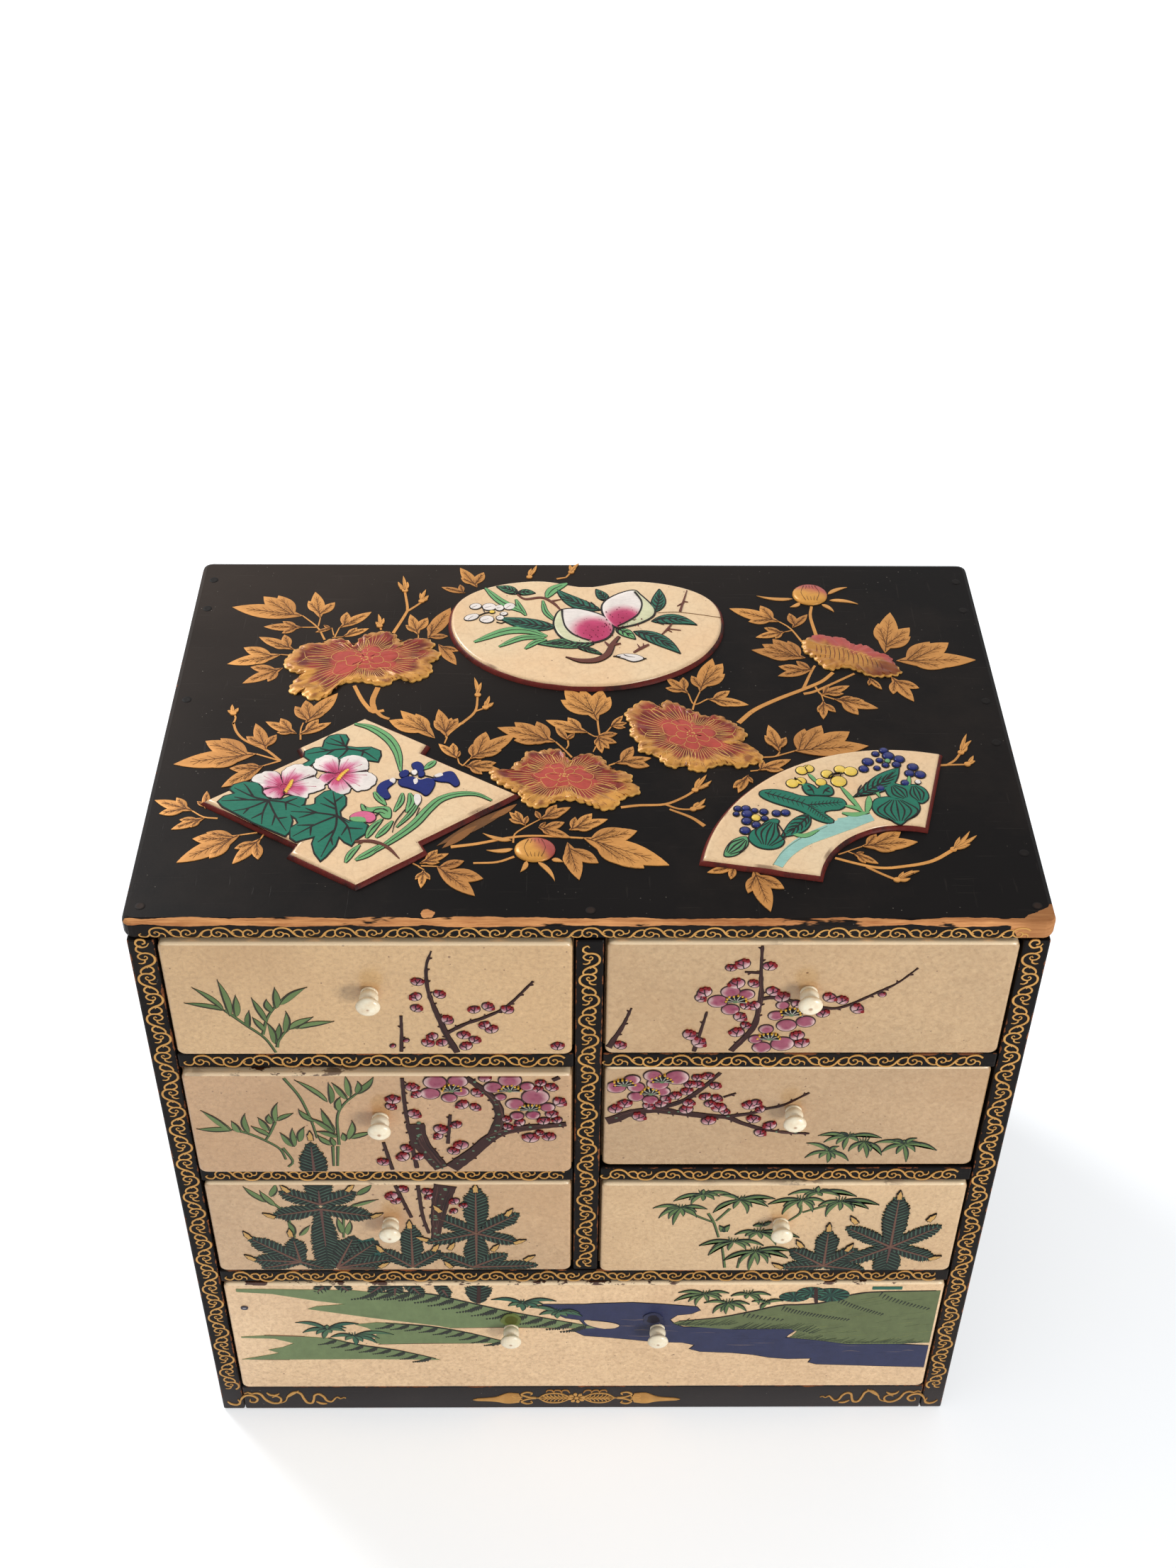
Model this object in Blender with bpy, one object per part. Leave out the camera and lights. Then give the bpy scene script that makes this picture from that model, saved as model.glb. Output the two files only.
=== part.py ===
"""Lacquered table cabinet with seven tile-fronted drawers and three tiles set into its top.

Metres, +Z up, front towards -Y. The origin is the centre of the footprint, knobs included, on the floor.
"""

import math

import bmesh
import bpy
from mathutils import Vector

# Carcass boards
WIDTH = 0.320
DEPTH = 0.212
HEIGHT = 0.309
TOP_THICKNESS = 0.009
TOP_OVERHANG = 0.001
SIDE_THICKNESS = 0.0095
PARTITION_THICKNESS = 0.010
SHELF_THICKNESS = 0.0078
BACK_THICKNESS = 0.006
BOTTOM_THICKNESS = 0.006
BASE_RAIL_HEIGHT = 0.0177
BASE_RAIL_THICKNESS = 0.009
SMALL_OPENING = 0.0598
SMALL_ROWS = 3

# Carcass joints
FIT = 0.0003
HOUSING_DEPTH = 0.0025
HOUSING_SETBACK = 0.008
TONGUE_HEIGHT = 0.003
TONGUE_THICKNESS = 0.004
REBATE_WIDTH = 0.004
TOP_CORNER_RADIUS = 0.004
TOP_EDGE_RADIUS = 0.002
SMALL_EDGE_RADIUS = 0.0008

# Drawers
TILE_THICKNESS = 0.005
TILE_EDGE_RADIUS = 0.0018
TILE_CORNER_RADIUS = 0.0040
TILE_SIDE_GAP = 0.0010
TILE_TOP_GAP = 0.0007
TILE_BOTTOM_GAP = 0.0005
FRONT_BOARD_THICKNESS = 0.006
FRONT_BOARD_REBATE = 0.003
FRONT_BOARD_DROP = 0.002
DRAWER_SIDE_THICKNESS = 0.005
DRAWER_BACK_THICKNESS = 0.005
DRAWER_BOTTOM_THICKNESS = 0.004
DRAWER_SIDE_CLEARANCE = 0.0005
DRAWER_TOP_CLEARANCE = 0.003
SMALL_KNOB_RISE = 0.0045
WIDE_KNOB_RISE = 0.0070
WIDE_KNOB_SPACING = 0.062

# How far each drawer's tile stands in front of the carcass when the drawer is shut
STANDS_PROUD = {
    "drawer_upper_left": 0.0010,
    "drawer_upper_right": 0.0005,
    "drawer_middle_left": 0.0024,
    "drawer_middle_right": -0.0010,
    "drawer_lower_left": 0.0004,
    "drawer_lower_right": 0.0010,
    "drawer_bottom": 0.0006,
}

# Turned bone knobs
KNOB_COLLAR_RADIUS = 0.0034
KNOB_COLLAR_LENGTH = 0.0052
KNOB_NECK_RADIUS = 0.0022
KNOB_HEAD_RADIUS = 0.0044
KNOB_HEAD_LENGTH = 0.0062
KNOB_TIP_RADIUS = 0.0010
KNOB_TENON_RADIUS = 0.0016
KNOB_TENON_END = 0.0015
KNOB_SIDES = 14
KNOB_STEPS = 4

# Tiles in the top: how far they stand up and are let in, their shapes and their places
PLAQUE_PROUD = 0.0025
PLAQUE_DEPTH_IN = 0.0025
PLAQUE_EDGE_RADIUS = 0.0012
PEACH_FROM_BACK = 0.0430
PEACH_HALF_WIDTH = 0.0548
PEACH_LOWER_REACH = 0.0425
PEACH_UPPER_REACH = 0.0283
PEACH_NOTCH_DEPTH = 0.0055
PEACH_NOTCH_WIDTH = 0.013
PEACH_SQUARENESS = 2.6
PEACH_POINTS = 44
LOZENGE_FROM_LEFT = 0.0767
LOZENGE_FROM_FRONT = 0.0613
LOZENGE_HALF_WIDTH = 0.0562
LOZENGE_HALF_HEIGHT = 0.0450
LOZENGE_STEP_AT = 0.0235
LOZENGE_STEP_DEPTH = 0.0064
LOZENGE_TURN = math.radians(2.2)
FAN_PIVOT_FROM_RIGHT = 0.0473
FAN_PIVOT_FROM_FRONT = 0.0146
FAN_OUTER_RADIUS = 0.0740
FAN_INNER_RADIUS = 0.0325
FAN_START = math.radians(75.0)
FAN_END = math.radians(169.0)
FAN_STEPS = 14

# Cutters run this far past the face that they open
OVERCUT = 0.002
BORE_SIDES = 16
CORNER_STEPS = 4

# Worked out from the sizes above
KNOB_LENGTH = FIT + KNOB_COLLAR_LENGTH + KNOB_HEAD_LENGTH
REACH = max(STANDS_PROUD.values()) + KNOB_LENGTH
FRONT = -(DEPTH - REACH) / 2
BACK = FRONT + DEPTH
CENTRE_Y = (FRONT + BACK) / 2
INNER_BACK = BACK - BACK_THICKNESS
UNDER_TOP = HEIGHT - TOP_THICKNESS
ROW_PITCH = SMALL_OPENING + SHELF_THICKNESS
FULL_SHELF_TOP = UNDER_TOP + SHELF_THICKNESS - SMALL_ROWS * ROW_PITCH
WIDE_OPENING = FULL_SHELF_TOP - SHELF_THICKNESS - BASE_RAIL_HEIGHT
INNER_HALF = WIDTH / 2 - SIDE_THICKNESS
PARTITION_HALF = PARTITION_THICKNESS / 2
PEACH_CENTRE = (0.0, DEPTH / 2 - PEACH_FROM_BACK)
LOZENGE_CENTRE = (LOZENGE_FROM_LEFT - WIDTH / 2, LOZENGE_FROM_FRONT - DEPTH / 2)
FAN_PIVOT = (WIDTH / 2 - FAN_PIVOT_FROM_RIGHT, FAN_PIVOT_FROM_FRONT - DEPTH / 2)


def clear_scene():
    for obj in list(bpy.data.objects):
        bpy.data.objects.remove(obj)


def finish(name, colour, roughness, metallic=0.0):
    """A plain Principled material."""
    material = bpy.data.materials.new(name)
    material.use_nodes = True
    shader = material.node_tree.nodes["Principled BSDF"]
    shader.inputs["Base Color"].default_value = (*colour, 1.0)
    shader.inputs["Roughness"].default_value = roughness
    shader.inputs["Metallic"].default_value = metallic
    return material


def add_object(name, bm, material, parent=None):
    bmesh.ops.recalc_face_normals(bm, faces=bm.faces)
    mesh = bpy.data.meshes.new(name)
    bm.to_mesh(mesh)
    bm.free()
    if material:
        mesh.materials.append(material)
    obj = bpy.data.objects.new(name, mesh)
    bpy.context.scene.collection.objects.link(obj)
    obj.parent = parent
    return obj


def loft(name, rings, material=None, parent=None):
    """A closed solid through rings of points, with a flat cap at each end."""
    bm = bmesh.new()
    loops = [[bm.verts.new(point) for point in ring] for ring in rings]
    for lower, upper in zip(loops, loops[1:]):
        for i in range(len(lower)):
            j = (i + 1) % len(lower)
            bm.faces.new((lower[i], lower[j], upper[j], upper[i]))
    bm.faces.new(reversed(loops[0]))
    bm.faces.new(loops[-1])
    return add_object(name, bm, material, parent)


def flat_ring(x_span, y_span, z):
    """A rectangle that lies flat at height z."""
    (x0, x1), (y0, y1) = x_span, y_span
    return [(x0, y0, z), (x1, y0, z), (x1, y1, z), (x0, y1, z)]


def upright_ring(x_span, z_span, y):
    """A rectangle that faces the front, at depth y."""
    (x0, x1), (z0, z1) = x_span, z_span
    return [(x0, y, z0), (x1, y, z0), (x1, y, z1), (x0, y, z1)]


def board(name, x_span, y_span, z_span, material=None, parent=None):
    """A plain rectangular board."""
    return loft(name, [flat_ring(x_span, y_span, z) for z in z_span], material, parent)


def soften(obj, radius):
    """Rounds a board's square edges."""
    bevel = obj.modifiers.new("softened_edges", "BEVEL")
    bevel.width = radius
    bevel.segments = 2
    bevel.limit_method = "ANGLE"
    bevel.angle_limit = math.radians(50)
    return obj


def cut(obj, cutter):
    """Takes the cutter's shape out of a piece, and keeps the cutter out of sight."""
    cutter.hide_render = True
    cutter.display_type = "WIRE"
    boolean = obj.modifiers.new(cutter.name, "BOOLEAN")
    boolean.operation = "DIFFERENCE"
    boolean.object = cutter


def groove(obj, label, x_span, y_span, z_span):
    cut(obj, board(f"{obj.name}_{label}_cutter", x_span, y_span, z_span))


def circle(radius, sides, y, centre=(0.0, 0.0)):
    """A ring of points about an axis that runs front to back."""
    turns = [2 * math.pi * i / sides for i in range(sides)]
    return [
        (centre[0] + radius * math.cos(turn), y, centre[1] + radius * math.sin(turn))
        for turn in turns
    ]


def rounded_rectangle(width, height, radius):
    """Points round a rectangle centred on its origin, with arcs for corners."""
    points = []
    for quarter, (sx, sy) in enumerate(((1, 1), (-1, 1), (-1, -1), (1, -1))):
        for step in range(CORNER_STEPS + 1):
            turn = math.pi / 2 * (quarter + step / CORNER_STEPS)
            points.append(
                (
                    sx * (width / 2 - radius) + radius * math.cos(turn),
                    sy * (height / 2 - radius) + radius * math.sin(turn),
                )
            )
    return points


def grown(outline, distance):
    """An outline moved outwards by a distance, with its corners mitred."""
    area = sum(
        a[0] * b[1] - b[0] * a[1] for a, b in zip(outline, outline[1:] + outline[:1])
    )
    side = math.copysign(1.0, area)
    moved = []
    for i, point in enumerate(outline):
        before = (Vector(point) - Vector(outline[i - 1])).normalized()
        after = (Vector(outline[(i + 1) % len(outline)]) - Vector(point)).normalized()
        normals = [Vector((edge.y, -edge.x)) * side for edge in (before, after)]
        mitre = normals[0] + normals[1]
        moved.append(tuple(Vector(point) + mitre * (2 * distance / mitre.length_squared)))
    return moved


def flat_outline(outline, z):
    """An outline about the middle of the top board, laid flat at height z."""
    return [(x, CENTRE_Y + y, z) for x, y in outline]


# Carcass


def half_bays():
    """The two columns of small drawers: name and span in x, face to face."""
    return (
        ("left", (-INNER_HALF, -PARTITION_HALF)),
        ("right", (PARTITION_HALF, INNER_HALF)),
    )


def shelf_top(row):
    """Height of the shelf under a row of small drawers, the rows counted from the top."""
    return FULL_SHELF_TOP + (SMALL_ROWS - 1 - row) * ROW_PITCH


def shelf(name, bay, z_top, thickness, y_front, material):
    """A board let into the uprights at both ends, behind a square shoulder at its front."""
    low, high = bay[0] + FIT, bay[1] - FIT
    tongue_low, tongue_high = bay[0] - HOUSING_DEPTH + FIT, bay[1] + HOUSING_DEPTH - FIT
    shoulder, back = y_front + HOUSING_SETBACK, INNER_BACK - FIT
    plan = [
        (low, y_front),
        (high, y_front),
        (high, shoulder),
        (tongue_high, shoulder),
        (tongue_high, back),
        (tongue_low, back),
        (tongue_low, shoulder),
        (low, shoulder),
    ]
    rings = [[(x, y, z) for x, y in plan] for z in (z_top - thickness, z_top)]
    return loft(name, rings, material)


def housing(upright, label, face_x, into, z_top, thickness, y_front):
    """The groove in an upright that holds a shelf's end."""
    x_span = sorted((face_x - into * OVERCUT, face_x + into * HOUSING_DEPTH))
    y_span = (y_front + HOUSING_SETBACK - FIT, INNER_BACK + OVERCUT)
    groove(upright, label, x_span, y_span, (z_top - thickness - FIT, z_top + FIT))


def make_side(name, sign, lacquer):
    """A side board with a tongue on top, grooves for the shelves and a rebate for the back."""
    face = sign * INNER_HALF
    middle = sign * (WIDTH / 2 - SIDE_THICKNESS / 2)
    x_span = sorted((face, sign * WIDTH / 2))
    tongue_x = (middle - TONGUE_THICKNESS / 2, middle + TONGUE_THICKNESS / 2)
    tongue_y = (FRONT + HOUSING_SETBACK, INNER_BACK - FIT)
    shoulder = UNDER_TOP - FIT
    side = loft(
        name,
        [
            flat_ring(x_span, (FRONT, BACK), 0.0),
            flat_ring(x_span, (FRONT, BACK), shoulder),
            flat_ring(tongue_x, tongue_y, shoulder),
            flat_ring(tongue_x, tongue_y, shoulder + TONGUE_HEIGHT),
        ],
        lacquer,
    )
    soften(side, SMALL_EDGE_RADIUS)
    for row in range(SMALL_ROWS):
        housing(side, f"shelf_{row}", face, sign, shelf_top(row), SHELF_THICKNESS, FRONT)
    bottom_front = FRONT + BASE_RAIL_THICKNESS + FIT
    housing(side, "bottom", face, sign, BASE_RAIL_HEIGHT, BOTTOM_THICKNESS, bottom_front)
    rebate_x = sorted((face - sign * OVERCUT, face + sign * REBATE_WIDTH))
    groove(side, "rebate", rebate_x, (INNER_BACK, BACK + OVERCUT), (-OVERCUT, UNDER_TOP + OVERCUT))


def make_partition(lacquer):
    """The upright between the two columns, tongued into the top and the full shelf."""
    x_span = (-PARTITION_HALF, PARTITION_HALF)
    y_span = (FRONT, INNER_BACK - FIT)
    tongue_x = (-TONGUE_THICKNESS / 2, TONGUE_THICKNESS / 2)
    tongue_y = (FRONT + HOUSING_SETBACK, INNER_BACK - FIT - TONGUE_THICKNESS)
    low, high = FULL_SHELF_TOP + FIT, UNDER_TOP - FIT
    foot = TONGUE_HEIGHT - 2 * FIT
    partition = loft(
        "centre_partition",
        [
            flat_ring(tongue_x, tongue_y, low - foot),
            flat_ring(tongue_x, tongue_y, low),
            flat_ring(x_span, y_span, low),
            flat_ring(x_span, y_span, high),
            flat_ring(tongue_x, tongue_y, high),
            flat_ring(tongue_x, tongue_y, high + foot),
        ],
        lacquer,
    )
    soften(partition, SMALL_EDGE_RADIUS)
    for row in range(SMALL_ROWS - 1):
        for label, sign in (("left", -1), ("right", 1)):
            housing(
                partition,
                f"shelf_{row}_{label}",
                sign * PARTITION_HALF,
                -sign,
                shelf_top(row),
                SHELF_THICKNESS,
                FRONT,
            )


def make_shelves(lacquer):
    for row, level in enumerate(("upper", "lower")):
        for label, bay in half_bays():
            name = f"shelf_{level}_{label}"
            half = shelf(name, bay, shelf_top(row), SHELF_THICKNESS, FRONT, lacquer)
            soften(half, SMALL_EDGE_RADIUS)
    bay = (-INNER_HALF, INNER_HALF)
    full = shelf("shelf_full", bay, FULL_SHELF_TOP, SHELF_THICKNESS, FRONT, lacquer)
    soften(full, SMALL_EDGE_RADIUS)
    groove(
        full,
        "partition",
        (-TONGUE_THICKNESS / 2 - FIT, TONGUE_THICKNESS / 2 + FIT),
        (FRONT + HOUSING_SETBACK - FIT, INNER_BACK + OVERCUT),
        (FULL_SHELF_TOP - TONGUE_HEIGHT, FULL_SHELF_TOP + OVERCUT),
    )


def make_base(lacquer, wood):
    bay = (-INNER_HALF, INNER_HALF)
    rail = board(
        "base_rail",
        (bay[0] + FIT, bay[1] - FIT),
        (FRONT, FRONT + BASE_RAIL_THICKNESS),
        (0.0, BASE_RAIL_HEIGHT),
        lacquer,
    )
    soften(rail, SMALL_EDGE_RADIUS)
    bottom_front = FRONT + BASE_RAIL_THICKNESS + FIT
    shelf("bottom_board", bay, BASE_RAIL_HEIGHT, BOTTOM_THICKNESS, bottom_front, wood)


def make_back(lacquer):
    half = INNER_HALF + REBATE_WIDTH - FIT
    board(
        "back_panel",
        (-half, half),
        (INNER_BACK + FIT, BACK),
        (0.0, UNDER_TOP - FIT),
        lacquer,
    )


def make_top(lacquer):
    """The top board, grooved below for the uprights and pocketed above for its three tiles."""
    outline = rounded_rectangle(WIDTH + 2 * TOP_OVERHANG, DEPTH, TOP_CORNER_RADIUS)
    top = loft("top_board", [flat_outline(outline, z) for z in (UNDER_TOP, HEIGHT)], lacquer)
    soften(top, TOP_EDGE_RADIUS)
    middle = WIDTH / 2 - SIDE_THICKNESS / 2
    half = TONGUE_THICKNESS / 2 + FIT
    for label, x in (("left", -middle), ("centre", 0.0), ("right", middle)):
        groove(
            top,
            f"{label}_tongue",
            (x - half, x + half),
            (FRONT + HOUSING_SETBACK - FIT, INNER_BACK),
            (UNDER_TOP - OVERCUT, UNDER_TOP + TONGUE_HEIGHT),
        )
    return top


# Tiles set into the top


def peach_outline():
    """A broad fruit shape: a half ellipse below and two shoulders above, with a dip between them."""
    points = []
    for i in range(PEACH_POINTS):
        turn = 2 * math.pi * i / PEACH_POINTS
        x, y = math.cos(turn), math.sin(turn)
        if y < 0:
            points.append((x * PEACH_HALF_WIDTH, y * PEACH_LOWER_REACH))
            continue
        n = PEACH_SQUARENESS
        x = math.copysign(abs(x) ** (2 / n), x)
        y = y ** (2 / n)
        dip = PEACH_NOTCH_DEPTH * math.exp(-((x * PEACH_HALF_WIDTH / PEACH_NOTCH_WIDTH) ** 2))
        points.append((x * PEACH_HALF_WIDTH, y * PEACH_UPPER_REACH - dip))
    return [(PEACH_CENTRE[0] + x, PEACH_CENTRE[1] + y) for x, y in points]


def lozenge_outline():
    """A tall lozenge laid over a wide one, so that each edge has a step in it."""
    slope = (LOZENGE_HALF_HEIGHT - LOZENGE_STEP_DEPTH) / LOZENGE_HALF_WIDTH
    step_top = LOZENGE_HALF_HEIGHT - slope * LOZENGE_STEP_AT
    inner_x = LOZENGE_STEP_AT - LOZENGE_STEP_DEPTH * slope / 2
    inner_y = slope * (LOZENGE_HALF_WIDTH - inner_x)
    corner = [(LOZENGE_STEP_AT, step_top), (inner_x, inner_y)]
    points = [(0.0, LOZENGE_HALF_HEIGHT)]
    points += [(-x, y) for x, y in corner]
    points += [(-LOZENGE_HALF_WIDTH, 0.0)]
    points += [(-x, -y) for x, y in reversed(corner)]
    points += [(0.0, -LOZENGE_HALF_HEIGHT)]
    points += [(x, -y) for x, y in corner]
    points += [(LOZENGE_HALF_WIDTH, 0.0)]
    points += list(reversed(corner))
    cosine, sine = math.cos(LOZENGE_TURN), math.sin(LOZENGE_TURN)
    return [
        (LOZENGE_CENTRE[0] + x * cosine - y * sine, LOZENGE_CENTRE[1] + x * sine + y * cosine)
        for x, y in points
    ]


def fan_outline():
    """The leaf of an open folding fan: two arcs about one pivot."""
    turns = [FAN_START + (FAN_END - FAN_START) * i / FAN_STEPS for i in range(FAN_STEPS + 1)]
    arcs = [(FAN_OUTER_RADIUS, turn) for turn in turns]
    arcs += [(FAN_INNER_RADIUS, turn) for turn in reversed(turns)]
    return [
        (FAN_PIVOT[0] + radius * math.cos(turn), FAN_PIVOT[1] + radius * math.sin(turn))
        for radius, turn in arcs
    ]


def make_plaque(name, outline, top_board, glaze):
    """A tile with a rounded upper edge, and its pocket in the top board."""
    floor = HEIGHT - PLAQUE_DEPTH_IN
    pocket = grown(outline, FIT)
    rings = [flat_outline(pocket, z) for z in (floor, HEIGHT + OVERCUT)]
    cut(top_board, loft(f"{name}_pocket_cutter", rings))
    crown = HEIGHT + PLAQUE_PROUD
    half = PLAQUE_EDGE_RADIUS * (1 - math.sqrt(0.5))
    inner = grown(outline, -PLAQUE_EDGE_RADIUS)
    rings = [
        flat_outline(outline, floor + FIT),
        flat_outline(outline, crown - PLAQUE_EDGE_RADIUS),
        flat_outline(grown(outline, -half), crown - half),
        flat_outline(inner, crown),
    ]
    loft(name, rings, glaze)


# Drawers


def knob_profile(through):
    """Pairs of (distance in front of the tile, radius), from the tenon's inner end to the knob's tip."""
    profile = [(-through, KNOB_TENON_RADIUS), (FIT, KNOB_TENON_RADIUS)]
    for start, length, radius, last in (
        (FIT, KNOB_COLLAR_LENGTH, KNOB_COLLAR_RADIUS, KNOB_NECK_RADIUS),
        (FIT + KNOB_COLLAR_LENGTH, KNOB_HEAD_LENGTH, KNOB_HEAD_RADIUS, KNOB_TIP_RADIUS),
    ):
        first = math.acos(KNOB_NECK_RADIUS / radius)
        end = math.acos(last / radius)
        for step in range(KNOB_STEPS + 1):
            turn = -first + (end + first) * step / KNOB_STEPS
            along = (math.sin(turn) + math.sin(first)) / (math.sin(end) + math.sin(first))
            profile.append((start + length * along, radius * math.cos(turn)))
    return profile


def make_knob(name, x, z, through, bone, parent):
    profile = knob_profile(through)
    unique = [profile[0], *(b for a, b in zip(profile, profile[1:]) if a != b)]
    rings = [circle(radius, KNOB_SIDES, -out, (x, z)) for out, radius in unique]
    knob = loft(name, rings, bone, parent)
    knob.data.shade_smooth()
    knob.data.set_sharp_from_angle(angle=math.radians(60))


def bore(obj, x, z, depth, parent):
    """A hole for a knob's tenon, front to back through a piece."""
    ends = (-OVERCUT, depth + OVERCUT)
    radius = KNOB_TENON_RADIUS + FIT
    rings = [circle(radius, BORE_SIDES, y, (x, z)) for y in ends]
    cut(obj, loft(f"{obj.name}_bore_{x:+.3f}_cutter", rings, parent=parent))


def make_tile(name, width, z_span, glaze, parent):
    """The glazed tile on a drawer's front, its face at depth 0 and its front edges rounded over."""
    height, middle = z_span[1] - z_span[0], (z_span[0] + z_span[1]) / 2
    half = TILE_EDGE_RADIUS * (1 - math.sqrt(0.5))
    layers = [(TILE_THICKNESS, 0.0), (TILE_EDGE_RADIUS, 0.0), (half, half), (0.0, TILE_EDGE_RADIUS)]
    rings = []
    for y, inset in layers:
        outline = rounded_rectangle(
            width - 2 * inset, height - 2 * inset, TILE_CORNER_RADIUS - inset
        )
        rings.append([(u, y, middle + v) for u, v in outline])
    return loft(name, rings, glaze, parent)


def make_front_board(name, half, height, wood, parent):
    """The wooden front behind the tile, rebated at its ends and foot for the sides and the bottom."""
    start = TILE_THICKNESS + FIT
    ledge = start + FRONT_BOARD_REBATE
    inner = half - DRAWER_SIDE_THICKNESS - FIT
    outer_rectangle = ((-half, half), (0.0, height))
    inner_rectangle = ((-inner, inner), (DRAWER_BOTTOM_THICKNESS + FIT, height - FRONT_BOARD_DROP))
    rings = [
        upright_ring(*outer_rectangle, start),
        upright_ring(*outer_rectangle, ledge),
        upright_ring(*inner_rectangle, ledge),
        upright_ring(*inner_rectangle, start + FRONT_BOARD_THICKNESS),
    ]
    return loft(name, rings, wood, parent)


def make_tray(name, half, height, front, rear, wood, parent):
    """The drawer's bottom board with the back board standing on its end."""
    wall = rear - DRAWER_BACK_THICKNESS
    profile = [
        (front, 0.0),
        (rear, 0.0),
        (rear, height),
        (wall, height),
        (wall, DRAWER_BOTTOM_THICKNESS),
        (front, DRAWER_BOTTOM_THICKNESS),
    ]
    return loft(name, [[(x, y, z) for y, z in profile] for x in (-half, half)], wood, parent)


def make_drawer(name, bay, z_floor, opening, knobs, rise, materials):
    """One drawer in its own frame: x from the bay's middle, y from the tile's face, z from the runner."""
    glaze, wood, bone = materials
    frame = bpy.data.objects.new(f"{name}_slide", None)
    bpy.context.scene.collection.objects.link(frame)
    proud = STANDS_PROUD[name]
    frame.location = ((bay[0] + bay[1]) / 2, FRONT - proud, z_floor + FIT)

    width = bay[1] - bay[0]
    half = width / 2 - DRAWER_SIDE_CLEARANCE
    height = opening - DRAWER_TOP_CLEARANCE
    rear = DEPTH - BACK_THICKNESS + proud - FIT
    tile_span = (TILE_BOTTOM_GAP - FIT, opening - TILE_TOP_GAP - FIT)
    tile = make_tile(f"{name}_tile", width - 2 * TILE_SIDE_GAP, tile_span, glaze, frame)
    front_board = make_front_board(f"{name}_front_board", half, height, wood, frame)

    behind = TILE_THICKNESS + FIT + FRONT_BOARD_REBATE + FIT
    for label, sign in (("left", -1), ("right", 1)):
        board(
            f"{name}_{label}_side",
            sorted((sign * half, sign * (half - DRAWER_SIDE_THICKNESS))),
            (behind, rear - DRAWER_BACK_THICKNESS - FIT),
            (DRAWER_BOTTOM_THICKNESS + FIT, height),
            wood,
            frame,
        )
    make_tray(f"{name}_tray", half, height, behind, rear, wood, frame)

    lined = TILE_THICKNESS + FIT + FRONT_BOARD_THICKNESS
    z_knob = (tile_span[0] + tile_span[1]) / 2 + rise
    for label, x in knobs:
        make_knob(f"{name}_{label}", x, z_knob, lined + KNOB_TENON_END, bone, frame)
        for piece in (tile, front_board):
            bore(piece, x, z_knob, lined, frame)


def make_drawers(materials):
    for row, level in enumerate(("upper", "middle", "lower")):
        for label, bay in half_bays():
            make_drawer(
                f"drawer_{level}_{label}",
                bay,
                shelf_top(row),
                SMALL_OPENING,
                (("knob", 0.0),),
                SMALL_KNOB_RISE,
                materials,
            )
    apart = WIDE_KNOB_SPACING / 2
    make_drawer(
        "drawer_bottom",
        (-INNER_HALF, INNER_HALF),
        BASE_RAIL_HEIGHT,
        WIDE_OPENING,
        (("left_knob", -apart), ("right_knob", apart)),
        WIDE_KNOB_RISE,
        materials,
    )


def main():
    clear_scene()
    lacquer = finish("black_lacquer", (0.012, 0.010, 0.009), 0.35)
    wood = finish("drawer_wood", (0.42, 0.24, 0.12), 0.65)
    glaze = finish("cream_glaze", (0.71, 0.56, 0.36), 0.30)
    bone = finish("turned_bone", (0.86, 0.77, 0.60), 0.40)
    make_side("left_side", -1, lacquer)
    make_side("right_side", 1, lacquer)
    make_partition(lacquer)
    make_shelves(lacquer)
    make_base(lacquer, wood)
    make_back(lacquer)
    top = make_top(lacquer)
    make_plaque("peach_plaque", peach_outline(), top, glaze)
    make_plaque("lozenge_plaque", lozenge_outline(), top, glaze)
    make_plaque("fan_plaque", fan_outline(), top, glaze)
    make_drawers((glaze, wood, bone))
    bpy.context.view_layer.update()


main()
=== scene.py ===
"""Looks for a lacquered table cabinet with seven tile-fronted drawers and three tiles in its top.

Sizes in the drawings are millimetres. On the front they are (x, z), on the top (x, y from the middle of
the board).
"""

import math
import random

import bpy
from mathutils import Matrix, Vector, noise


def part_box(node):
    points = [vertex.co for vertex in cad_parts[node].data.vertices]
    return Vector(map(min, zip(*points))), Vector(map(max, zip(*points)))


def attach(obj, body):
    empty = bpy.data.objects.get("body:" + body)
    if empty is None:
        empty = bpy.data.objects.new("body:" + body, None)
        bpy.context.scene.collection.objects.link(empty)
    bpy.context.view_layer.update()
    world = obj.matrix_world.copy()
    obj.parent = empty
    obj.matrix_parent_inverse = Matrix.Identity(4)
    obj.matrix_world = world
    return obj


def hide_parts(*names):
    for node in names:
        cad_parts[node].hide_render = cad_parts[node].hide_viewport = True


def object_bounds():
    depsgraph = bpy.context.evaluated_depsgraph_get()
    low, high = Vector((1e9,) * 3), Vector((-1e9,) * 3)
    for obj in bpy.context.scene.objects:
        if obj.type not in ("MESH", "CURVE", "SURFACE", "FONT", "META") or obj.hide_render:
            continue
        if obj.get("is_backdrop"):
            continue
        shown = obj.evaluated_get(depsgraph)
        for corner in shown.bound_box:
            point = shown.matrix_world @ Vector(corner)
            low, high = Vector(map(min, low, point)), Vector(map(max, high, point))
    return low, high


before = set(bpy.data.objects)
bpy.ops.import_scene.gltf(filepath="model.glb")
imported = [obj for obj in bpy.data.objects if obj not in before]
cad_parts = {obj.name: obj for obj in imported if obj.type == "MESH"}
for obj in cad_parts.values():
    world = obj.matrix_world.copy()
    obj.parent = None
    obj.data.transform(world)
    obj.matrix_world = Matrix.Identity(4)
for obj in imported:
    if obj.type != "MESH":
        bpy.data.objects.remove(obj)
CAD_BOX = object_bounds()
MM = 0.001

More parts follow.
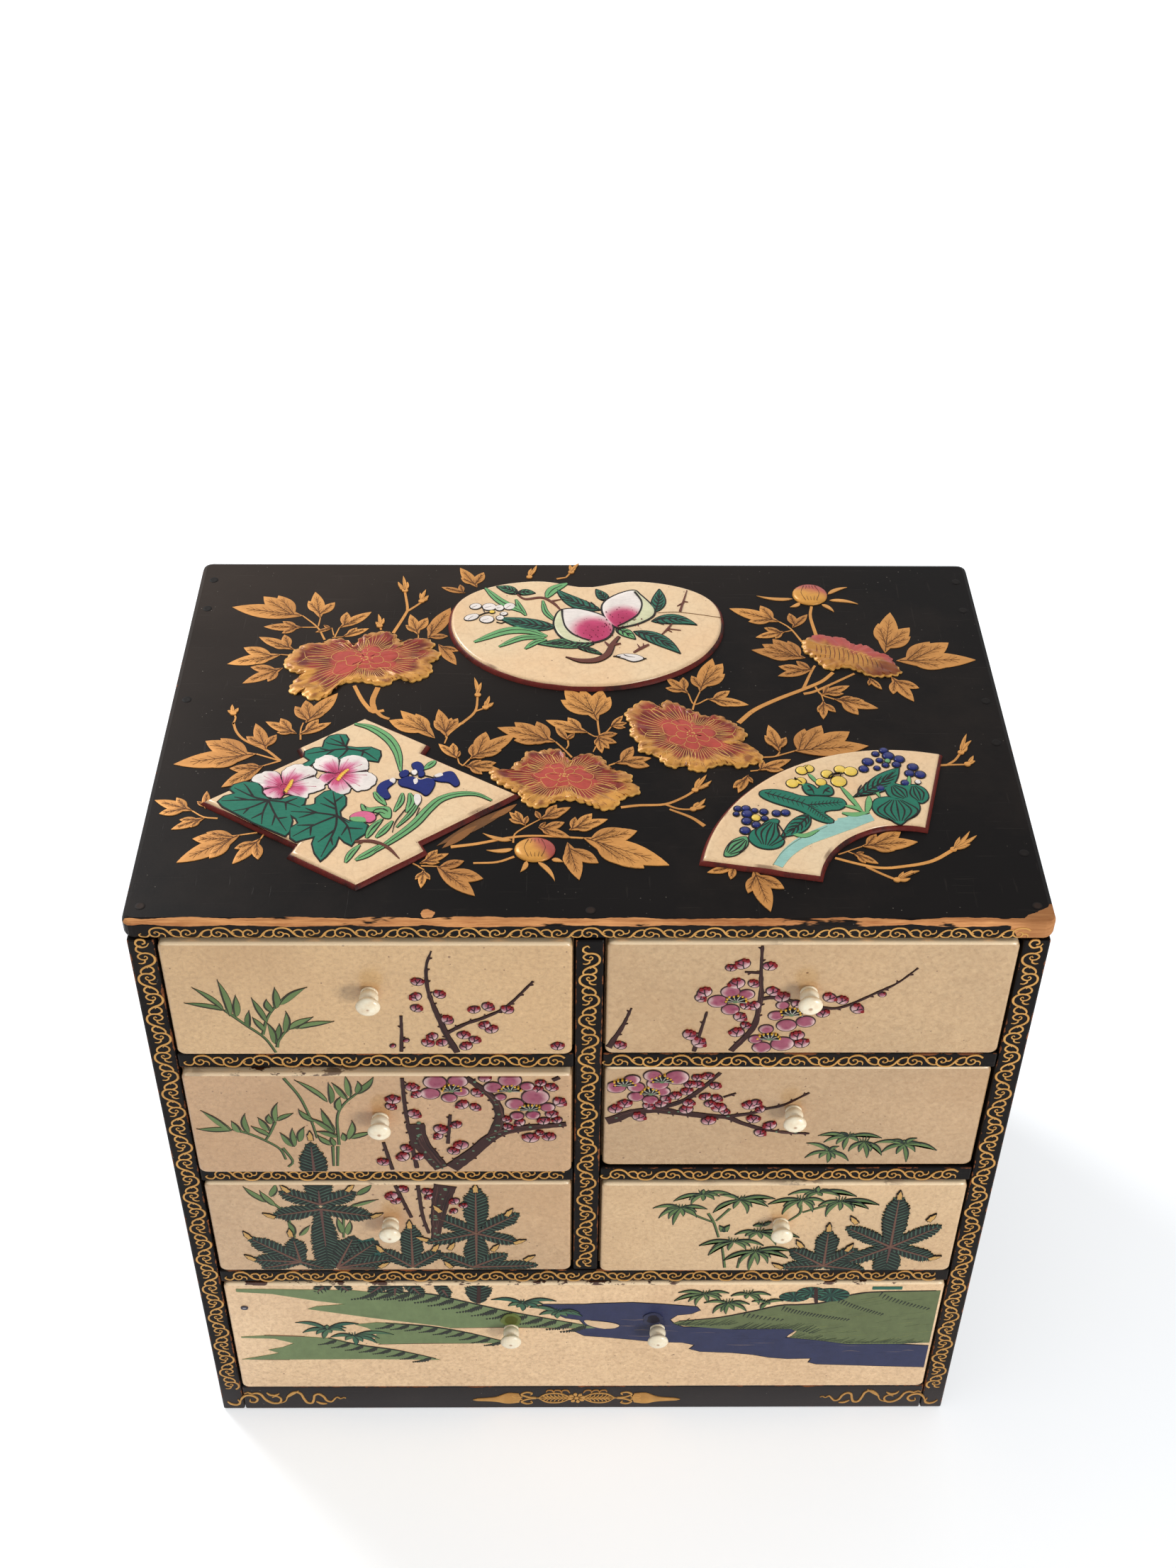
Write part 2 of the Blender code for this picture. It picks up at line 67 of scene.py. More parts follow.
# Places of the solids, in millimetres
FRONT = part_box("left_side")[0].y / MM
TOP = 309.0
UNDER_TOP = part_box("top_board")[0].z / MM
CENTRE_Y = (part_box("top_board")[0].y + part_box("top_board")[1].y) / 2 / MM
PLAQUE_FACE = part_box("peach_plaque")[1].z / MM
CARCASS = [
    "left_side", "right_side", "centre_partition", "shelf_upper_left", "shelf_upper_right",
    "shelf_lower_left", "shelf_lower_right", "shelf_full", "base_rail", "back_panel", "top_board",
]
# How far each drawer's tile stands out of the carcass's front
DRAWERS = {
    "drawer_upper_left": 1.0, "drawer_upper_right": 0.5, "drawer_middle_left": 2.4,
    "drawer_middle_right": -1.0, "drawer_lower_left": 0.4, "drawer_lower_right": 1.0,
    "drawer_bottom": 0.6,
}


# Colours


def linear(value):
    value /= 255
    return value / 12.92 if value <= 0.04045 else ((value + 0.055) / 1.055) ** 2.4


def rgb(r, g, b, gain=1.0):
    """A linear colour from display values, brightened by gain."""
    return tuple(min(0.95, linear(c) * gain) for c in (r, g, b)) + (1.0,)


def blend(a, b, t):
    return tuple(x + (y - x) * t for x, y in zip(a, b))


def ease(low, high, value):
    t = min(1.0, max(0.0, (value - low) / (high - low)))
    return t * t * (3 - 2 * t)


# Material nodes


def node(tree, kind, inputs=None, **settings):
    made = tree.nodes.new("ShaderNode" + kind)
    for key, value in settings.items():
        setattr(made, key, value)
    for key, value in (inputs or {}).items():
        if isinstance(value, bpy.types.NodeSocket):
            tree.links.new(value, made.inputs[key])
        else:
            made.inputs[key].default_value = value
    return made


def calc(tree, operation, a, b=0.0, clamp=False):
    return node(tree, "Math", {0: a, 1: b}, operation=operation, use_clamp=clamp).outputs[0]


def times(tree, a, b):
    return calc(tree, "MULTIPLY", a, b)


def plus(tree, a, b, clamp=False):
    return calc(tree, "ADD", a, b, clamp)


def minus(tree, a, b):
    return calc(tree, "SUBTRACT", a, b)


def greater(tree, a, b):
    return calc(tree, "MAXIMUM", a, b)


def lesser(tree, a, b):
    return calc(tree, "MINIMUM", a, b)


def split(tree, vector):
    """The three parts of a point."""
    return node(tree, "SeparateXYZ", {0: vector}).outputs


def span(tree, value, start, end, low=0.0, high=1.0):
    """A value moved from the range start to end into the range low to high, and held there."""
    return node(tree, "MapRange", {0: value, 1: start, 2: end, 3: low, 4: high}).outputs[0]


def reach_from(tree, x, z, spot_x, spot_z):
    """How far a point is from a spot, seen from the front."""
    dx, dz = minus(tree, x, spot_x), minus(tree, z, spot_z)
    return calc(tree, "SQRT", plus(tree, times(tree, dx, dx), times(tree, dz, dz)))


def mix(tree, factor, a, b, blend_type="MIX"):
    made = node(tree, "Mix", {0: factor, 6: a, 7: b}, data_type="RGBA", blend_type=blend_type)
    return made.outputs[2]


def ramp(tree, factor, *stops):
    """A grey ramp through (position, value) stops."""
    made = node(tree, "ValToRGB", {0: factor})
    elements = made.color_ramp.elements
    while len(elements) < len(stops):
        elements.new(0.5)
    for element, (position, value) in zip(elements, stops):
        element.position = position
        element.color = (value, value, value, 1.0)
    return made.outputs[0]


def grain(tree, vector, scale, detail=4.0, roughness=0.55, stretch=None):
    if stretch:
        vector = node(tree, "Mapping", {"Vector": vector, "Scale": stretch}).outputs[0]
    inputs = {"Vector": vector, "Scale": scale, "Detail": detail, "Roughness": roughness}
    return node(tree, "TexNoise", inputs).outputs[0]


def cells(tree, vector, scale, feature="F1", randomness=1.0):
    inputs = {"Vector": vector, "Scale": scale, "Randomness": randomness}
    return node(tree, "TexVoronoi", inputs, feature=feature).outputs[0]


COAT_ROUGHNESS = 0.12


def material(name, rough=0.4, specular=0.5, coat=0.0, metal=0.0):
    made = bpy.data.materials.new(name)
    made.use_nodes = True
    tree = made.node_tree
    shader = tree.nodes["Principled BSDF"]
    values = {
        "Roughness": rough, "Specular IOR Level": specular, "Coat Weight": coat,
        "Coat Roughness": COAT_ROUGHNESS, "Metallic": metal,
    }
    for key, value in values.items():
        shader.inputs[key].default_value = value
    return made, tree, shader


def where(tree):
    return node(tree, "TexCoord").outputs["Object"]


def set_bump(tree, shader, height, strength, distance=0.0003):
    made = node(tree, "Bump", {"Height": height, "Strength": strength, "Distance": distance})
    tree.links.new(made.outputs[0], shader.inputs["Normal"])


def edge_distance(tree, vector, low, high):
    """How far a point on a board's face is from the nearest edge of the board's box, in metres."""
    parts = split(tree, vector)
    a, b, c = (
        lesser(tree, minus(tree, parts[i], low[i]), minus(tree, high[i], parts[i]))
        for i in range(3)
    )
    between = lesser(tree, greater(tree, a, b), c)
    return greater(tree, lesser(tree, a, b), between)


def wood_colour(tree, vector, dark, light, stretch=(1.0, 12.0, 12.0)):
    lines = grain(tree, vector, 90.0, 6.0, 0.65, stretch)
    broad = grain(tree, vector, 14.0, 3.0, 0.5, stretch)
    tone = plus(tree, times(tree, lines, 0.6), times(tree, broad, 0.5))
    return mix(tree, ramp(tree, tone, (0.35, 0.0), (0.72, 1.0)), dark, light), lines


def lacquer_material(name, low, high, bare=None):
    """Old black lacquer: scratches, dust, hazy patches, a painted reflection that pales it towards the back
    left, greyer towards the foot, and brown wood where the edges are rubbed.
    """
    made, tree, shader = material(name, 0.42, 0.07)
    vector = where(tree)
    cloud = grain(tree, vector, 22.0, 5.0)
    fine = grain(tree, vector, 900.0, 3.0)
    scratch = grain(tree, vector, 34.0, 3.0, 0.6, (1.0, 26.0, 26.0))
    cross_scratch = grain(tree, vector, 30.0, 3.0, 0.6, (22.0, 1.5, 3.0))
    lines = greater(
        tree, ramp(tree, scratch, (0.66, 0.0), (0.70, 1.0)),
        ramp(tree, cross_scratch, (0.68, 0.0), (0.72, 1.0))
    )
    colour = mix(tree, cloud, rgb(9, 7, 7), rgb(22, 18, 17))
    x, y, z = split(tree, vector)
    # Painted reflection: each board is paler towards the back left, standing in for the lamp's sheen there;
    # it is joined to random hazy patches.
    away = minus(tree, times(tree, y, 4.4), times(tree, x, 3.0))
    back_left_sheen = times(
        tree, ramp(tree, away, (0.05, 0.0), (0.95, 0.55)), ramp(tree, cloud, (0.2, 0.6), (0.7, 1.0))
    )
    haze_and_sheen = ramp(tree, grain(tree, vector, 9.0, 6.0, 0.68), (0.48, 0.0), (0.75, 0.22))
    haze_and_sheen = greater(tree, haze_and_sheen, back_left_sheen)
    colour = mix(tree, haze_and_sheen, colour, rgb(74, 62, 54))
    foot = span(tree, z, 0.034, 0.004, 0.0, 0.3)
    colour = mix(tree, foot, colour, rgb(96, 90, 90))
    colour = mix(tree, times(tree, lines, 0.07), colour, rgb(92, 84, 76))
    dust = ramp(tree, cells(tree, vector, 330.0), (0.05, 1.0), (0.09, 0.0))
    dust = times(tree, dust, ramp(tree, grain(tree, vector, 60.0, 2.0), (0.52, 0.0), (0.62, 1.0)))
    colour = mix(tree, times(tree, dust, 0.35), colour, rgb(170, 162, 150))
    edge = edge_distance(tree, vector, low, high)
    ragged = grain(tree, vector, 260.0, 4.0, 0.7, (0.35, 1.0, 0.6))
    limit = times(tree, ramp(tree, ragged, (0.44, 0.0), (0.78, 1.0)), 0.0013)
    worn = calc(tree, "LESS_THAN", edge, limit)
    wood, _ = wood_colour(tree, vector, rgb(72, 40, 25), rgb(146, 88, 54))
    colour = mix(tree, worn, colour, wood)
    if bare:
        shown = bare(tree, vector)
        pale, _ = wood_colour(tree, vector, rgb(150, 88, 50), rgb(238, 172, 112))
        pale = mix(tree, span(tree, x, 0.138, 0.152, 0.0, 0.6), pale, rgb(126, 80, 48))
        colour = mix(tree, shown, colour, pale)
        worn = greater(tree, worn, shown)
    tree.links.new(colour, shader.inputs["Base Color"])
    rough = plus(tree, times(tree, cloud, 0.22), 0.30)
    rough = plus(tree, rough, times(tree, worn, 0.3), clamp=True)
    tree.links.new(rough, shader.inputs["Roughness"])
    height = minus(tree, times(tree, fine, 0.25), plus(tree, times(tree, lines, 0.35), worn))
    set_bump(tree, shader, height, 0.25)
    return made


RIGHT_END = 0.161
WORN_SPOT = (-0.056, -0.0952, TOP * MM)


def top_bare(tree, vector):
    """Bare wood along the top's front arris, with islands of black, at its right corner and in one spot."""
    x, y, z = split(tree, vector)
    wander = grain(tree, vector, 45.0, 4.0, 0.6, (1.0, 0.2, 0.2))
    reach = plus(tree, times(tree, wander, 0.0036), 0.0001)
    from_front = minus(tree, y, FRONT * MM)
    from_top = minus(tree, TOP * MM, z)
    on_top = calc(tree, "LESS_THAN", from_front, reach)
    arris = times(tree, on_top, calc(tree, "LESS_THAN", from_top, plus(tree, reach, 0.0003)))
    islands = grain(tree, vector, 80.0, 5.0, 0.62, (0.22, 1.0, 1.0))
    arris = times(tree, arris, ramp(tree, islands, (0.525, 1.0), (0.545, 0.0)))
    corner = plus(tree, minus(tree, RIGHT_END, x), times(tree, from_front, 1.6))
    corner = plus(tree, corner, times(tree, grain(tree, vector, 120.0, 5.0), 0.012))
    patch = calc(tree, "LESS_THAN", corner, 0.021)
    gap = node(tree, "VectorMath", {0: vector, 1: WORN_SPOT}, operation="DISTANCE").outputs["Value"]
    gap = plus(tree, gap, times(tree, grain(tree, vector, 260.0, 3.0), 0.0052))
    patch = greater(tree, patch, calc(tree, "LESS_THAN", gap, 0.0046))
    return greater(tree, arris, patch)


def glaze_material(name, base, warm, stains, face_top, chipped=0.5, grime=1.0):
    """Cream glaze: mottled, finely crackled, specked with iron, with a painted highlight along a tile's top
    edge, brown where its upper edge is chipped.
    """
    made, tree, shader = material(name, 0.3, 0.5, 0.15)
    vector = where(tree)
    cloud = grain(tree, vector, 28.0, 5.0)
    fine = grain(tree, vector, 640.0, 4.0, 0.75)
    colour = mix(tree, ramp(tree, cloud, (0.3, 0.0), (0.75, 1.0)), base, warm)
    colour = mix(tree, ramp(tree, fine, (0.38, 0.0), (0.70, 0.44 * grime)), colour, rgb(138, 98, 58))
    pores = ramp(tree, grain(tree, vector, 470.0, 5.0, 0.78), (0.5, 0.0), (0.7, 0.34 * grime))
    colour = mix(tree, pores, colour, rgb(142, 116, 82))
    broad = ramp(tree, grain(tree, vector, 13.0, 4.0, 0.6), (0.48, 0.0), (0.72, 0.30 * grime))
    colour = mix(tree, broad, colour, rgb(172, 128, 82))
    drift = node(tree, "TexNoise", {"Vector": vector, "Scale": 110.0}).outputs[1]
    wobble = node(
        tree, "VectorMath", {0: drift, 1: (0.0035, 0.0035, 0.0035), 2: vector}, operation="MULTIPLY_ADD"
    )
    crackle = cells(tree, wobble.outputs[0], 150.0, "DISTANCE_TO_EDGE")
    crackle = ramp(tree, crackle, (0.0, 1.0), (0.05, 0.0))
    colour = mix(tree, times(tree, crackle, 0.09), colour, rgb(122, 82, 48))
    for scale, size, share in ((95.0, 0.055, 0.54), (240.0, 0.09, 0.50)):
        speck = ramp(tree, cells(tree, vector, scale), (size * 0.6, 1.0), (size, 0.0))
        speck = times(
            tree, speck,
            ramp(tree, grain(tree, vector, scale * 0.4, 1.0), (share, 0.0), (share + 0.08, 1.0))
        )
        colour = mix(tree, times(tree, speck, 0.75), colour, rgb(92, 52, 28))
    x, _, z = split(tree, vector)
    for (sx, sz, size) in stains:
        gap = reach_from(tree, x, z, sx, sz)
        gap = plus(tree, gap, times(tree, cloud, 0.006))
        ring = span(tree, gap, size, size * 0.55)
        colour = mix(tree, times(tree, ring, 0.42), colour, rgb(176, 118, 62))
    chip = node(tree, "Attribute", attribute_name="Chip").outputs["Fac"]
    if face_top is not None:
        # Painted highlight: a pale band along the tile's top edge, where its rolled edge would catch the
        # light.
        rim = span(tree, z, face_top - 0.0013, face_top - 0.0008)
        colour = mix(tree, times(tree, rim, 0.7), colour, rgb(246, 222, 184))
        ragged = grain(tree, vector, 210.0, 4.0, 0.65, (0.55, 1.0, 1.0))
        lost = times(
            tree, ramp(tree, ragged, (0.52, 0.0), (0.56, 1.0)),
            ramp(tree, grain(tree, vector, 16.0, 2.0), (1.0 - chipped, 0.0), (1.06 - chipped, 1.0))
        )
        lip = calc(tree, "GREATER_THAN", plus(tree, z, times(tree, ragged, 0.0012)), face_top - 0.0004)
        colour = mix(tree, times(tree, lost, lip), colour, rgb(74, 42, 26))
    body = mix(tree, fine, rgb(58, 32, 20), rgb(132, 84, 52))
    colour = mix(tree, chip, colour, body)
    tree.links.new(colour, shader.inputs["Base Color"])
    rough = plus(tree, times(tree, fine, 0.16), 0.20)
    tree.links.new(plus(tree, rough, times(tree, chip, 0.45), clamp=True), shader.inputs["Roughness"])
    height = minus(
        tree, plus(tree, times(tree, cloud, 0.8), times(tree, fine, 0.2)), times(tree, crackle, 0.15)
    )
    set_bump(tree, shader, height, 0.1)
    return made


def paint_material(name, rough, specular, coat, metal, worn=None):
    """Colour from the drawing itself, broken up by brush streaks, thin places and tiny pits."""
    made, tree, shader = material(name, rough, specular, coat, metal)
    vector = where(tree)
    painted = node(tree, "Attribute", attribute_name="Paint").outputs["Color"]
    cloud = grain(tree, vector, 130.0, 5.0, 0.62)
    streak = grain(tree, vector, 420.0, 3.0, 0.6, (1.0, 2.5, 0.6))
    tone = plus(tree, times(tree, cloud, 0.42), times(tree, streak, 0.30))
    shade = ramp(tree, tone, (0.22, 0.80), (0.52, 1.14))
    colour = mix(tree, 1.0, painted, shade, "MULTIPLY")
    pits = ramp(tree, cells(tree, vector, 800.0), (0.07, 1.0), (0.12, 0.0))
    pits = times(tree, pits, ramp(tree, cloud, (0.5, 0.0), (0.6, 1.0)))
    colour = mix(tree, times(tree, pits, 0.4), colour, rgb(48, 36, 28))
    if worn:
        rubbed = ramp(tree, grain(tree, vector, 240.0, 6.0, 0.72), (0.63, 0.0), (0.72, worn))
        colour = mix(tree, rubbed, colour, rgb(58, 38, 24))
    tree.links.new(colour, shader.inputs["Base Color"])
    gloss = plus(tree, times(tree, streak, 0.2), rough - 0.08)
    tree.links.new(gloss, shader.inputs["Roughness"])
    set_bump(tree, shader, tone, 0.22, 0.0002)
    return made


def bone_material(name, tips):
    """Turned bone: fine lengthways fibres, yellowed patches and a brown dot where the lathe held the tip."""
    made, tree, shader = material(name, 0.3, 0.5, 0.2)
    vector = where(tree)
    fibre = grain(tree, vector, 380.0, 4.0, 0.6, (1.0, 0.18, 1.0))
    cloud = grain(tree, vector, 160.0, 3.0)
    colour = mix(tree, fibre, rgb(230, 204, 164), rgb(255, 246, 224))
    colour = mix(tree, ramp(tree, cloud, (0.55, 0.0), (0.8, 0.5)), colour, rgb(196, 152, 100))
    x, y, z = split(tree, vector)
    for (tx, ty, tz) in tips:
        gap = reach_from(tree, x, z, tx, tz)
        dot = span(tree, plus(tree, gap, times(tree, cloud, 0.0012)), 0.0015, 0.0009)
        near = calc(tree, "LESS_THAN", y, ty + 0.0012)
        colour = mix(tree, times(tree, times(tree, dot, near), 0.75), colour, rgb(150, 92, 46))
    tree.links.new(colour, shader.inputs["Base Color"])
    tree.links.new(plus(tree, times(tree, fibre, 0.2), 0.2), shader.inputs["Roughness"])
    set_bump(tree, shader, fibre, 0.15, 0.0001)
    return made


def drawer_wood_material(name):
    made, tree, shader = material(name, 0.6, 0.3)
    vector = where(tree)
    colour, lines = wood_colour(tree, vector, rgb(126, 86, 54), rgb(196, 150, 102), (9.0, 0.7, 9.0))
    grime = grain(tree, vector, 30.0, 5.0)
    colour = mix(tree, ramp(tree, grime, (0.5, 0.0), (0.8, 0.35)), colour, rgb(70, 46, 30))
    tree.links.new(colour, shader.inputs["Base Color"])
    tree.links.new(plus(tree, times(tree, lines, 0.25), 0.5), shader.inputs["Roughness"])
    set_bump(tree, shader, lines, 0.3)
    return made


# Lines and outlines, all in millimetres


def pts(text):
    return [tuple(float(n) for n in pair.split(",")) for pair in text.split()]


def rows(text):
    """Rows of points, one on each line. A line that starts with a space goes on with the row above."""
    return [pts(line) for line in text.strip().replace("\n ", " ").splitlines()]


def rows_with_width(text):
    """Rows of points with a lone number at their end."""
    found = []
    for line in text.strip().splitlines():
        *points, last = line.split()
        found.append((pts(" ".join(points)), float(last)))
    return found


def left_of(way):
    return Vector((-way.y, way.x))


def right_of(way):
    return Vector((way.y, -way.x))


def heading(turn):
    return Vector((math.cos(turn), math.sin(turn)))


def waver(p, scale, layer):
    """Smooth noise over a drawing's plane, between -1 and 1."""
    return noise.noise(Vector((p[0] * scale, p[1] * scale, layer)))


def smooth(path, step=1.0, closed=False):
    """A Catmull-Rom curve through the points, sampled about every step."""
    given = [Vector(p) for p in path]
    count, out = len(given), []
    for i in range(count if closed else count - 1):
        p1, p2 = given[i], given[(i + 1) % count]
        p0 = given[i - 1] if closed or i else p1 * 2 - p2
        p3 = given[(i + 2) % count] if closed or i + 2 < count else p2 * 2 - p1
        parts = max(1, round((p2 - p1).length / step))
        for k in range(parts):
            t = k / parts
            out.append(
                0.5
                * (
                    2 * p1 + (p2 - p0) * t + (2 * p0 - 5 * p1 + 4 * p2 - p3) * t * t
                    + (3 * p1 - p0 - 3 * p2 + p3) * t ** 3
                )
            )
    if not closed:
        out.append(given[-1])
    return out


def circle(x, y, rx, ry=None, sides=14, turn=0.0):
    ry = ry or rx
    c, s = math.cos(turn), math.sin(turn)
    ring = [
        (rx * math.cos(2 * math.pi * k / sides), ry * math.sin(2 * math.pi * k / sides))
        for k in range(sides)
    ]
    return [(x + u * c - v * s, y + u * s + v * c) for u, v in ring]


def area(outline):
    return sum(a[0] * b[1] - b[0] * a[1] for a, b in zip(outline, outline[1:] + outline[:1])) / 2


def grown(outline, distance):
    """An outline moved outwards by a distance, its mitres held to twice that distance."""
    outline = [Vector(p) for p in outline]
    side = math.copysign(1.0, area(outline))
    moved = []
    for i, point in enumerate(outline):
        before, after = point - outline[i - 1], outline[(i + 1) % len(outline)] - point
        if before.length < 1e-6 or after.length < 1e-6:
            moved.append(point.copy())
            continue
        normal = right_of(before).normalized() + right_of(after).normalized()
        if normal.length < 1e-3:
            normal = right_of(before)
        normal.normalize()
        facing = max(0.5, normal.dot(right_of(after).normalized()))
        moved.append(point + normal * (side * distance / facing))
    return moved


def cut_to(outline, low, high):
    """An outline clipped to a rectangle."""
    for axis, limit, keep in ((0, low[0], 1), (0, high[0], -1), (1, low[1], 1), (1, high[1], -1)):
        kept = []
        for i, b in enumerate(outline):
            a = outline[i - 1]
            a_in, b_in = (a[axis] - limit) * keep >= 0, (b[axis] - limit) * keep >= 0
            if a_in != b_in:
                t = (limit - a[axis]) / (b[axis] - a[axis])
                kept.append((a[0] + (b[0] - a[0]) * t, a[1] + (b[1] - a[1]) * t))
            if b_in:
                kept.append(tuple(b[:2]))
        outline = kept
        if len(outline) < 3:
            return []
    return outline


def leaf_outline(base, tip, width, bow=0.0, fat=0.42, parts=9):
    """A pointed leaf whose middle line bows sideways, widest at fat of its length."""
    base, tip = Vector(base), Vector(tip)
    along = tip - base
    across = left_of(along).normalized()
    left, right = [], []
    power = math.log(0.5) / math.log(fat)
    for k in range(parts + 1):
        t = k / parts
        middle = base + along * t + across * (bow * along.length * 4 * t * (1 - t))
        half = width / 2 * math.sin(math.pi * t ** power) ** 0.9 if 0 < k < parts else 0.04
        left.append(middle + across * half)
        right.append(middle - across * half)
    return left + right[::-1]


def leaf_line(base, tip, bow=0.0, start=0.0, end=1.0, offset=0.0, parts=6):
    """A line along a leaf, beside its middle line by offset."""
    base, tip = Vector(base), Vector(tip)
    along = tip - base
    across = left_of(along).normalized()
    ts = [start + (end - start) * k / parts for k in range(parts + 1)]
    return [
        base + along * t + across * (bow * along.length * 4 * t * (1 - t) + offset * math.sin(math.pi * t))
        for t in ts
    ]


# Meshes


def add_object(name, data):
    made = bpy.data.objects.new(name, data)
    bpy.context.scene.collection.objects.link(made)
    return made


def shade(mesh, sharpest):
    """Smooth shading, with edges kept that turn by more than so many degrees."""
    mesh.shade_smooth()
    mesh.set_sharp_from_angle(angle=math.radians(sharpest))


def band(low, high):
    """Faces between two closed rings of point numbers."""
    after = list(range(1, len(low))) + [0]
    return [(low[i], low[j], high[j], high[i]) for i, j in enumerate(after)]


# Drawing in relief

FIRST_LIFT = 0.02
LIFT_STEP = 0.004
OWN_STEPS = 17
OWN_STEP = 0.0008
SINK = 0.12
CHAMFER = 0.05
THINNEST = 0.03
SHARP_TURN = 50


class Relief:
    """Thin closed shells laid on a ground, collected into one mesh."""

    def __init__(self, place, ground=None, window=None):
        self.place, self.window = place, window
        self.ground = ground or (lambda u, v: 0.0)
        self.points, self.colours, self.under, self.over = [], [], [], []
        self.lift, self.turn = FIRST_LIFT, 0

    def own(self, height):
        """A height that no neighbouring shape shares, so that no two tops lie in one plane."""
        self.turn = (self.turn + 1) % OWN_STEPS
        return height + self.lift + OWN_STEP * self.turn

    def put(self, u, v, w, colour):
        self.points.append((u, v, w + self.ground(u, v)))
        self.colours.append(colour)
        return len(self.points) - 1

    def step(self):
        """Lifts what comes next above what is there."""
        self.lift += LIFT_STEP

    def shell(self, outline, height, colour, sink=SINK, chamfer=CHAMFER):
        """A flat-topped shape."""
        if self.window:
            outline = cut_to([tuple(p) for p in outline], *self.window)
        if len(outline) < 3:
            return
        if area([tuple(p) for p in outline]) < 0:
            outline = outline[::-1]
        top = grown(outline, -chamfer)
        low = [self.put(p[0], p[1], -sink, colour) for p in outline]
        level = self.own(height)
        high = [self.put(p[0], p[1], level, colour) for p in top]
        self.under.append(low[::-1])
        self.over += band(low, high) + [tuple(high)]

    def ribbon(self, path, widths, height, colour, step=1.0, sink=SINK, sharp=False):
        """A stroke of changing width along a path. widths are spread evenly from its start to its end."""
        line = [Vector(p) for p in path] if sharp else smooth(path, step)
        if self.window:
            (u0, v0), (u1, v1) = self.window
            line = [p for p in line if u0 <= p.x <= u1 and v0 <= p.y <= v1]
        if len(line) < 2:
            return
        spans = [0.0]
        for a, b in zip(line, line[1:]):
            spans.append(spans[-1] + (b - a).length)
        if spans[-1] < 1e-6:
            return
        rings, top = [], self.own(height)
        for i, p in enumerate(line):
            t = spans[i] / spans[-1] * (len(widths) - 1)
            k = min(int(t), len(widths) - 2)
            half = max(THINNEST, (widths[k] + (widths[k + 1] - widths[k]) * (t - k)) / 2)
            a, b = line[max(0, i - 1)], line[min(len(line) - 1, i + 1)]
            d = b - a
            d = d.normalized() if d.length > 1e-9 else Vector((1, 0))
            n = left_of(d)
            inner = max(half - CHAMFER, half * 0.7)
            ring = []
            for side, size, w in ((-1, half, -sink), (-1, inner, top), (1, inner, top), (1, half, -sink)):
                q = p + n * (side * size)
                ring.append(self.put(q.x, q.y, w, colour))
            rings.append(ring)
        self.over.append(tuple(rings[0]))
        for a, b in zip(rings, rings[1:]):
            self.under.append((a[3], b[3], b[0], a[0]))
            for k in range(3):
                self.over.append((a[k], b[k], b[k + 1], a[k + 1]))
        self.over.append(tuple(rings[-1][::-1]))

    def mound(self, outline, centre, heights, colour_at, sink=SINK):
        """A shape raised in rings towards its centre.

        heights are pairs: a share of the radius, then a height or a function of the point and the share.
        """
        if area([tuple(p) for p in outline]) < 0:
            outline = outline[::-1]
        centre = Vector(centre)
        rings = []
        for share, height in [(1.0, -sink)] + list(heights):
            ring = []
            for p in outline:
                q = centre + (Vector(p) - centre) * share
                if self.window:
                    (u0, v0), (u1, v1) = self.window
                    q = Vector((min(u1, max(u0, q.x)), min(v1, max(v0, q.y))))
                w = height(q, share) if callable(height) else height
                ring.append(self.put(q.x, q.y, w + (self.lift if w > 0 else 0.0), colour_at(q, share)))
            rings.append(ring)
        self.under.append(rings[0][::-1])
        for low, high in zip(rings, rings[1:]):
            self.over += band(low, high)
        self.over.append(tuple(rings[-1]))

    def build(self, name, paint, body, slot, rounded=False):
        faces = self.under + self.over
        mesh = bpy.data.meshes.new(name)
        mesh.from_pydata([self.place(*p) for p in self.points], [], faces)
        mesh.materials.append(paint)
        us, vs = [p[0] for p in self.points], [p[1] for p in self.points]
        u0, v0, size = min(us), min(vs), max(max(us) - min(us), max(vs) - min(vs)) * 1.002
        corners = [0] * len(mesh.loops)
        mesh.loops.foreach_get("vertex_index", corners)
        mesh.uv_layers.new(name="OFBake")
        mesh.color_attributes.new("Paint", "FLOAT_COLOR", "CORNER")
        flat = [(n - n0) / size for k in corners for n, n0 in zip(self.points[k], (u0, v0))]
        mesh.uv_layers["OFBake"].data.foreach_set("uv", flat)
        mesh.color_attributes["Paint"].data.foreach_set(
            "color", [n for k in corners for n in self.colours[k]]
        )
        if rounded:
            shade(mesh, SHARP_TURN)
        made = add_object(name, mesh)
        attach(made, body)
        return made


def front_place(y):
    """Drawings on an upright face that looks towards -Y."""
    return lambda u, v, w: Vector((u, y - w, v)) * MM


def top_place(z):
    """Drawings on a level face, about the middle of the top board."""
    return lambda u, v, w: Vector((u, CENTRE_Y + v, z + w)) * MM


# Solids' own materials


def dress_boards():
    for name in CARCASS:
        low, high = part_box(name)
        bare = top_bare if name == "top_board" else None
        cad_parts[name].data.materials.clear()
        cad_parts[name].data.materials.append(lacquer_material(f"lacquer_{name}", low, high, bare))
    wood = drawer_wood_material("drawer_wood")
    replaced = ("_tile", "_knob", "_plaque")
    for name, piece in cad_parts.items():
        if name not in CARCASS and not name.endswith(replaced):
            piece.data.materials.clear()
            piece.data.materials.append(wood)


# Tiles, plaques and knobs


def ring_numbers(rings):
    """The point numbers of rings that hold equally many points."""
    count = len(rings[0])
    return [tuple(range(k * count, (k + 1) * count)) for k in range(len(rings))]


def rolled(radius, parts):
    """Depth and inset of the steps of a rolled edge, from the side to the face."""
    turns = [math.pi / 2 * k / parts for k in range(1, parts + 1)]
    return [(radius * (1 - math.sin(a)), radius * (1 - math.cos(a))) for a in turns]


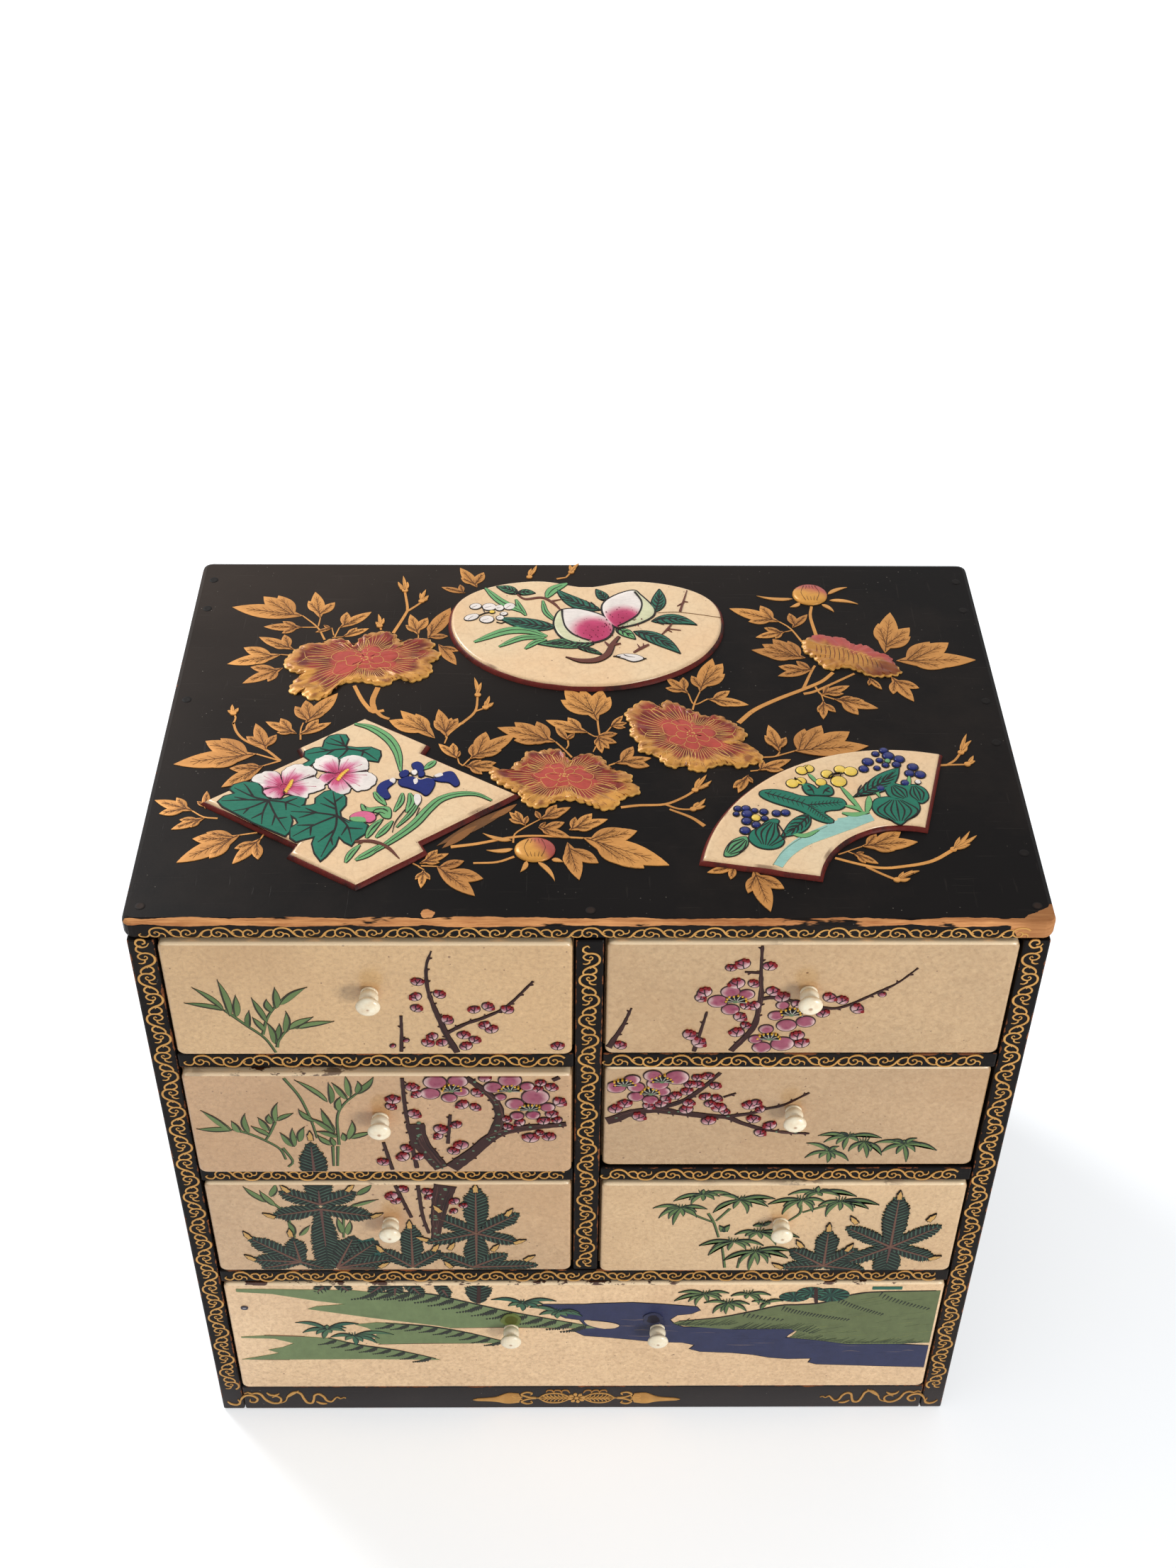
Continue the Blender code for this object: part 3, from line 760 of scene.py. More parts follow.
def ring_solid(name, rings, paint, chips=None, soft=40):
    """A closed solid through rings of points in metres, the first and last capped."""
    points = [p for ring in rings for p in ring]
    numbers = ring_numbers(rings)
    faces = [numbers[0][::-1]]
    for low, high in zip(numbers, numbers[1:]):
        faces += band(low, high)
    faces.append(numbers[-1])
    mesh = bpy.data.meshes.new(name)
    mesh.from_pydata(points, [], faces)
    mesh.materials.append(paint)
    if chips:
        layer = mesh.attributes.new("Chip", "FLOAT", "POINT")
        layer.data.foreach_set("value", [c for ring in chips for c in ring])
    shade(mesh, soft)
    mesh.polygons[-1].use_smooth = False
    return add_object(name, mesh)


def rounded_rectangle(width, height, radius, step=1.2):
    """Points round a rectangle centred on its origin, anticlockwise from the middle of its right side."""
    x, y = width / 2 - radius, height / 2 - radius
    points = []
    for turn, (cx, cy) in enumerate(((x, y), (-x, y), (-x, -y), (x, -y))):
        bends = [math.pi / 2 * (turn + k / 7) for k in range(8)]
        points += [(cx + radius * math.cos(a), cy + radius * math.sin(a)) for a in bends]
        length = (2 * x, 2 * y)[turn % 2]
        parts = max(1, round(length / step))
        a = points[-1]
        towards = ((-1, 0), (0, -1), (1, 0), (0, 1))[turn]
        points += [
            (a[0] + towards[0] * length * k / parts, a[1] + towards[1] * length * k / parts)
            for k in range(1, parts)
        ]
    return points


TILE_ROUND = 1.2
TILE_CORNER = 2.8
TILE_THICK = 5.0
TILE_TONES = dict(
    zip(
        DRAWERS,
        (
            (207, 171, 124), (192, 160, 119), (193, 155, 115), (186, 154, 116), (199, 164, 124),
            (213, 180, 137), (236, 199, 155)
        )
    )
)
TILE_CHIPS = (0.40, 0.34, 0.46, 0.34, 0.42, 0.52, 0.54)
WARMER = 1.07


def tile_box(drawer):
    low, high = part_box(f"{drawer}_tile")
    return low / MM, high / MM


def make_tile(drawer, chipped):
    """A glazed drawer tile with a rolled edge, bare clay along a share of its upper rim."""
    low, high = tile_box(drawer)
    middle = (low + high) / 2
    width, height = high.x - low.x, high.z - low.z

    outline = rounded_rectangle(width, height, TILE_CORNER, 0.7)
    layers = [(TILE_THICK, 0.0), (TILE_ROUND, 0.0)]
    layers += rolled(TILE_ROUND, 8) + [(0.0, TILE_ROUND + 1.0)]
    rings = []
    for depth, inset in layers:
        sx, sz = (width - 2 * inset) / width, (height - 2 * inset) / height
        rings.append([Vector((middle.x + u * sx, low.y + depth, middle.z + v * sz)) * MM for u, v in outline])
    stains = [(p.x * MM, p.z * MM, size) for p, size in knob_spots(drawer)]
    tone = TILE_TONES[drawer]
    paint = glaze_material(
        f"glaze_{drawer}", rgb(*tone), rgb(*(c * WARMER for c in tone)), stains, high.z * MM, chipped
    )
    tile = ring_solid(f"{drawer}_glazed_tile", rings, paint)
    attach(tile, drawer)
    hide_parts(f"{drawer}_tile")


def knob_names(drawer):
    return [
        f"{drawer}_left_knob", f"{drawer}_right_knob"
    ] if drawer == "drawer_bottom" else [f"{drawer}_knob"]


def knob_spots(drawer):
    """Where the glaze is stained round each knob, and how far."""
    sizes = {
        "drawer_middle_left": 0.0125, "drawer_lower_left": 0.014, "drawer_lower_right": 0.011,
        "drawer_upper_right": 0.0095
    }
    found = []
    for name in knob_names(drawer):
        low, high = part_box(name)
        found.append(((low + high) / 2 / MM, sizes.get(drawer, 0.008)))
    return found


KNOB_SIDES = 40
TENON_RADIUS = 1.6
# How far the knobs of the solids reach out of their tiles
KNOB_REACH = 11.7
# The knob's outline: how far out of the tile, then the radius there
KNOB_PROFILE = pts(
    "0,2.9 0.4,3.15 0.8,3.1 1.0,2.7 1.2,2.75 1.6,3.15 2.2,3.4 2.9,3.5 3.6,3.4 4.2,3.05 4.7,2.6 5.0,2.4 "
    "5.2,2.65 5.5,3.3 5.9,3.9 6.4,4.25 6.9,4.4 7.3,4.3 7.7,3.95 8.1,3.3 8.4,2.4 8.6,1.4 8.68,0.7"
)


def make_knob(name, body, paint):
    """A turned knob on a tenon: a thin foot, a round bulb and a flat button head."""
    low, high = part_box(name)
    x, z = (low.x + high.x) / 2 / MM, (low.z + high.z) / 2 / MM
    face = low.y / MM + KNOB_REACH
    profile = [
        (high.y / MM, TENON_RADIUS), (face - 0.05, TENON_RADIUS)
    ] + [(face - out, r) for out, r in KNOB_PROFILE]
    turns = [2 * math.pi * k / KNOB_SIDES for k in range(KNOB_SIDES)]
    rings = []
    for y, r in profile:
        rings.append([Vector((x + r * math.cos(t), y, z + r * math.sin(t))) * MM for t in turns])
    knob = ring_solid(f"{name}_turned", rings, paint, soft=50)
    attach(knob, body)
    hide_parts(name)


def peach_outline(parts=150):
    """A broad fruit: half an oval below, a squarer half with a dip in its middle above."""
    centre, half_width, upper, lower = 63.0, 54.8, 28.3, 42.5
    dip, dip_width, squareness = 5.5, 13.0, 2 / 2.6
    points = []
    for i in range(parts):
        turn = 2 * math.pi * i / parts
        x, y = math.cos(turn), math.sin(turn)
        if y < 0:
            points.append((x * half_width, y * lower))
            continue
        x = math.copysign(abs(x) ** squareness, x)
        y = y ** squareness
        points.append((x * half_width, y * upper - dip * math.exp(-((x * half_width / dip_width) ** 2))))
    return [(x, centre + y) for x, y in points]


def lozenge_outline():
    """A lozenge with a step in each of its sides."""
    half_width, half_height, step_at, step_depth = 56.2, 45.0, 23.5, 6.4
    slope = (half_height - step_depth) / half_width
    inner_x = step_at - step_depth * slope / 2
    corner = [(step_at, half_height - slope * step_at), (inner_x, slope * (half_width - inner_x))]
    points = [(0.0, half_height)] + [(-x, y) for x, y in corner] + [(-half_width, 0.0)]
    points += [(-x, -y) for x, y in reversed(corner)] + [(0.0, -half_height)]
    points += [(x, -y) for x, y in corner] + [(half_width, 0.0)] + list(reversed(corner))
    turn, (centre_x, centre_y) = math.radians(2.2), (-83.3, -44.7)
    c, s = math.cos(turn), math.sin(turn)
    return [(centre_x + x * c - y * s, centre_y + x * s + y * c) for x, y in points]


def fan_outline(parts=34):
    """A fan's leaf, between two arcs about one point."""
    start, sweep, outer, inner, (x, y) = 75, 94, 74.0, 32.5, (112.7, -91.4)
    turns = [math.radians(start + sweep * i / parts) for i in range(parts + 1)]
    arcs = [(outer, t) for t in turns] + [(inner, t) for t in reversed(turns)]
    return [(x + r * math.cos(t), y + r * math.sin(t)) for r, t in arcs]


def divided(outline, counts):
    """An outline with each side cut into a number of parts."""
    points = []
    for a, b, parts in zip(outline, outline[1:] + outline[:1], counts):
        points += [Vector(a).lerp(Vector(b), k / parts) for k in range(parts)]
    return points


PLAQUES = {"peach": peach_outline(), "lozenge": lozenge_outline(), "fan": fan_outline()}
PLAQUE_ROUND = 1.2


def make_plaque(label, lacquer):
    """A glazed tile in the top, and the lip of brown lacquer that holds it."""
    shape = PLAQUES[label]
    counts = [max(1, round(math.dist(a, b) / 2.2)) for a, b in zip(shape, shape[1:] + shape[:1])]
    outline = divided(shape, counts)
    node_name = f"{label}_plaque"
    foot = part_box(node_name)[0].z / MM
    place = top_place(0.0)
    layers = [(foot, 0.0), (PLAQUE_FACE - PLAQUE_ROUND, 0.0)]
    layers += [(PLAQUE_FACE - depth, inset) for depth, inset in rolled(PLAQUE_ROUND, 5)]
    chip = [max(0.0, waver(p, 0.09, 3.0 + len(label)) - 0.12) for p in outline]
    chip = [
        ease(0.0, 0.3, c) * (
            0.2 + 0.35 * ease(0.2, -0.3, (p[1] - 63 if label == "peach" else p[1] + 45) / 40)
        ) for c,
        p in zip(chip, outline)
    ]
    rings, chips = [], []
    for z, inset in layers:
        ring = divided(grown(shape, -inset), counts)
        raised = z > PLAQUE_FACE - PLAQUE_ROUND + 0.01 and inset < PLAQUE_ROUND - 0.01
        rings.append([place(p.x, p.y, z - (0.28 * c if raised else 0.0)) for p, c in zip(ring, chip)])
        chips.append([ease(0.3, 0.7, c) if raised else 0.0 for c in chip])
    paint = glaze_material(f"glaze_{label}", rgb(255, 207, 158), rgb(255, 222, 180), [], None, grime=0.4)
    plaque = ring_solid(f"{label}_glazed_plaque", rings, paint, chips)
    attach(plaque, "carcass")
    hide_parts(node_name)

    section = [(1.25, -0.1), (1.15, 0.3), (0.8, 0.85), (0.5, 1.3), (0.2, 1.5), (-0.1, 1.55), (-0.1, -0.1)]
    loops = []
    for out, up in section:
        ring = divided(grown(shape, out), counts)
        loops.append([place(p.x, p.y, TOP + up * (1 + 0.14 * waver(p, 0.12, 1.0))) for p in ring])
    numbers, faces = ring_numbers(loops), []
    for low, high in zip(numbers, numbers[1:] + numbers[:1]):
        faces += band(low, high)
    mesh = bpy.data.meshes.new(f"{label}_lip")
    mesh.from_pydata([p for loop in loops for p in loop], [], faces)
    mesh.materials.append(lacquer)
    shade(mesh, SHARP_TURN)
    lip = add_object(f"{label}_lacquer_lip", mesh)
    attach(lip, "carcass")


def lip_material(name):
    """Brown-red lacquer, rubbed through to black in patches."""
    made, tree, shader = material(name, 0.4, 0.14)
    vector = where(tree)
    cloud = grain(tree, vector, 70.0, 5.0, 0.65)
    fine = grain(tree, vector, 600.0, 4.0, 0.65)
    colour = mix(tree, fine, rgb(72, 24, 20), rgb(128, 46, 38))
    colour = mix(tree, ramp(tree, cloud, (0.52, 0.0), (0.62, 0.8)), colour, rgb(34, 26, 24))
    tree.links.new(colour, shader.inputs["Base Color"])
    tree.links.new(plus(tree, times(tree, fine, 0.3), 0.25), shader.inputs["Roughness"])
    set_bump(tree, shader, fine, 0.4)
    return made


# Gold scrollwork on the front edges

GOLD = rgb(200, 150, 82, 1.05)
GOLD_DEEP = rgb(168, 118, 58, 1.05)
HALF_WAVE = 10.6
SCROLL_LINES = (
    (
        pts(
            "2.1,0.05 1.5,-0.25 2.2,-0.75 3.3,-0.3 3.2,0.9 1.8,1.6 0.4,0.85 0,-0.5 0.55,-1.65 2.1,-2.4 "
            "4.3,-2.35 5.9,-1.4 7.1,0.2 8.6,1.35 10.2,1.6 10.9,0.9"
        ),
        (0.4, 0.55, 0.62, 0.7, 0.75, 0.78, 0.75, 0.5), 0.55
    ),
    (pts("0.15,-0.1 -0.2,0.75 -1.25,1.65 -2.85,1.5 -3.7,0.6 -2.9,0.1"), (0.6, 0.68, 0.68, 0.62, 0.36), 0.5),
    (pts("3.2,0.1 4.5,0.05 5.3,0.8 5.2,1.7"), (0.55, 0.62, 0.55, 0.32), 0.5)
)


def scroll(relief, start, end, flip=1, tall=1.25, thick=1.0):
    """A running scroll between two points: curls that turn up and down by turns, each growing into the
    next."""
    start, end = Vector(start), Vector(end)
    along = (end - start).normalized()
    across = left_of(along)
    waves = max(1, round((end - start).length / HALF_WAVE))
    pitch = (end - start).length / waves / HALF_WAVE
    draw = random.Random(f"{start}{end}")
    for k in range(waves):
        side = flip if k % 2 else -flip
        s0 = (k + 0.25) * HALF_WAVE + draw.uniform(-0.15, 0.15)
        tone = blend(GOLD, GOLD_DEEP, draw.uniform(0.0, 0.35))
        if k % 3 == 0:
            relief.step()
        for j, (line, widths, step) in enumerate(SCROLL_LINES):
            if k == waves - 1 and j == 0:
                line, widths = line[:12], widths[:6]
            where_to = [start + along * ((s0 + s) * pitch) + across * (side * n * tall) for s, n in line]
            relief.ribbon(where_to, [w * thick for w in widths], 0.10 + 0.01 * j, tone, step)


def corner_curl(relief, x, z, turn):
    size, c, s = 2.0, math.cos(turn), math.sin(turn)
    data = [
        (1.0, -0.7), (0.1, -1.05), (-0.9, -0.6), (-1.0, 0.5), (-0.1, 1.0), (0.7, 0.4), (0.5, -0.3),
        (-0.1, -0.2)
    ]
    relief.ribbon(
        [(x + size * (u * c - v * s), z + size * (u * s + v * c)) for u, v in data], (0.4, 0.75, 0.8, 0.6),
        0.11, GOLD, 0.5
    )


BASE_LEFT = rows("""
-157.5,6.2 -155.5,4.0 -152.5,3.4 -150.6,5.4 -151.6,8.0
-151.0,3.6 -149.5,8.6 -146.4,11.6 -142.6,11.0 -140.6,8.2 -142.4,5.6 -145.0,6.2 -144.6,8.3
-147.4,13.2 -145.4,14.2 -143.4,13.0 -141.0,13.6 -138.4,12.4 -136.0,7.6 -132.4,4.8 -128.8,5.2 -127.6,8.4
 -129.8,10.8 -132.4,9.8
-135.0,14.0 -133.4,12.0 -130.6,11.6 -128.2,13.2
-128.6,4.8 -125.4,6.6 -123.2,11.6 -119.6,14.4 -116.4,13.0 -115.0,8.6 -113.4,5.2 -110.8,5.0 -109.6,8.0
 -108.8,11.6 -106.4,12.6 -104.0,10.4 -102.4,6.8 -100.0,6.0 -98.2,8.2 -96.6,10.0 -94.8,8.6 -93.2,9.6
 -91.8,9.0
-124.6,9.6 -121.2,12.4 -117.4,15.4
-108.4,6.2 -105.8,4.4 -102.6,4.2
""")


def base_ornament(relief):
    """Flourishes at the ends of the base rail, and feathered leaves about a flower in its middle."""
    for sign in (1, -1):
        for line in BASE_LEFT:
            relief.ribbon(
                [(sign * (-158.0 + (x + 158.0) * 0.8), z * 0.92 + 0.6) for x, z in line],
                (0.4, 1.0, 1.1, 1.0, 0.4), 0.12, GOLD if sign > 0 else blend(GOLD, GOLD_DEEP, 0.4), 0.8
            )
    middle = -3.0
    for sign in (1, -1):
        u = lambda x: middle + sign * x
        for k in range(17):
            t = k / 16
            tip = (u(46 - 3.5 * abs(t - 0.45)), 7.4 + (t - 0.5) * 1.5)
            relief.ribbon(
                [
                    (u(24.5 + 2.0 * abs(t - 0.5)), 8.6 + (t - 0.5) * 6.6), (u(30.5), 8.4 + (t - 0.5) * 7.8),
                    (u(36.0), 7.6 + (t - 0.5) * 3.2), tip
                ],
                (0.5, 0.5, 0.35, 0.15), 0.1, blend(GOLD, GOLD_DEEP, t * 0.6), 1.6
            )
        for up in (1, -1):
            v = lambda z: 8.6 + up * z
            relief.ribbon(
                [
                    (u(18.0), v(0.2)), (u(21.5), v(0.8)), (u(24.4), v(2.8)), (u(22.2), v(4.6)),
                    (u(19.6), v(3.8)), (u(20.4), v(2.6))
                ],
                (0.8, 0.9, 0.8, 0.5), 0.13, GOLD, 0.6
            )
            relief.ribbon(
                [(u(24.0), v(1.0)), (u(27.4), v(0.5)), (u(28.4), v(1.7)), (u(26.8), v(2.3))],
                (0.7, 0.7, 0.4), 0.13, GOLD, 0.6
            )
            relief.ribbon(
                [(u(17.0), v(0.0)), (u(13.0), v(3.3)), (u(7.6), v(3.5)), (u(3.4), v(1.2))],
                (0.35, 0.8, 0.8, 0.4), 0.12, GOLD, 1.0
            )
            for k in range(7):
                x = 15.0 - 1.7 * k
                relief.ribbon(
                    [(u(x - 2.2), v(0.15)), (u(x - 0.5), v(1.3)), (u(x), v(2.7 if 0 < k < 6 else 1.7))],
                    (0.35, 0.6, 0.35), 0.12, GOLD, 0.9
                )
        relief.ribbon([(u(18.5), 8.6), (u(10.0), 8.6), (u(2.4), 8.6)], (0.5, 0.5, 0.3), 0.12, GOLD, 2.0)
    for k in range(8):
        turn = math.pi * k / 4 + 0.2
        c, s = math.cos(turn), math.sin(turn)
        relief.shell(
            leaf_outline(
                (middle + 1.2 * c, 8.6 + 1.2 * s), (middle + 4.0 * c, 8.6 + 4.0 * s), 1.9, 0, 0.62, 6
            ),
            0.13, GOLD
        )
    relief.shell(circle(middle, 8.6, 1.0), 0.16, GOLD)
    for sign in (1, -1):
        for k in range(3):
            x = middle + sign * (3 + 3.4 * k)
            relief.ribbon(
                [(x, 12.6), (x + sign * 1.0, 14.6), (x + sign * 3.0, 14.8), (x + sign * 3.6, 13.4)],
                (0.4, 0.75, 0.7, 0.4), 0.12, GOLD_DEEP, 0.7
            )


def band_ground(u, v):
    """How the top board's front falls away at its rounded arrises."""
    arris = 2.0
    inset = max(0.0, arris - min(v - UNDER_TOP, TOP - v))
    return math.sqrt(max(0.0, arris * arris - inset * inset)) - arris


def make_scrolls(paint):
    """Scrolls on the stiles, the middle post, the shelves' edges, the base rail and the edge of the top."""
    relief = Relief(front_place(FRONT))
    stile, stile_top, stile_foot, post_foot = 154.8, 296.0, 14.0, 105.5
    inner, outer, half_shelves, full_shelf = 6.5, 147.0, (236.3, 168.7), 101.1
    upright = dict(tall=1.42, thick=1.15)
    for x, flip in ((-stile, 1), (stile, -1)):
        scroll(relief, (x, stile_top), (x, stile_foot), flip, **upright)
        corner_curl(relief, x, 298.4, 0.6)
    scroll(relief, (0.0, stile_top), (0.0, post_foot), **upright)
    for z in half_shelves:
        for start, end in ((-outer, -inner), (inner, outer)):
            scroll(relief, (start, z), (end, z))
    scroll(relief, (-outer, full_shelf), (outer, full_shelf))
    base_ornament(relief)
    relief.build("front_gold_scrolls", paint, "carcass", "black_lacquer")
    band = Relief(front_place(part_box("top_board")[0].y / MM), band_ground)
    scroll(band, (-154.0, 303.2), (154.0, 303.2), tall=1.12)
    band.build("top_band_gold_scroll", paint, "carcass", "black_lacquer")


# Gold foliage on the top. Each row of leaves is base, tip, then the tips of its side lobes.

GOLD_LEAVES = rows("""
-115.6,68.2 -145,74 -133,81.3 -127,82 -131,68.6
-108.3,66.6 -112,84.6 -114.3,78.4 -103.3,77.4
-100,60.2 -87.8,70.9 -97.8,70.7 -92.8,64.3
-115,60.4 -130.6,60.7 -123.3,64.3 -122.8,56.3
-103,60 -109.4,57.1 -106.5,61.8
-98.3,54.1 -88,59.7 -92.8,60.2
-117,45.8 -131.7,53.8 -121.7,55.4 -126,48.2
-121.7,42.4 -142.2,36.2 -137,46.8 -132.8,36.3
-120,33.8 -134.7,24 -132.8,34.3 -125,25.1
-67.8,55.4 -71.9,69.3 -73.3,62 -64.7,67
-63.9,53.2 -55.6,73.8 -62.5,64 -55.8,54.7
-59.4,49.3 -51.7,36 -51.3,44.9
-107.8,0 -97,18 -112.8,9.9 -109,13.5 -100.6,7.1
-50,84.2 -60,88.2 -52.4,90
-45.2,88.2 -52.8,102 -42.8,98.8 -52.2,94.9
-58,-9 -72,7.4 -66,5.5 -76,1.5
-53.4,-8.4 -57.4,8.2 -49.8,2.8 -58.8,1.4 -52.2,3
3.9,1 -2.5,21.4 -10.3,14 -8.9,20.4 5.6,20.4 8.9,16
8.8,-2.2 13.6,4.6 15,0.2 14.4,-2.6
43.9,19.3 50,40.4 41.1,29.3 53.9,37.1 54.4,30.4
39.4,18.2 31.1,28.2 30.6,21.6 37.8,28.2
46.7,14.9 62.4,11.3 55.6,19.9 55,10.4
78.7,64.9 58.9,73.8 71.7,75.8 66.1,64.9
83.6,60.8 90.6,69.9 83.2,70.6
80.6,58.2 68.3,54.3 72.2,60.7 76.1,53.6
87.2,41 66.1,46 70.6,49.7 75,53.2 81,52 72.2,41.6
89.4,33.8 75.3,29.3 76,35.4 83.3,38.8
119.4,44.3 124.7,71.3 118.9,63.8 131.4,61 131,55
123.3,39.3 155,39.9 138.3,51.6 145.8,51 142.2,34.9
120,28.8 126.9,13.6 130,21.9 119.4,18.2
91.1,17.7 102.8,23.2 94.4,23.2 100,18.2
96.1,14.9 112.4,9.3 103.3,16.3 107.6,14 104.4,5.4
91.7,13.8 90.6,2.7 88.9,7 95.8,7
-124.4,-18.3 -154.4,-24.4 -144.4,-11 -138.9,-9.4 -141,-26
-121,-16 -126.7,-0.6 -129.4,-8.3 -118,-7.2
-110.5,-6.5 -123,0.5 -117.5,2.5 -118,-6
-109.5,-7 -98,0 -103,2
-121,-25 -135,-37.2 -133.3,-26.7 -128.3,-24.7 -128.3,-34.4
-143.9,-50 -158.3,-44.4 -150.6,-43 -155.6,-51.7
-138.9,-53.9 -150,-60 -147.8,-55 -143.3,-58.9
-139.4,-48.9 -140,-39.4 -142.8,-45
-125,-62.8 -145.6,-77.2 -141.7,-65 -137.2,-61.7 -134.4,-75
-117.4,-64.7 -125.9,-77.8 -126.1,-70 -117.2,-75.6
-58.3,-80.6 -58.9,-89.8 -61.1,-85.6 -55.9,-85.6
-60,-77.5 -50,-72.5 -54,-70.5 -53,-77
-44.4,-21 -27.6,-6.6 -38.8,-5.4 -43.6,-12.6 -32.6,-16 -38,-19.4
-48.8,-20.8 -56.4,-12.4 -51,-12 -48.2,-16.6
-46.2,-25 -33,-27 -34.4,-23.2 -40,-21.8 -39.4,-29.8
-12.2,-11.1 -34.4,-2.8 -28,0.3 -19.5,0.8 -28,-10.3 -22.8,-11
0,-5.6 -16,1.6 -7.6,3.3 -10.4,-3.8 -5,-4.6
-7.6,-10.2 -12.4,-1.8 -5,-6.2
3.8,-7.8 5.2,-17.6 2.6,-12.6 11.2,-6.2 10.8,-11.6 8,-15
10,-23.3 23.6,-20.4 17,-13.9 22.8,-25
-22.8,-57.8 -28.9,-50.6 -26.7,-50 -22.2,-52.8 -28.9,-54.4
-17.8,-54.4 -6.7,-48 -19.4,-50 -11.7,-46.7 -10,-52.2
-18.3,-58.7 -6.7,-64.2 -15.6,-56.1 -8.9,-56.1 -13.9,-62.8
-7.2,-60 6.7,-54.4 -5,-53.3 1.1,-51.4 1.1,-59.4
-2.2,-64.2 28.1,-78.3 17.2,-60.6 11.7,-59.2 13,-78.3 19.2,-79.8
-7.8,-66.7 -3.7,-85.8 3.1,-77.2 -7.4,-79.8
-53.9,-78.9 -40,-93.7 -44.4,-76.3 -37.4,-85.2 -47.4,-87.8
52,-79 41.4,-82 49.4,-85.3
72.2,-16.7 69.1,-1.1 67.2,-7.2 75.3,-8.3
77.8,-16.1 106.1,-13.3 82.8,-3.3 89.4,-1.3 99.8,-5
63.3,-27.2 76,-21.2 65.6,-21.7 72.8,-27.2
59.4,-30 55,-40 53.3,-37.2 60.8,-34.4
97.4,-68.4 117.6,-66.2 103.3,-62.2 112.2,-61.1 108.9,-70.6
93.9,-72.2 102.2,-77.4 97.8,-71.7 97.8,-77.2
57.8,-80.6 62.2,-101.3 67.8,-90 55,-92.2
111,28 115.3,21 110.5,23.5
""")
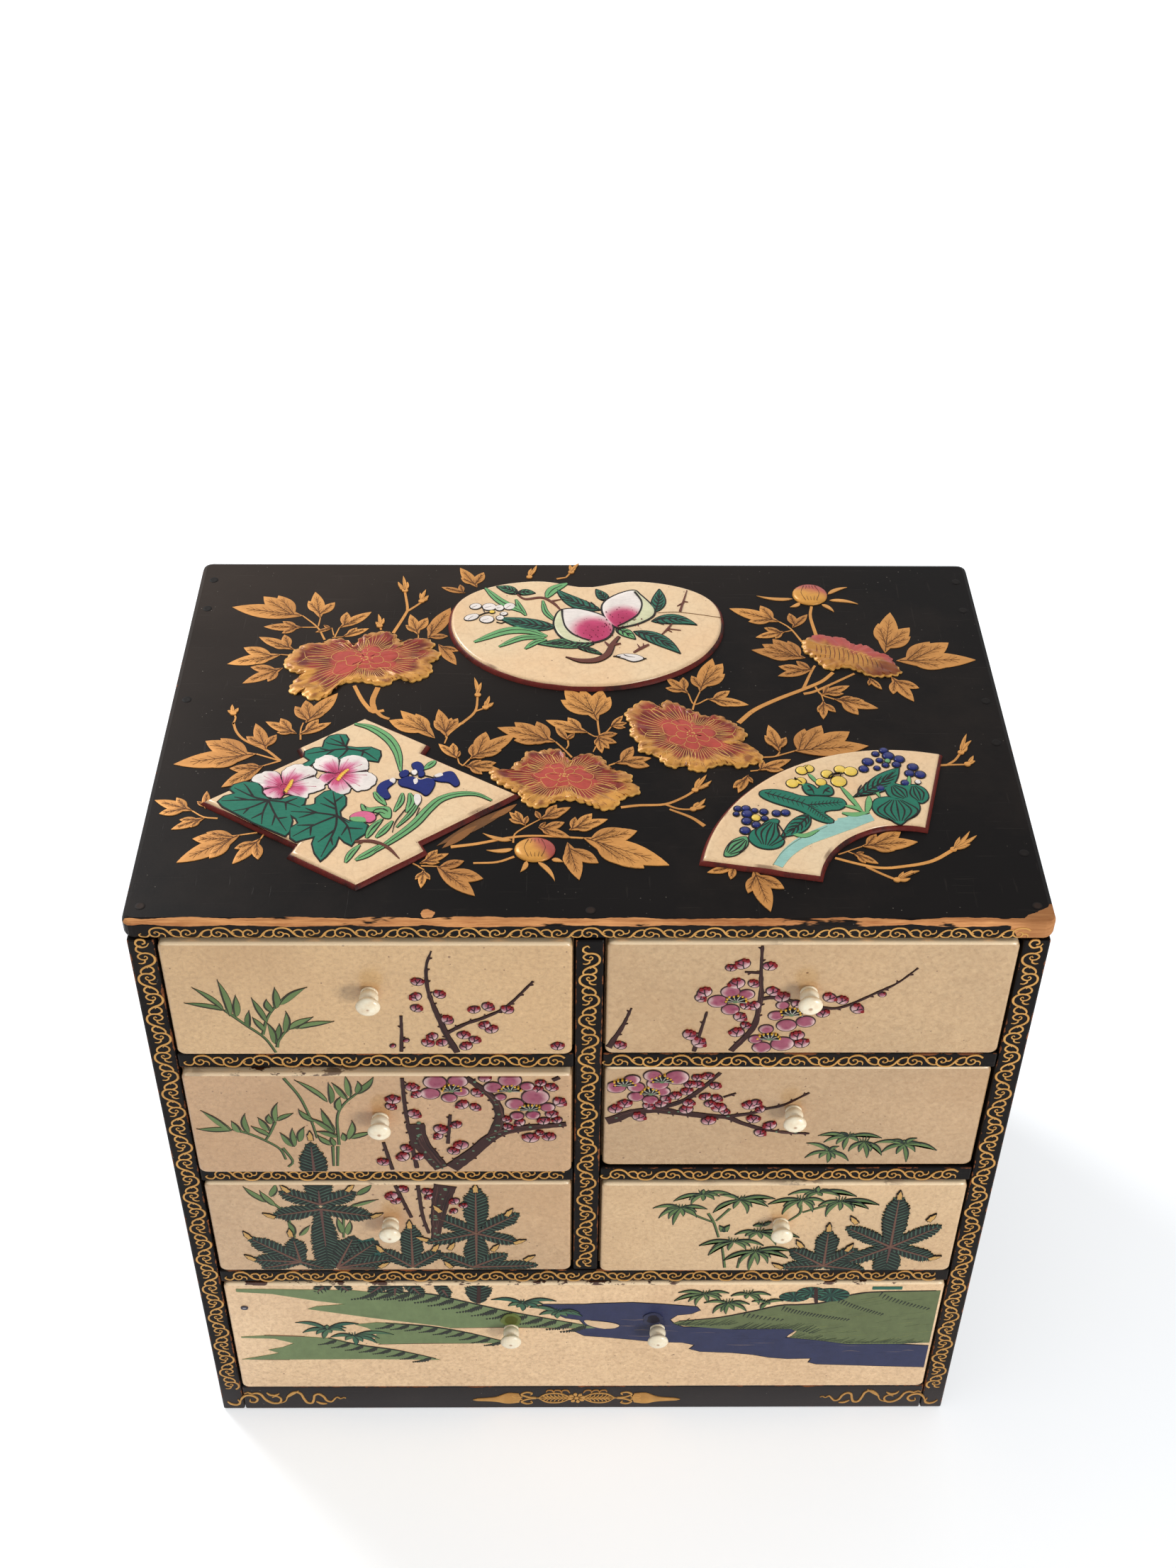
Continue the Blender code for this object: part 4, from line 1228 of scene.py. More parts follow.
# Stems: the last pair of each row is its first and last width, before STEM_SHARE
STEM_SHARE = 0.84
GOLD_STEMS = rows("""
-115.6,68.2 -108.9,60.4 -105.2,52.1 .7,1.1
-108.3,66.6 -108.6,61 .6,.8
-100,60.2 -101.4,53.8 .6,.8
-98.3,54.1 -102.3,53.6 .5,.7
-115,60.4 -108.9,60.4 .6,.9
-103,60 -101.8,55 .5,.7
-117,45.8 -115.4,44.6 .6,.8
-121.7,42.4 -118.5,42 .6,.8
-67.8,55.4 -67.6,51.5 .6,.8
-91,22.7 -87.2,13.6 -83.3,7.1 1.8,2.2
-81.7,21.6 -83.2,13.6 -82.2,8.2 2.6,2.8
-84.5,8.6 -82.4,6.4 -78.4,7.6 1.6,1.8
-82.2,8.2 -79,4 -76,2.4 2.2,1.6
-78,56.6 -73.9,69.3 -73.3,73.8 -75,84.9 1.7,1.2
-73.4,71.2 -69.6,75.4 -67.8,77.7 1.3,1.1
-83,58.8 -83.8,61.5 1.1,.9
-135.3,-1 -134.8,3 -136,6 1,.9
-8.3,95.4 -12.2,94.3 1,1.2
-8.3,95.4 -6.1,99.3 1,.9
-48.3,-.4 -43.3,7.1 -42.6,17.1 1.5,1
-43.3,7.1 -39.4,9.3 1,.8
-54,-8.5 -51.6,-4.4 -48.3,0 .8,1.5
39.4,18.2 41.4,11.6 46.7,14.9 .7,.8
43.9,19.3 41.6,12.6 40.6,8.2 .7,1
92.8,75.4 91.7,68.2 92.8,56 1.4,1.8
78.7,64.9 82.8,60.4 86.7,51.6 .7,1.1
80.6,58.2 83.2,59 .6,.7
57.8,.4 64.4,8.2 73.9,14.9 84.4,21 92.2,26 97.2,31.6 2.4,1.8
84.4,21 88.9,32.7 90.5,36 1.6,1.2
84.4,18.2 90,20.4 105.6,31 1.6,1.2
89.4,22.7 91.3,17.7 96.1,14.9 1,.8
91.3,17.7 91.7,13.8 .7,.6
120,28.8 118,31 .7,.8
-135.3,0 -133.3,-5.6 -129.4,-10.6 -121,-16 -115,-22.2 1.2,1.4
-124.4,-18.3 -115,-22.2 .8,1.1
-121,-25 -115,-22.2 .8,1.1
-108.7,-10 -109.2,-4 -108.6,0 .9,.7
-143.9,-50 -139.4,-53.3 -134.2,-54 .7,.9
-125,-62.8 -119,-61.5 .7,.8
-117.4,-64.7 -116.6,-62.4 .7,.8
-60,-79 -62.4,-77.4 .7,.8
-58.3,-80.6 -60.4,-79 .6,.7
-53.9,-78.9 -59.5,-78.6 .7,.8
-44.4,-21 -46.8,-24.8 .7,.8
-53.4,-8.4 -54.2,-12 .8,.7
-48.8,-20.8 -48.2,-23.4 -46.8,-24.8 .7,.8
-49.4,-68.9 -40,-67.2 -27.8,-63.9 -18.3,-63.1 -2.2,-64.2 1.7,1
-41.1,-77.2 -32.8,-76.7 -26.7,-73.9 1.1,1.2
-27.2,-66.7 -26.7,-62.2 -22.8,-58.3 -17.8,-54.4 .9,.6
-12.2,-11 -8.9,-15.6 -6.1,-20 .8,1
-7.6,-10.2 -7.4,-13 -8.2,-15 .9,.7
0,-5.6 2.4,-7.7 4.6,-7.9 .7,.8
4.6,-7.9 4.1,-3 3.8,1.6 .9,1
5,-8 7.2,-5 8.8,-2.2 .8,.7
3,-13.6 1.9,-16.8 .8,.5
10,-23.3 7.6,-24.6 .8,.8
11.7,-47.8 18.3,-46.7 27.8,-46.1 34.6,-42.4 39.4,-38.3 1.5,1.2
27.8,-46.1 32.8,-48.6 38,-48.9 1.1,.9
29.4,-48.8 37.2,-53.3 41.7,-57.8 1,1.9
72.2,-16.7 70.4,-19.2 64.8,-19.8 .8,.9
77.8,-16.1 70.4,-19.2 .8,.9
63.3,-27.2 60.4,-27.6 .7,.8
134.4,-23.9 137.8,-21.1 140.6,-16.7 1.2,1.1
134.4,-23.9 142.2,-23.6 1,.8
126,-24.6 134.4,-23.9 1.2,1.2
87.2,-74.4 94.4,-77.2 102.2,-79.4 110,-78.9 121.1,-76.1 130,-70 1.3,1.8
97.8,-78.9 103.3,-82.8 107.8,-85.6 1.2,1.3
97.4,-68.4 92,-71 88.5,-72.6 .6,.7
93.9,-72.2 92,-71 .5,.5
57.8,-80.6 57.4,-78.4 .8,.8
""")
# Buds like small fingers: where they spring from, then their tips
GOLD_BUDS = rows("""
-75,85.6 -76.4,95.8 -78.3,91.6 -74.4,91.6 -77.4,88
-67.8,78.2 -66.3,86.2 -68.7,83.8 -65,82.1 -65.2,79.6
-83.8,61.2 -84.9,69.1 -82.4,66.4 -85.6,63.8
-136,5.4 -137,10.6 -134.4,8.6 -138.4,7
-23.6,95.4 -20.6,103.8 -22.8,101.4
-6.1,99 -6.7,104.3 -2.8,105.2 -4.4,103
-42.6,17 -44.3,27.7 -41.4,24.6 -42.2,21
-39.4,9.3 -38,16.2 -36.3,12.1 -39.6,13
39.2,-38.4 43.9,-30 45.6,-33.3 41.4,-31.8 44.4,-36
38,-48.9 42.8,-43.3 42.6,-47.2 40.2,-45.2
140.6,-16.9 144.4,-6.1 145.6,-10 141.8,-11 143.6,-13.6
142,-23.6 145,-18.9 145.2,-21.9
130,-70 137.2,-60.6 139.4,-62.8 133.2,-63.6 136.4,-67.4
107.8,-85.6 113.9,-80.9 116.3,-81.1 110.6,-81.6 112.6,-85
""")
# Buds of the peony: centre, radii, then base and tip of each sepal
PEONY_BUDS = rows("""
92.8,83.2 7.2,6.9 85.4,80.6 70.6,82.7 100.4,84 108.9,88.8 100.6,79.6 112.2,77.1 88.3,77.7 83.9,74.9
 97.2,76.8 101.7,71.6
-19.4,-70.6 7.3,6.1 -27.2,-70 -36.7,-70.6 -27.8,-65.6 -38.3,-61.7 -22.2,-76.4 -24.4,-81.7 -18.3,-76.6
 -12.2,-86.4 -13.4,-75.4 -9.4,-76.7
""")
# Peonies: heart, then the outline
PEONIES = rows("""
-87.5,38.6 -119.8,37.1 -118.3,41.6 -115.6,45.4 -112.2,48.8 -105.6,49.3 -103.9,51.6 -97.8,51.6
 -95,47.1 -92.2,48.8 -91.1,52.7 -86.7,56 -81.1,57.1 -76.7,54.3 -75,50.4 -73.3,47.7 -70,51.6 -64.4,52.1
 -60.8,48.2 -63.3,45.4 -58.7,43.8 -59.4,39.3 -62.2,37.1 -61.1,32.1 -64.4,27.1 -68.9,25.1 -74.4,27.1
 -78.3,22.7 -83.3,23.2 -87.8,24.9 -94.4,24.3 -98.9,21.6 -100.6,16.6 -105.6,13.6 -109.4,15.4 -112.2,19.9
 -113.9,16.8 -116.1,19.9 -114.4,25.4 -112.2,29.3 -117.2,31.8 -119.4,34.9
-9.0,-31.4 -36.7,-29.4 -32.2,-28.3 -28.9,-28.9 -27.8,-24.4 -25,-22.2 -22.8,-17.2 -18.3,-17.2
 -13.9,-15.6 -10,-16.7 -7.2,-22.2 -3.3,-19.4 1.7,-18.9 5.6,-21.1 7.2,-25 10,-28.3 15,-29.4 16.1,-33.3
 13.9,-35.6 18.3,-37.2 18.3,-40.6 13.9,-42.2 11.7,-44.4 9.4,-48.3 5,-49.4 .6,-46.7 -5,-44.4 -11.7,-44.4
 -16.1,-47.8 -20.6,-48 -24.4,-44.4 -25,-41.7 -29.4,-37.8 -33.9,-34.4
39.5,-7.6 16.1,-6.7 16.7,-2.2 14.4,4.9 17.2,9.3 21.7,13.2 26.1,11 27.8,7.7 30,13.2 33.9,11.6
 40.6,7.1 45.6,3.8 50,4.3 54.4,1 59.4,-4.4 60,-8.3 54.4,-13.9 59.4,-12.8 65,-18.9 65,-22.8 61.1,-23.9
 56.7,-26.1 52.2,-23.9 45,-26.1 42.8,-28.3 38.3,-27.2 36.1,-24.4 31.7,-26.1 27.8,-22.8 25,-18.9
 18.9,-16.1 19.4,-12.2
""")
SIDE_PEONY = pts(
    "86.7,50.4 88.3,52.7 92.8,55.4 98.9,54.3 103.9,53.2 106.7,49.3 112.8,48.2 115.6,44.3 121.1,41 "
    "121.7,38.2 122.8,34.9 123.9,31 118.9,29.1 112.2,29.3 107.8,32.1 102.2,34.9 96.7,33.2 93.3,35.4 "
    "90.6,40.4 87.2,44.9"
)
# Leaves by the lozenge darkened by its painted shadow: base, tip, width and how far they are darkened
SHADOWED_LEAVES = (
    ((-54.5, -68.4), (-26.4, -46.2), 4.4, 0.62), ((-52.5, -69.6), (-40.4, -57.6), 3.4, 0.35),
    ((-36.0, -54.6), (-26.2, -46.0), 2.8, 0.3),
)
LEAF_GOLD = rgb(222, 158, 86)
LEAF_SHADE = rgb(168, 110, 58)
# Brown-black of the painted shadow that the lozenge casts on the gold leaves
PAINTED_SHADOW = rgb(46, 36, 28)
VEIN = rgb(82, 46, 22)
RIM_GOLD = rgb(222, 158, 74)
# Painted shade: the full-blown peonies' rims turn to this duskier gold towards their back side.
RIM_DUSK = rgb(190, 130, 76)
RED = rgb(156, 58, 46)
RED_DEEP = rgb(112, 40, 32)
HEART = rgb(188, 76, 64)
FINE_GOLD = rgb(226, 176, 100)
PINK_RED = rgb(184, 86, 78)
RIM_BROWN = rgb(140, 80, 38)
# Painted highlight on the edges of the peonies' rims.
RIM_HIGHLIGHT = rgb(236, 180, 92)


def gold_leaf(relief, base, tip, lobes, tone):
    """A cut leaf: a pointed blade and one more for each tooth, darker towards the stem, scratched with
    veins."""
    base, tip = Vector(base), Vector(tip)
    along = tip - base
    size = along.length
    blades = [(base, tip, 0.31 * size)]
    for lobe in lobes:
        lobe = Vector(lobe)
        share = max(0.0, (lobe - base).dot(along) / size ** 2)
        root = base + along * (0.26 * share)
        blades.append((root, lobe, 0.46 * (lobe - root).length))
    dim = blend(tone, LEAF_SHADE, 0.5)
    relief.step()

    def tint(p, share):
        t = (p - base).dot(along) / size ** 2
        lit = blend(dim, tone, ease(0.05, 0.62, t + 0.25 * waver(p, 0.3, 2.0)))
        return blend(dim, lit, 0.45 + 0.55 * ease(0.2, 0.9, share))

    for k, (a, b, width) in enumerate(blades):
        outline = leaf_outline(a, b, width, 0.0, 0.5, 9)
        relief.mound(
            outline, a.lerp(b, 0.5),
            [(1.0, 0.10 + 0.012 * k), (0.8, 0.15 + 0.012 * k), (0.35, 0.16 + 0.012 * k)], tint
        )
    for a, b, width in blades:
        relief.ribbon([a.lerp(b, 0.04), a.lerp(b, 0.5), a.lerp(b, 0.8)], (0.45, 0.35, 0.15), 0.24, VEIN, 3.0)
        d = (b - a).normalized()
        n = left_of(d)
        for j in range(1, 8):
            start = a.lerp(b, 0.04 + 0.09 * j)
            for side in (1, -1):
                end = start + d * (0.28 * width + 0.5) + n * (side * (0.12 + 0.06 * (j * 7 % 3)) * width)
                relief.ribbon([start, end], (0.22, 0.1), 0.235, blend(VEIN, tone, 0.25), 9, sharp=True)


def radius_by_turn(outline, centre, steps=360):
    """How far an outline reaches from its centre in each direction."""
    centre = Vector(centre)
    best = [0.0] * steps
    ring = [Vector(p) - centre for p in outline]
    for k in range(steps):
        d = Vector((math.cos(2 * math.pi * k / steps), math.sin(2 * math.pi * k / steps)))
        for a, b in zip(ring, ring[1:] + ring[:1]):
            e = b - a
            cross = d.x * e.y - d.y * e.x
            if abs(cross) > 1e-9:
                t, s = (a.x * e.y - a.y * e.x) / cross, (a.x * d.y - a.y * d.x) / cross
                if t > 0 and 0 <= s <= 1:
                    best[k] = max(best[k], t)
    return best


def scalloped(outline, depth, pitch, seed):
    """An outline with small uneven ruffles along it."""
    ring, out, run = smooth(outline, 0.75, True), [], 0.0
    for i, p in enumerate(ring):
        before, after = ring[i - 1], ring[(i + 1) % len(ring)]
        d = (after - before).normalized()
        run += (p - before).length
        wave = abs(math.sin(math.pi * run / pitch + 0.9 * waver(p, 0.2, seed)))
        out.append(p + right_of(d) * ((wave - 0.5) * depth * (0.6 + 0.8 * abs(waver(p, 0.15, 7.0 + seed)))))
    return out


def peony(relief, data, seed):
    """A full-blown peony in raised lacquer: ruffled gold petals round a red heart drawn over with gold."""
    heart, outline = Vector(data[0]), data[1:]
    if area(outline) < 0:
        outline = outline[::-1]
    outline = scalloped(outline, 1.3, 3.4, seed)
    draw = random.Random(seed)
    reach = radius_by_turn(outline, heart)
    reach = [sum(reach[(k + j) % 360] for j in range(-7, 8)) / 15 for k in range(360)]

    def at(turn, share):
        """A point on the flower by direction and share of the way to the rim."""
        return heart + heading(turn) * (reach[int(turn / (2 * math.pi) * 360) % 360] * share)

    def polar(p):
        d = Vector(p) - heart
        turn = math.atan2(d.y, d.x)
        return d.length / max(1.0, reach[int(turn / (2 * math.pi) * 360) % 360]), turn

    def redness(s, turn, p):
        wander = 0.07 * waver(p, 0.22, seed) + 0.03 * math.sin(9 * turn + seed)
        low = ease(0.3, -0.7, math.sin(turn))
        return 1 - ease(0.82 - 0.17 * low, 0.92 - 0.15 * low, s + wander)

    def height(p, share=None):
        s, turn = polar(p)
        s = share if share is not None else min(1.0, s)
        fold = 0.22 * math.sin(
            11 * turn + 2 * seed
        ) + 0.17 * math.sin(27 * turn + seed) + 0.1 * math.sin(53 * turn)
        return 0.5 + 0.8 * ease(1.0, 0.93, s) - 0.25 * ease(
            0.9, 0.7, s
        ) + 0.3 * ease(0.5, 0.2, s) + fold * ease(0.5, 0.85, s) * ease(1.02, 0.93, s)

    def colour(p, share):
        turn = polar(p)[1]
        # Painted light: the rim's gold is lighter on the flower's front side and duskier towards its back.
        low = ease(0.5, -0.8, math.sin(turn))
        gold = blend(RIM_DUSK, RIM_GOLD, 0.3 + 0.7 * low)
        spot = waver(p, 0.26, 3.0 + seed)
        gold = blend(gold, RIM_BROWN, 0.6 * ease(0.1, 0.5, spot))
        gold = blend(gold, RED_DEEP, 0.7 * ease(0.25, 0.5, -spot) * ease(0.99, 0.93, share))
        # Painted highlight along the rim's outer edge.
        if share > 0.975:
            gold = blend(gold, RIM_HIGHLIGHT, 0.65)
        red = blend(RED_DEEP, RED, ease(-0.35, 0.3, waver(p, 0.2, 5.0 + seed)))
        red = blend(red, HEART, ease(0.52, 0.42, share + 0.05 * math.cos(6 * turn)))
        return blend(gold, red, redness(share, turn, p))

    shares = [
        1.0, 0.99, 0.965, 0.935, 0.9, 0.86, 0.82, 0.77, 0.72, 0.66, 0.6, 0.53, 0.46, 0.38, 0.3, 0.2, 0.1
    ]
    relief.mound(outline, heart, [(s, height) for s in shares], colour, 0.2)

    flat, relief.ground = relief.ground, lambda u, v: height((u, v))
    for k in range(8):
        middle = 2 * math.pi * (k + 0.5 * (seed % 2)) / 8
        wide = math.pi / 8 * draw.uniform(0.95, 1.15)
        for side in (1, -1):
            line = [
                at(middle + side * wide * w, s) for w,
                s in ((0.9, 0.44), (1.05, 0.6), (0.98, 0.74), (0.6, 0.84))
            ]
            relief.ribbon(line, (0.24, 0.34, 0.34, 0.2), 0.07, FINE_GOLD, 1.2, 0.3)
        for j in range(9):
            w = (j / 4 - 1) * 0.82
            end = draw.uniform(0.76, 0.88) - 0.08 * abs(w)
            line = [
                at(middle + wide * w * (0.8 + 0.25 * t), 0.46 + (end - 0.46) * t)
                for t in (0.0, 0.35, 0.7, 1.0)
            ]
            relief.ribbon(line, (0.16, 0.3, 0.26, 0.12), 0.06, FINE_GOLD, 1.6, 0.3)
    for k in range(70):
        turn = 2 * math.pi * (k + draw.uniform(-0.4, 0.4)) / 70
        a, b = draw.uniform(0.84, 0.9), draw.uniform(0.93, 0.975)
        relief.ribbon([at(turn, a), at(turn, b)], (0.14, 0.3), 0.05, RIM_BROWN, 9, 0.3, True)
    thin = blend(FINE_GOLD, HEART, 0.2)
    for count, inner, outer, off in ((7, 0.26, 0.46, 0.2), (5, 0.10, 0.27, 0.7)):
        for k in range(count):
            middle = 2 * math.pi * (k + off) / count
            wide = math.pi / count
            line = [
                at(middle + wide * w, q) for w,
                q in (
                    (-1.0, inner), (-0.9, 0.6 * outer + 0.4 * inner), (-0.45, outer * 0.97), (0.0, outer),
                    (0.45, outer * 0.97), (0.9, 0.6 * outer + 0.4 * inner), (1.0, inner)
                )
            ]
            relief.ribbon(line, (0.2, 0.3, 0.2), 0.07, thin, 1.0, 0.3)
    for k in range(9):
        p = at(2 * math.pi * k / 9, draw.uniform(0.03, 0.09))
        relief.shell(circle(p.x, p.y, 0.42, 0.42, 8), 0.1, thin, 0.4)
    relief.ground = flat


def side_peony(relief):
    """A peony seen from its side: a gold bowl with a frilled red lip."""
    heart = Vector((104.5, 41.0))
    outline = SIDE_PEONY if area(SIDE_PEONY) > 0 else SIDE_PEONY[::-1]
    outline = scalloped(outline, 1.2, 3.0, 9)
    upper = lambda p: ease(
        -1.5, 2.5, (p.x - heart.x) * 0.50 + (p.y - heart.y) * 0.95 - 3.2 + 1.2 * math.sin(p.x * 0.9)
    )
    lower = lambda p: ease(2, 8, (p.x - heart.x) * 0.8 - (p.y - heart.y) * 0.7 - 7.0)

    def height(p, share):
        turn = math.atan2(p.y - heart.y, p.x - heart.x)
        return 0.5 + 0.9 * ease(1.0, 0.9, share) + (
            0.2 * math.sin(15 * turn) + 0.1 * math.sin(37 * turn)
        ) * ease(0.4, 0.85, share)

    def colour(p, share):
        gold = blend(
            RIM_GOLD, RIM_BROWN,
            0.35 + 0.5 * ease(0.0, 0.5, noise.noise(Vector((p.x * 0.5, p.y * 0.2, 4.0))))
        )
        # Painted highlight along the outer edge.
        gold = blend(gold, RIM_HIGHLIGHT, 0.6 * ease(0.94, 0.99, share))
        tone = blend(gold, PINK_RED, upper(p))
        return blend(tone, RED_DEEP, 0.8 * lower(p) * (1 - upper(p)) * ease(0.99, 0.95, share))

    relief.mound(
        outline, heart,
        [(s, height) for s in (1.0, 0.985, 0.955, 0.91, 0.86, 0.8, 0.73, 0.66, 0.58, 0.5, 0.4, 0.28, 0.12)],
        colour, 0.2
    )
    draw = random.Random(5)
    flat, relief.ground = relief.ground, lambda u, v: 1.35
    for k in range(15):
        t = k / 14
        start = Vector((92.0 + 24.0 * t, 47.6 - 10.4 * t)) + Vector((0.0, 2.0 * math.sin(math.pi * t)))
        end = start + Vector((-1.0 + 1.8 * t, -5.6 - draw.uniform(0.0, 2.2)))
        relief.ribbon(
            [start, start.lerp(end, 0.5) + Vector((0.4, 0.0)), end], (0.2, 0.4, 0.2), 0.12,
            VEIN if k % 2 else RED_DEEP, 1.5, 0.4
        )
        for j in range(4):
            turn = math.pi * (0.15 + 0.23 * j)
            arcs = [
                start + Vector((0.95 * math.cos(turn + e), 0.9 * math.sin(turn + e)))
                for e in (0.0, 0.36, 0.72)
            ]
            relief.ribbon(arcs, (0.3, 0.3), 0.12, FINE_GOLD, 0.6, 0.4)
    relief.ground = flat


def make_top_foliage(gold, raised):
    relief = Relief(top_place(TOP))
    draw = random.Random(3)
    for row in GOLD_STEMS:
        *path, widths = row
        relief.ribbon(
            path, [STEM_SHARE * w for w in widths], 0.14,
            blend(LEAF_GOLD, LEAF_SHADE, draw.uniform(0.0, 0.4)), 1.6
        )
    # Painted shadow: the leaves in the lozenge's shadow are darkened towards black.
    for base, tip, width, dark in SHADOWED_LEAVES:
        relief.shell(leaf_outline(base, tip, width, 0.0, 0.5), 0.13, blend(LEAF_SHADE, PAINTED_SHADOW, dark))
    for row in GOLD_LEAVES:
        gold_leaf(relief, row[0], row[1], row[2:], blend(LEAF_GOLD, LEAF_SHADE, draw.uniform(0.0, 0.55)))
    for base, *tips in GOLD_BUDS:
        for tip in tips:
            relief.shell(leaf_outline(base, tip, 1.5, draw.uniform(-0.08, 0.08), 0.5), 0.18, LEAF_GOLD)
            relief.ribbon([base, Vector(base).lerp(Vector(tip), 0.75)], (0.2, 0.12), 0.2, VEIN, 9, sharp=True)
        relief.shell(circle(base[0], base[1], 1.3, 1.1), 0.2, LEAF_GOLD)
    relief.build("top_gold_foliage", gold, "carcass", "black_lacquer")
    flowers = Relief(top_place(TOP))
    for k, data in enumerate(PEONIES):
        peony(flowers, data, k + 1)
    side_peony(flowers)
    for data in PEONY_BUDS:
        (x, y), (rx, ry), sepals = data[0], data[1], data[2:]
        pale = Vector((0.35, 1.0)) if y > 0 else Vector((0.9, 0.6))
        tint = lambda p, share: blend(
            RIM_GOLD, PINK_RED, ease(-1.0, 4.0, (p.x - x) * pale.x + (p.y - y) * pale.y)
        )
        flowers.mound(
            circle(x, y, rx, ry, 26), (x, y),
            [(1.0, 0.5), (0.93, 1.0), (0.75, 1.35), (0.5, 1.55), (0.25, 1.65)], tint, 0.2
        )
        for base, tip in zip(sepals[::2], sepals[1::2]):
            flowers.shell(leaf_outline(base, tip, 1.9, 0.08, 0.35), 0.3, LEAF_GOLD)
        flat, flowers.ground = flowers.ground, lambda u, v: 1.3
        for k in (-2, -1, 0, 1, 2):
            flowers.ribbon(
                [
                    (x + k * rx * 0.16, y - ry * 0.72), (x + k * rx * 0.26, y),
                    (x + k * rx * 0.16, y + ry * 0.72)
                ],
                (0.16, 0.26, 0.16), 0.28, VEIN, 2, 0.5
            )
        flowers.ground = flat
    flowers.build("top_raised_peonies", raised, "carcass", "black_lacquer", True)


PEGS = pts("-155,93 155,93 -155,73 155,73 -155,14 155,14 155,-11 155,-71.7 -155,-98.6 155,-98.3 0.2,-100.6")


def make_pegs(paint):
    """Wooden pegs that show as low discs through the lacquer."""
    relief = Relief(top_place(TOP))
    for x, y in PEGS:
        tone = rgb(26, 22, 20) if y > -98 else rgb(48, 36, 30)
        relief.mound(
            circle(x, y, 1.8, sides=20), (x, y), [(1.0, 0.05), (0.88, 0.12), (0.5, 0.10), (0.2, 0.08)],
            lambda p, s: blend(tone, rgb(18, 15, 14), ease(0.6, 1.0, s))
        )
    relief.build("top_pegs", paint, "carcass", "black_lacquer", True)


# Enamel painting: a dark line shows round every raised fill

LINE = rgb(28, 22, 20)
EMERALD = rgb(34, 120, 96)
LEAF_DARK = rgb(50, 112, 90)
LEAF_LIGHT = rgb(118, 178, 116)
BROWN = rgb(108, 58, 46)
PINK = rgb(212, 78, 122)
PINK_DEEP = rgb(180, 50, 92)
WHITE = rgb(247, 236, 228)
PALE_GREEN = rgb(226, 224, 184)
BLUE = rgb(20, 36, 112)
YELLOW = rgb(250, 212, 92)
TURQUOISE = rgb(160, 206, 194)


def enamel(relief, outline, fill, edge=0.5, height=0.26):
    relief.step()
    relief.shell(grown(outline, edge), 0.1, LINE)
    relief.shell(outline, height, fill, chamfer=0.16)


def enamel_leaf(relief, base, tip, width, fill, bow, veins, edge=0.45, fat=0.42):
    enamel(relief, leaf_outline(base, tip, width, bow, fat, 12), fill, edge)
    relief.ribbon(leaf_line(base, tip, bow, 0.02, 0.9), (0.8, 0.65, 0.3), 0.3, LINE, 3)
    middle = leaf_line(base, tip, bow, 0.0, 1.0, 0.0, 40)
    along = Vector(tip) - Vector(base)
    size, along = along.length, along.normalized()
    across = left_of(along)
    for k in range(veins):
        t = 0.08 + 0.68 * k / max(1, veins)
        start = middle[int(t * 40)]
        half = width / 2 * math.sin(math.pi * min(1.0, t + 0.22) ** 0.8) * 0.84
        for side in (1, -1):
            end = start + along * (size * 0.2) + across * (side * half)
            bend = start.lerp(end, 0.55) + along * (-size * 0.02) + across * (side * half * 0.12)
            relief.ribbon([start, bend, end], (0.9, 0.76, 0.36), 0.31, LINE, 1.5)


def enamel_curve(relief, points, step, *looks):
    """An enamel fill with a curved outline through the points."""
    enamel(relief, smooth(pts(points), step, True), *looks)


def lines(relief, text, widths=(0.95, 0.8, 0.36), colour=LINE, height=0.3):
    for line in rows(text):
        relief.ribbon(line, widths, height, colour, 1.4)


def blade(relief, path, width, edge=0.34, midrib=0.55):
    """A long leaf that swells along a curved path."""
    relief.step()
    swell = (0.25, 0.8, 1.0, 0.92, 0.66, 0.2)
    relief.ribbon(path, [w * width + 2 * edge for w in swell], 0.1, LINE, 1.2)
    relief.ribbon(path, [w * width for w in swell], 0.26, LEAF_LIGHT, 1.2)
    if midrib:
        curve = smooth(path, 1.2)
        relief.ribbon(curve[1:-2], (midrib * 0.6, midrib, midrib * 0.5), 0.3, LINE, sharp=True)


def berry(relief, x, y, r, fill, edge=0.4):
    relief.step()
    relief.shell(circle(x, y, r + edge, sides=16), 0.08, LINE)
    # Painted highlight: each berry is lighter towards its middle.
    highlight = blend(fill, WHITE, 0.06)
    tint = lambda p, share: blend(fill, highlight, ease(0.9, 0.2, share))
    relief.mound(circle(x, y, r, sides=16), (x, y), [(1.0, 0.2), (0.85, 0.45), (0.6, 0.6), (0.3, 0.68)], tint)


def speckle(relief, draw, inside, count, low, high, colour, size, height):
    """Small dots at random places that lie inside."""
    for _ in range(count):
        p = Vector((draw.uniform(low[0], high[0]), draw.uniform(low[1], high[1])))
        if inside(p):
            relief.shell(circle(p.x, p.y, draw.uniform(*size), sides=6), height, colour, 0.0, 0.03)


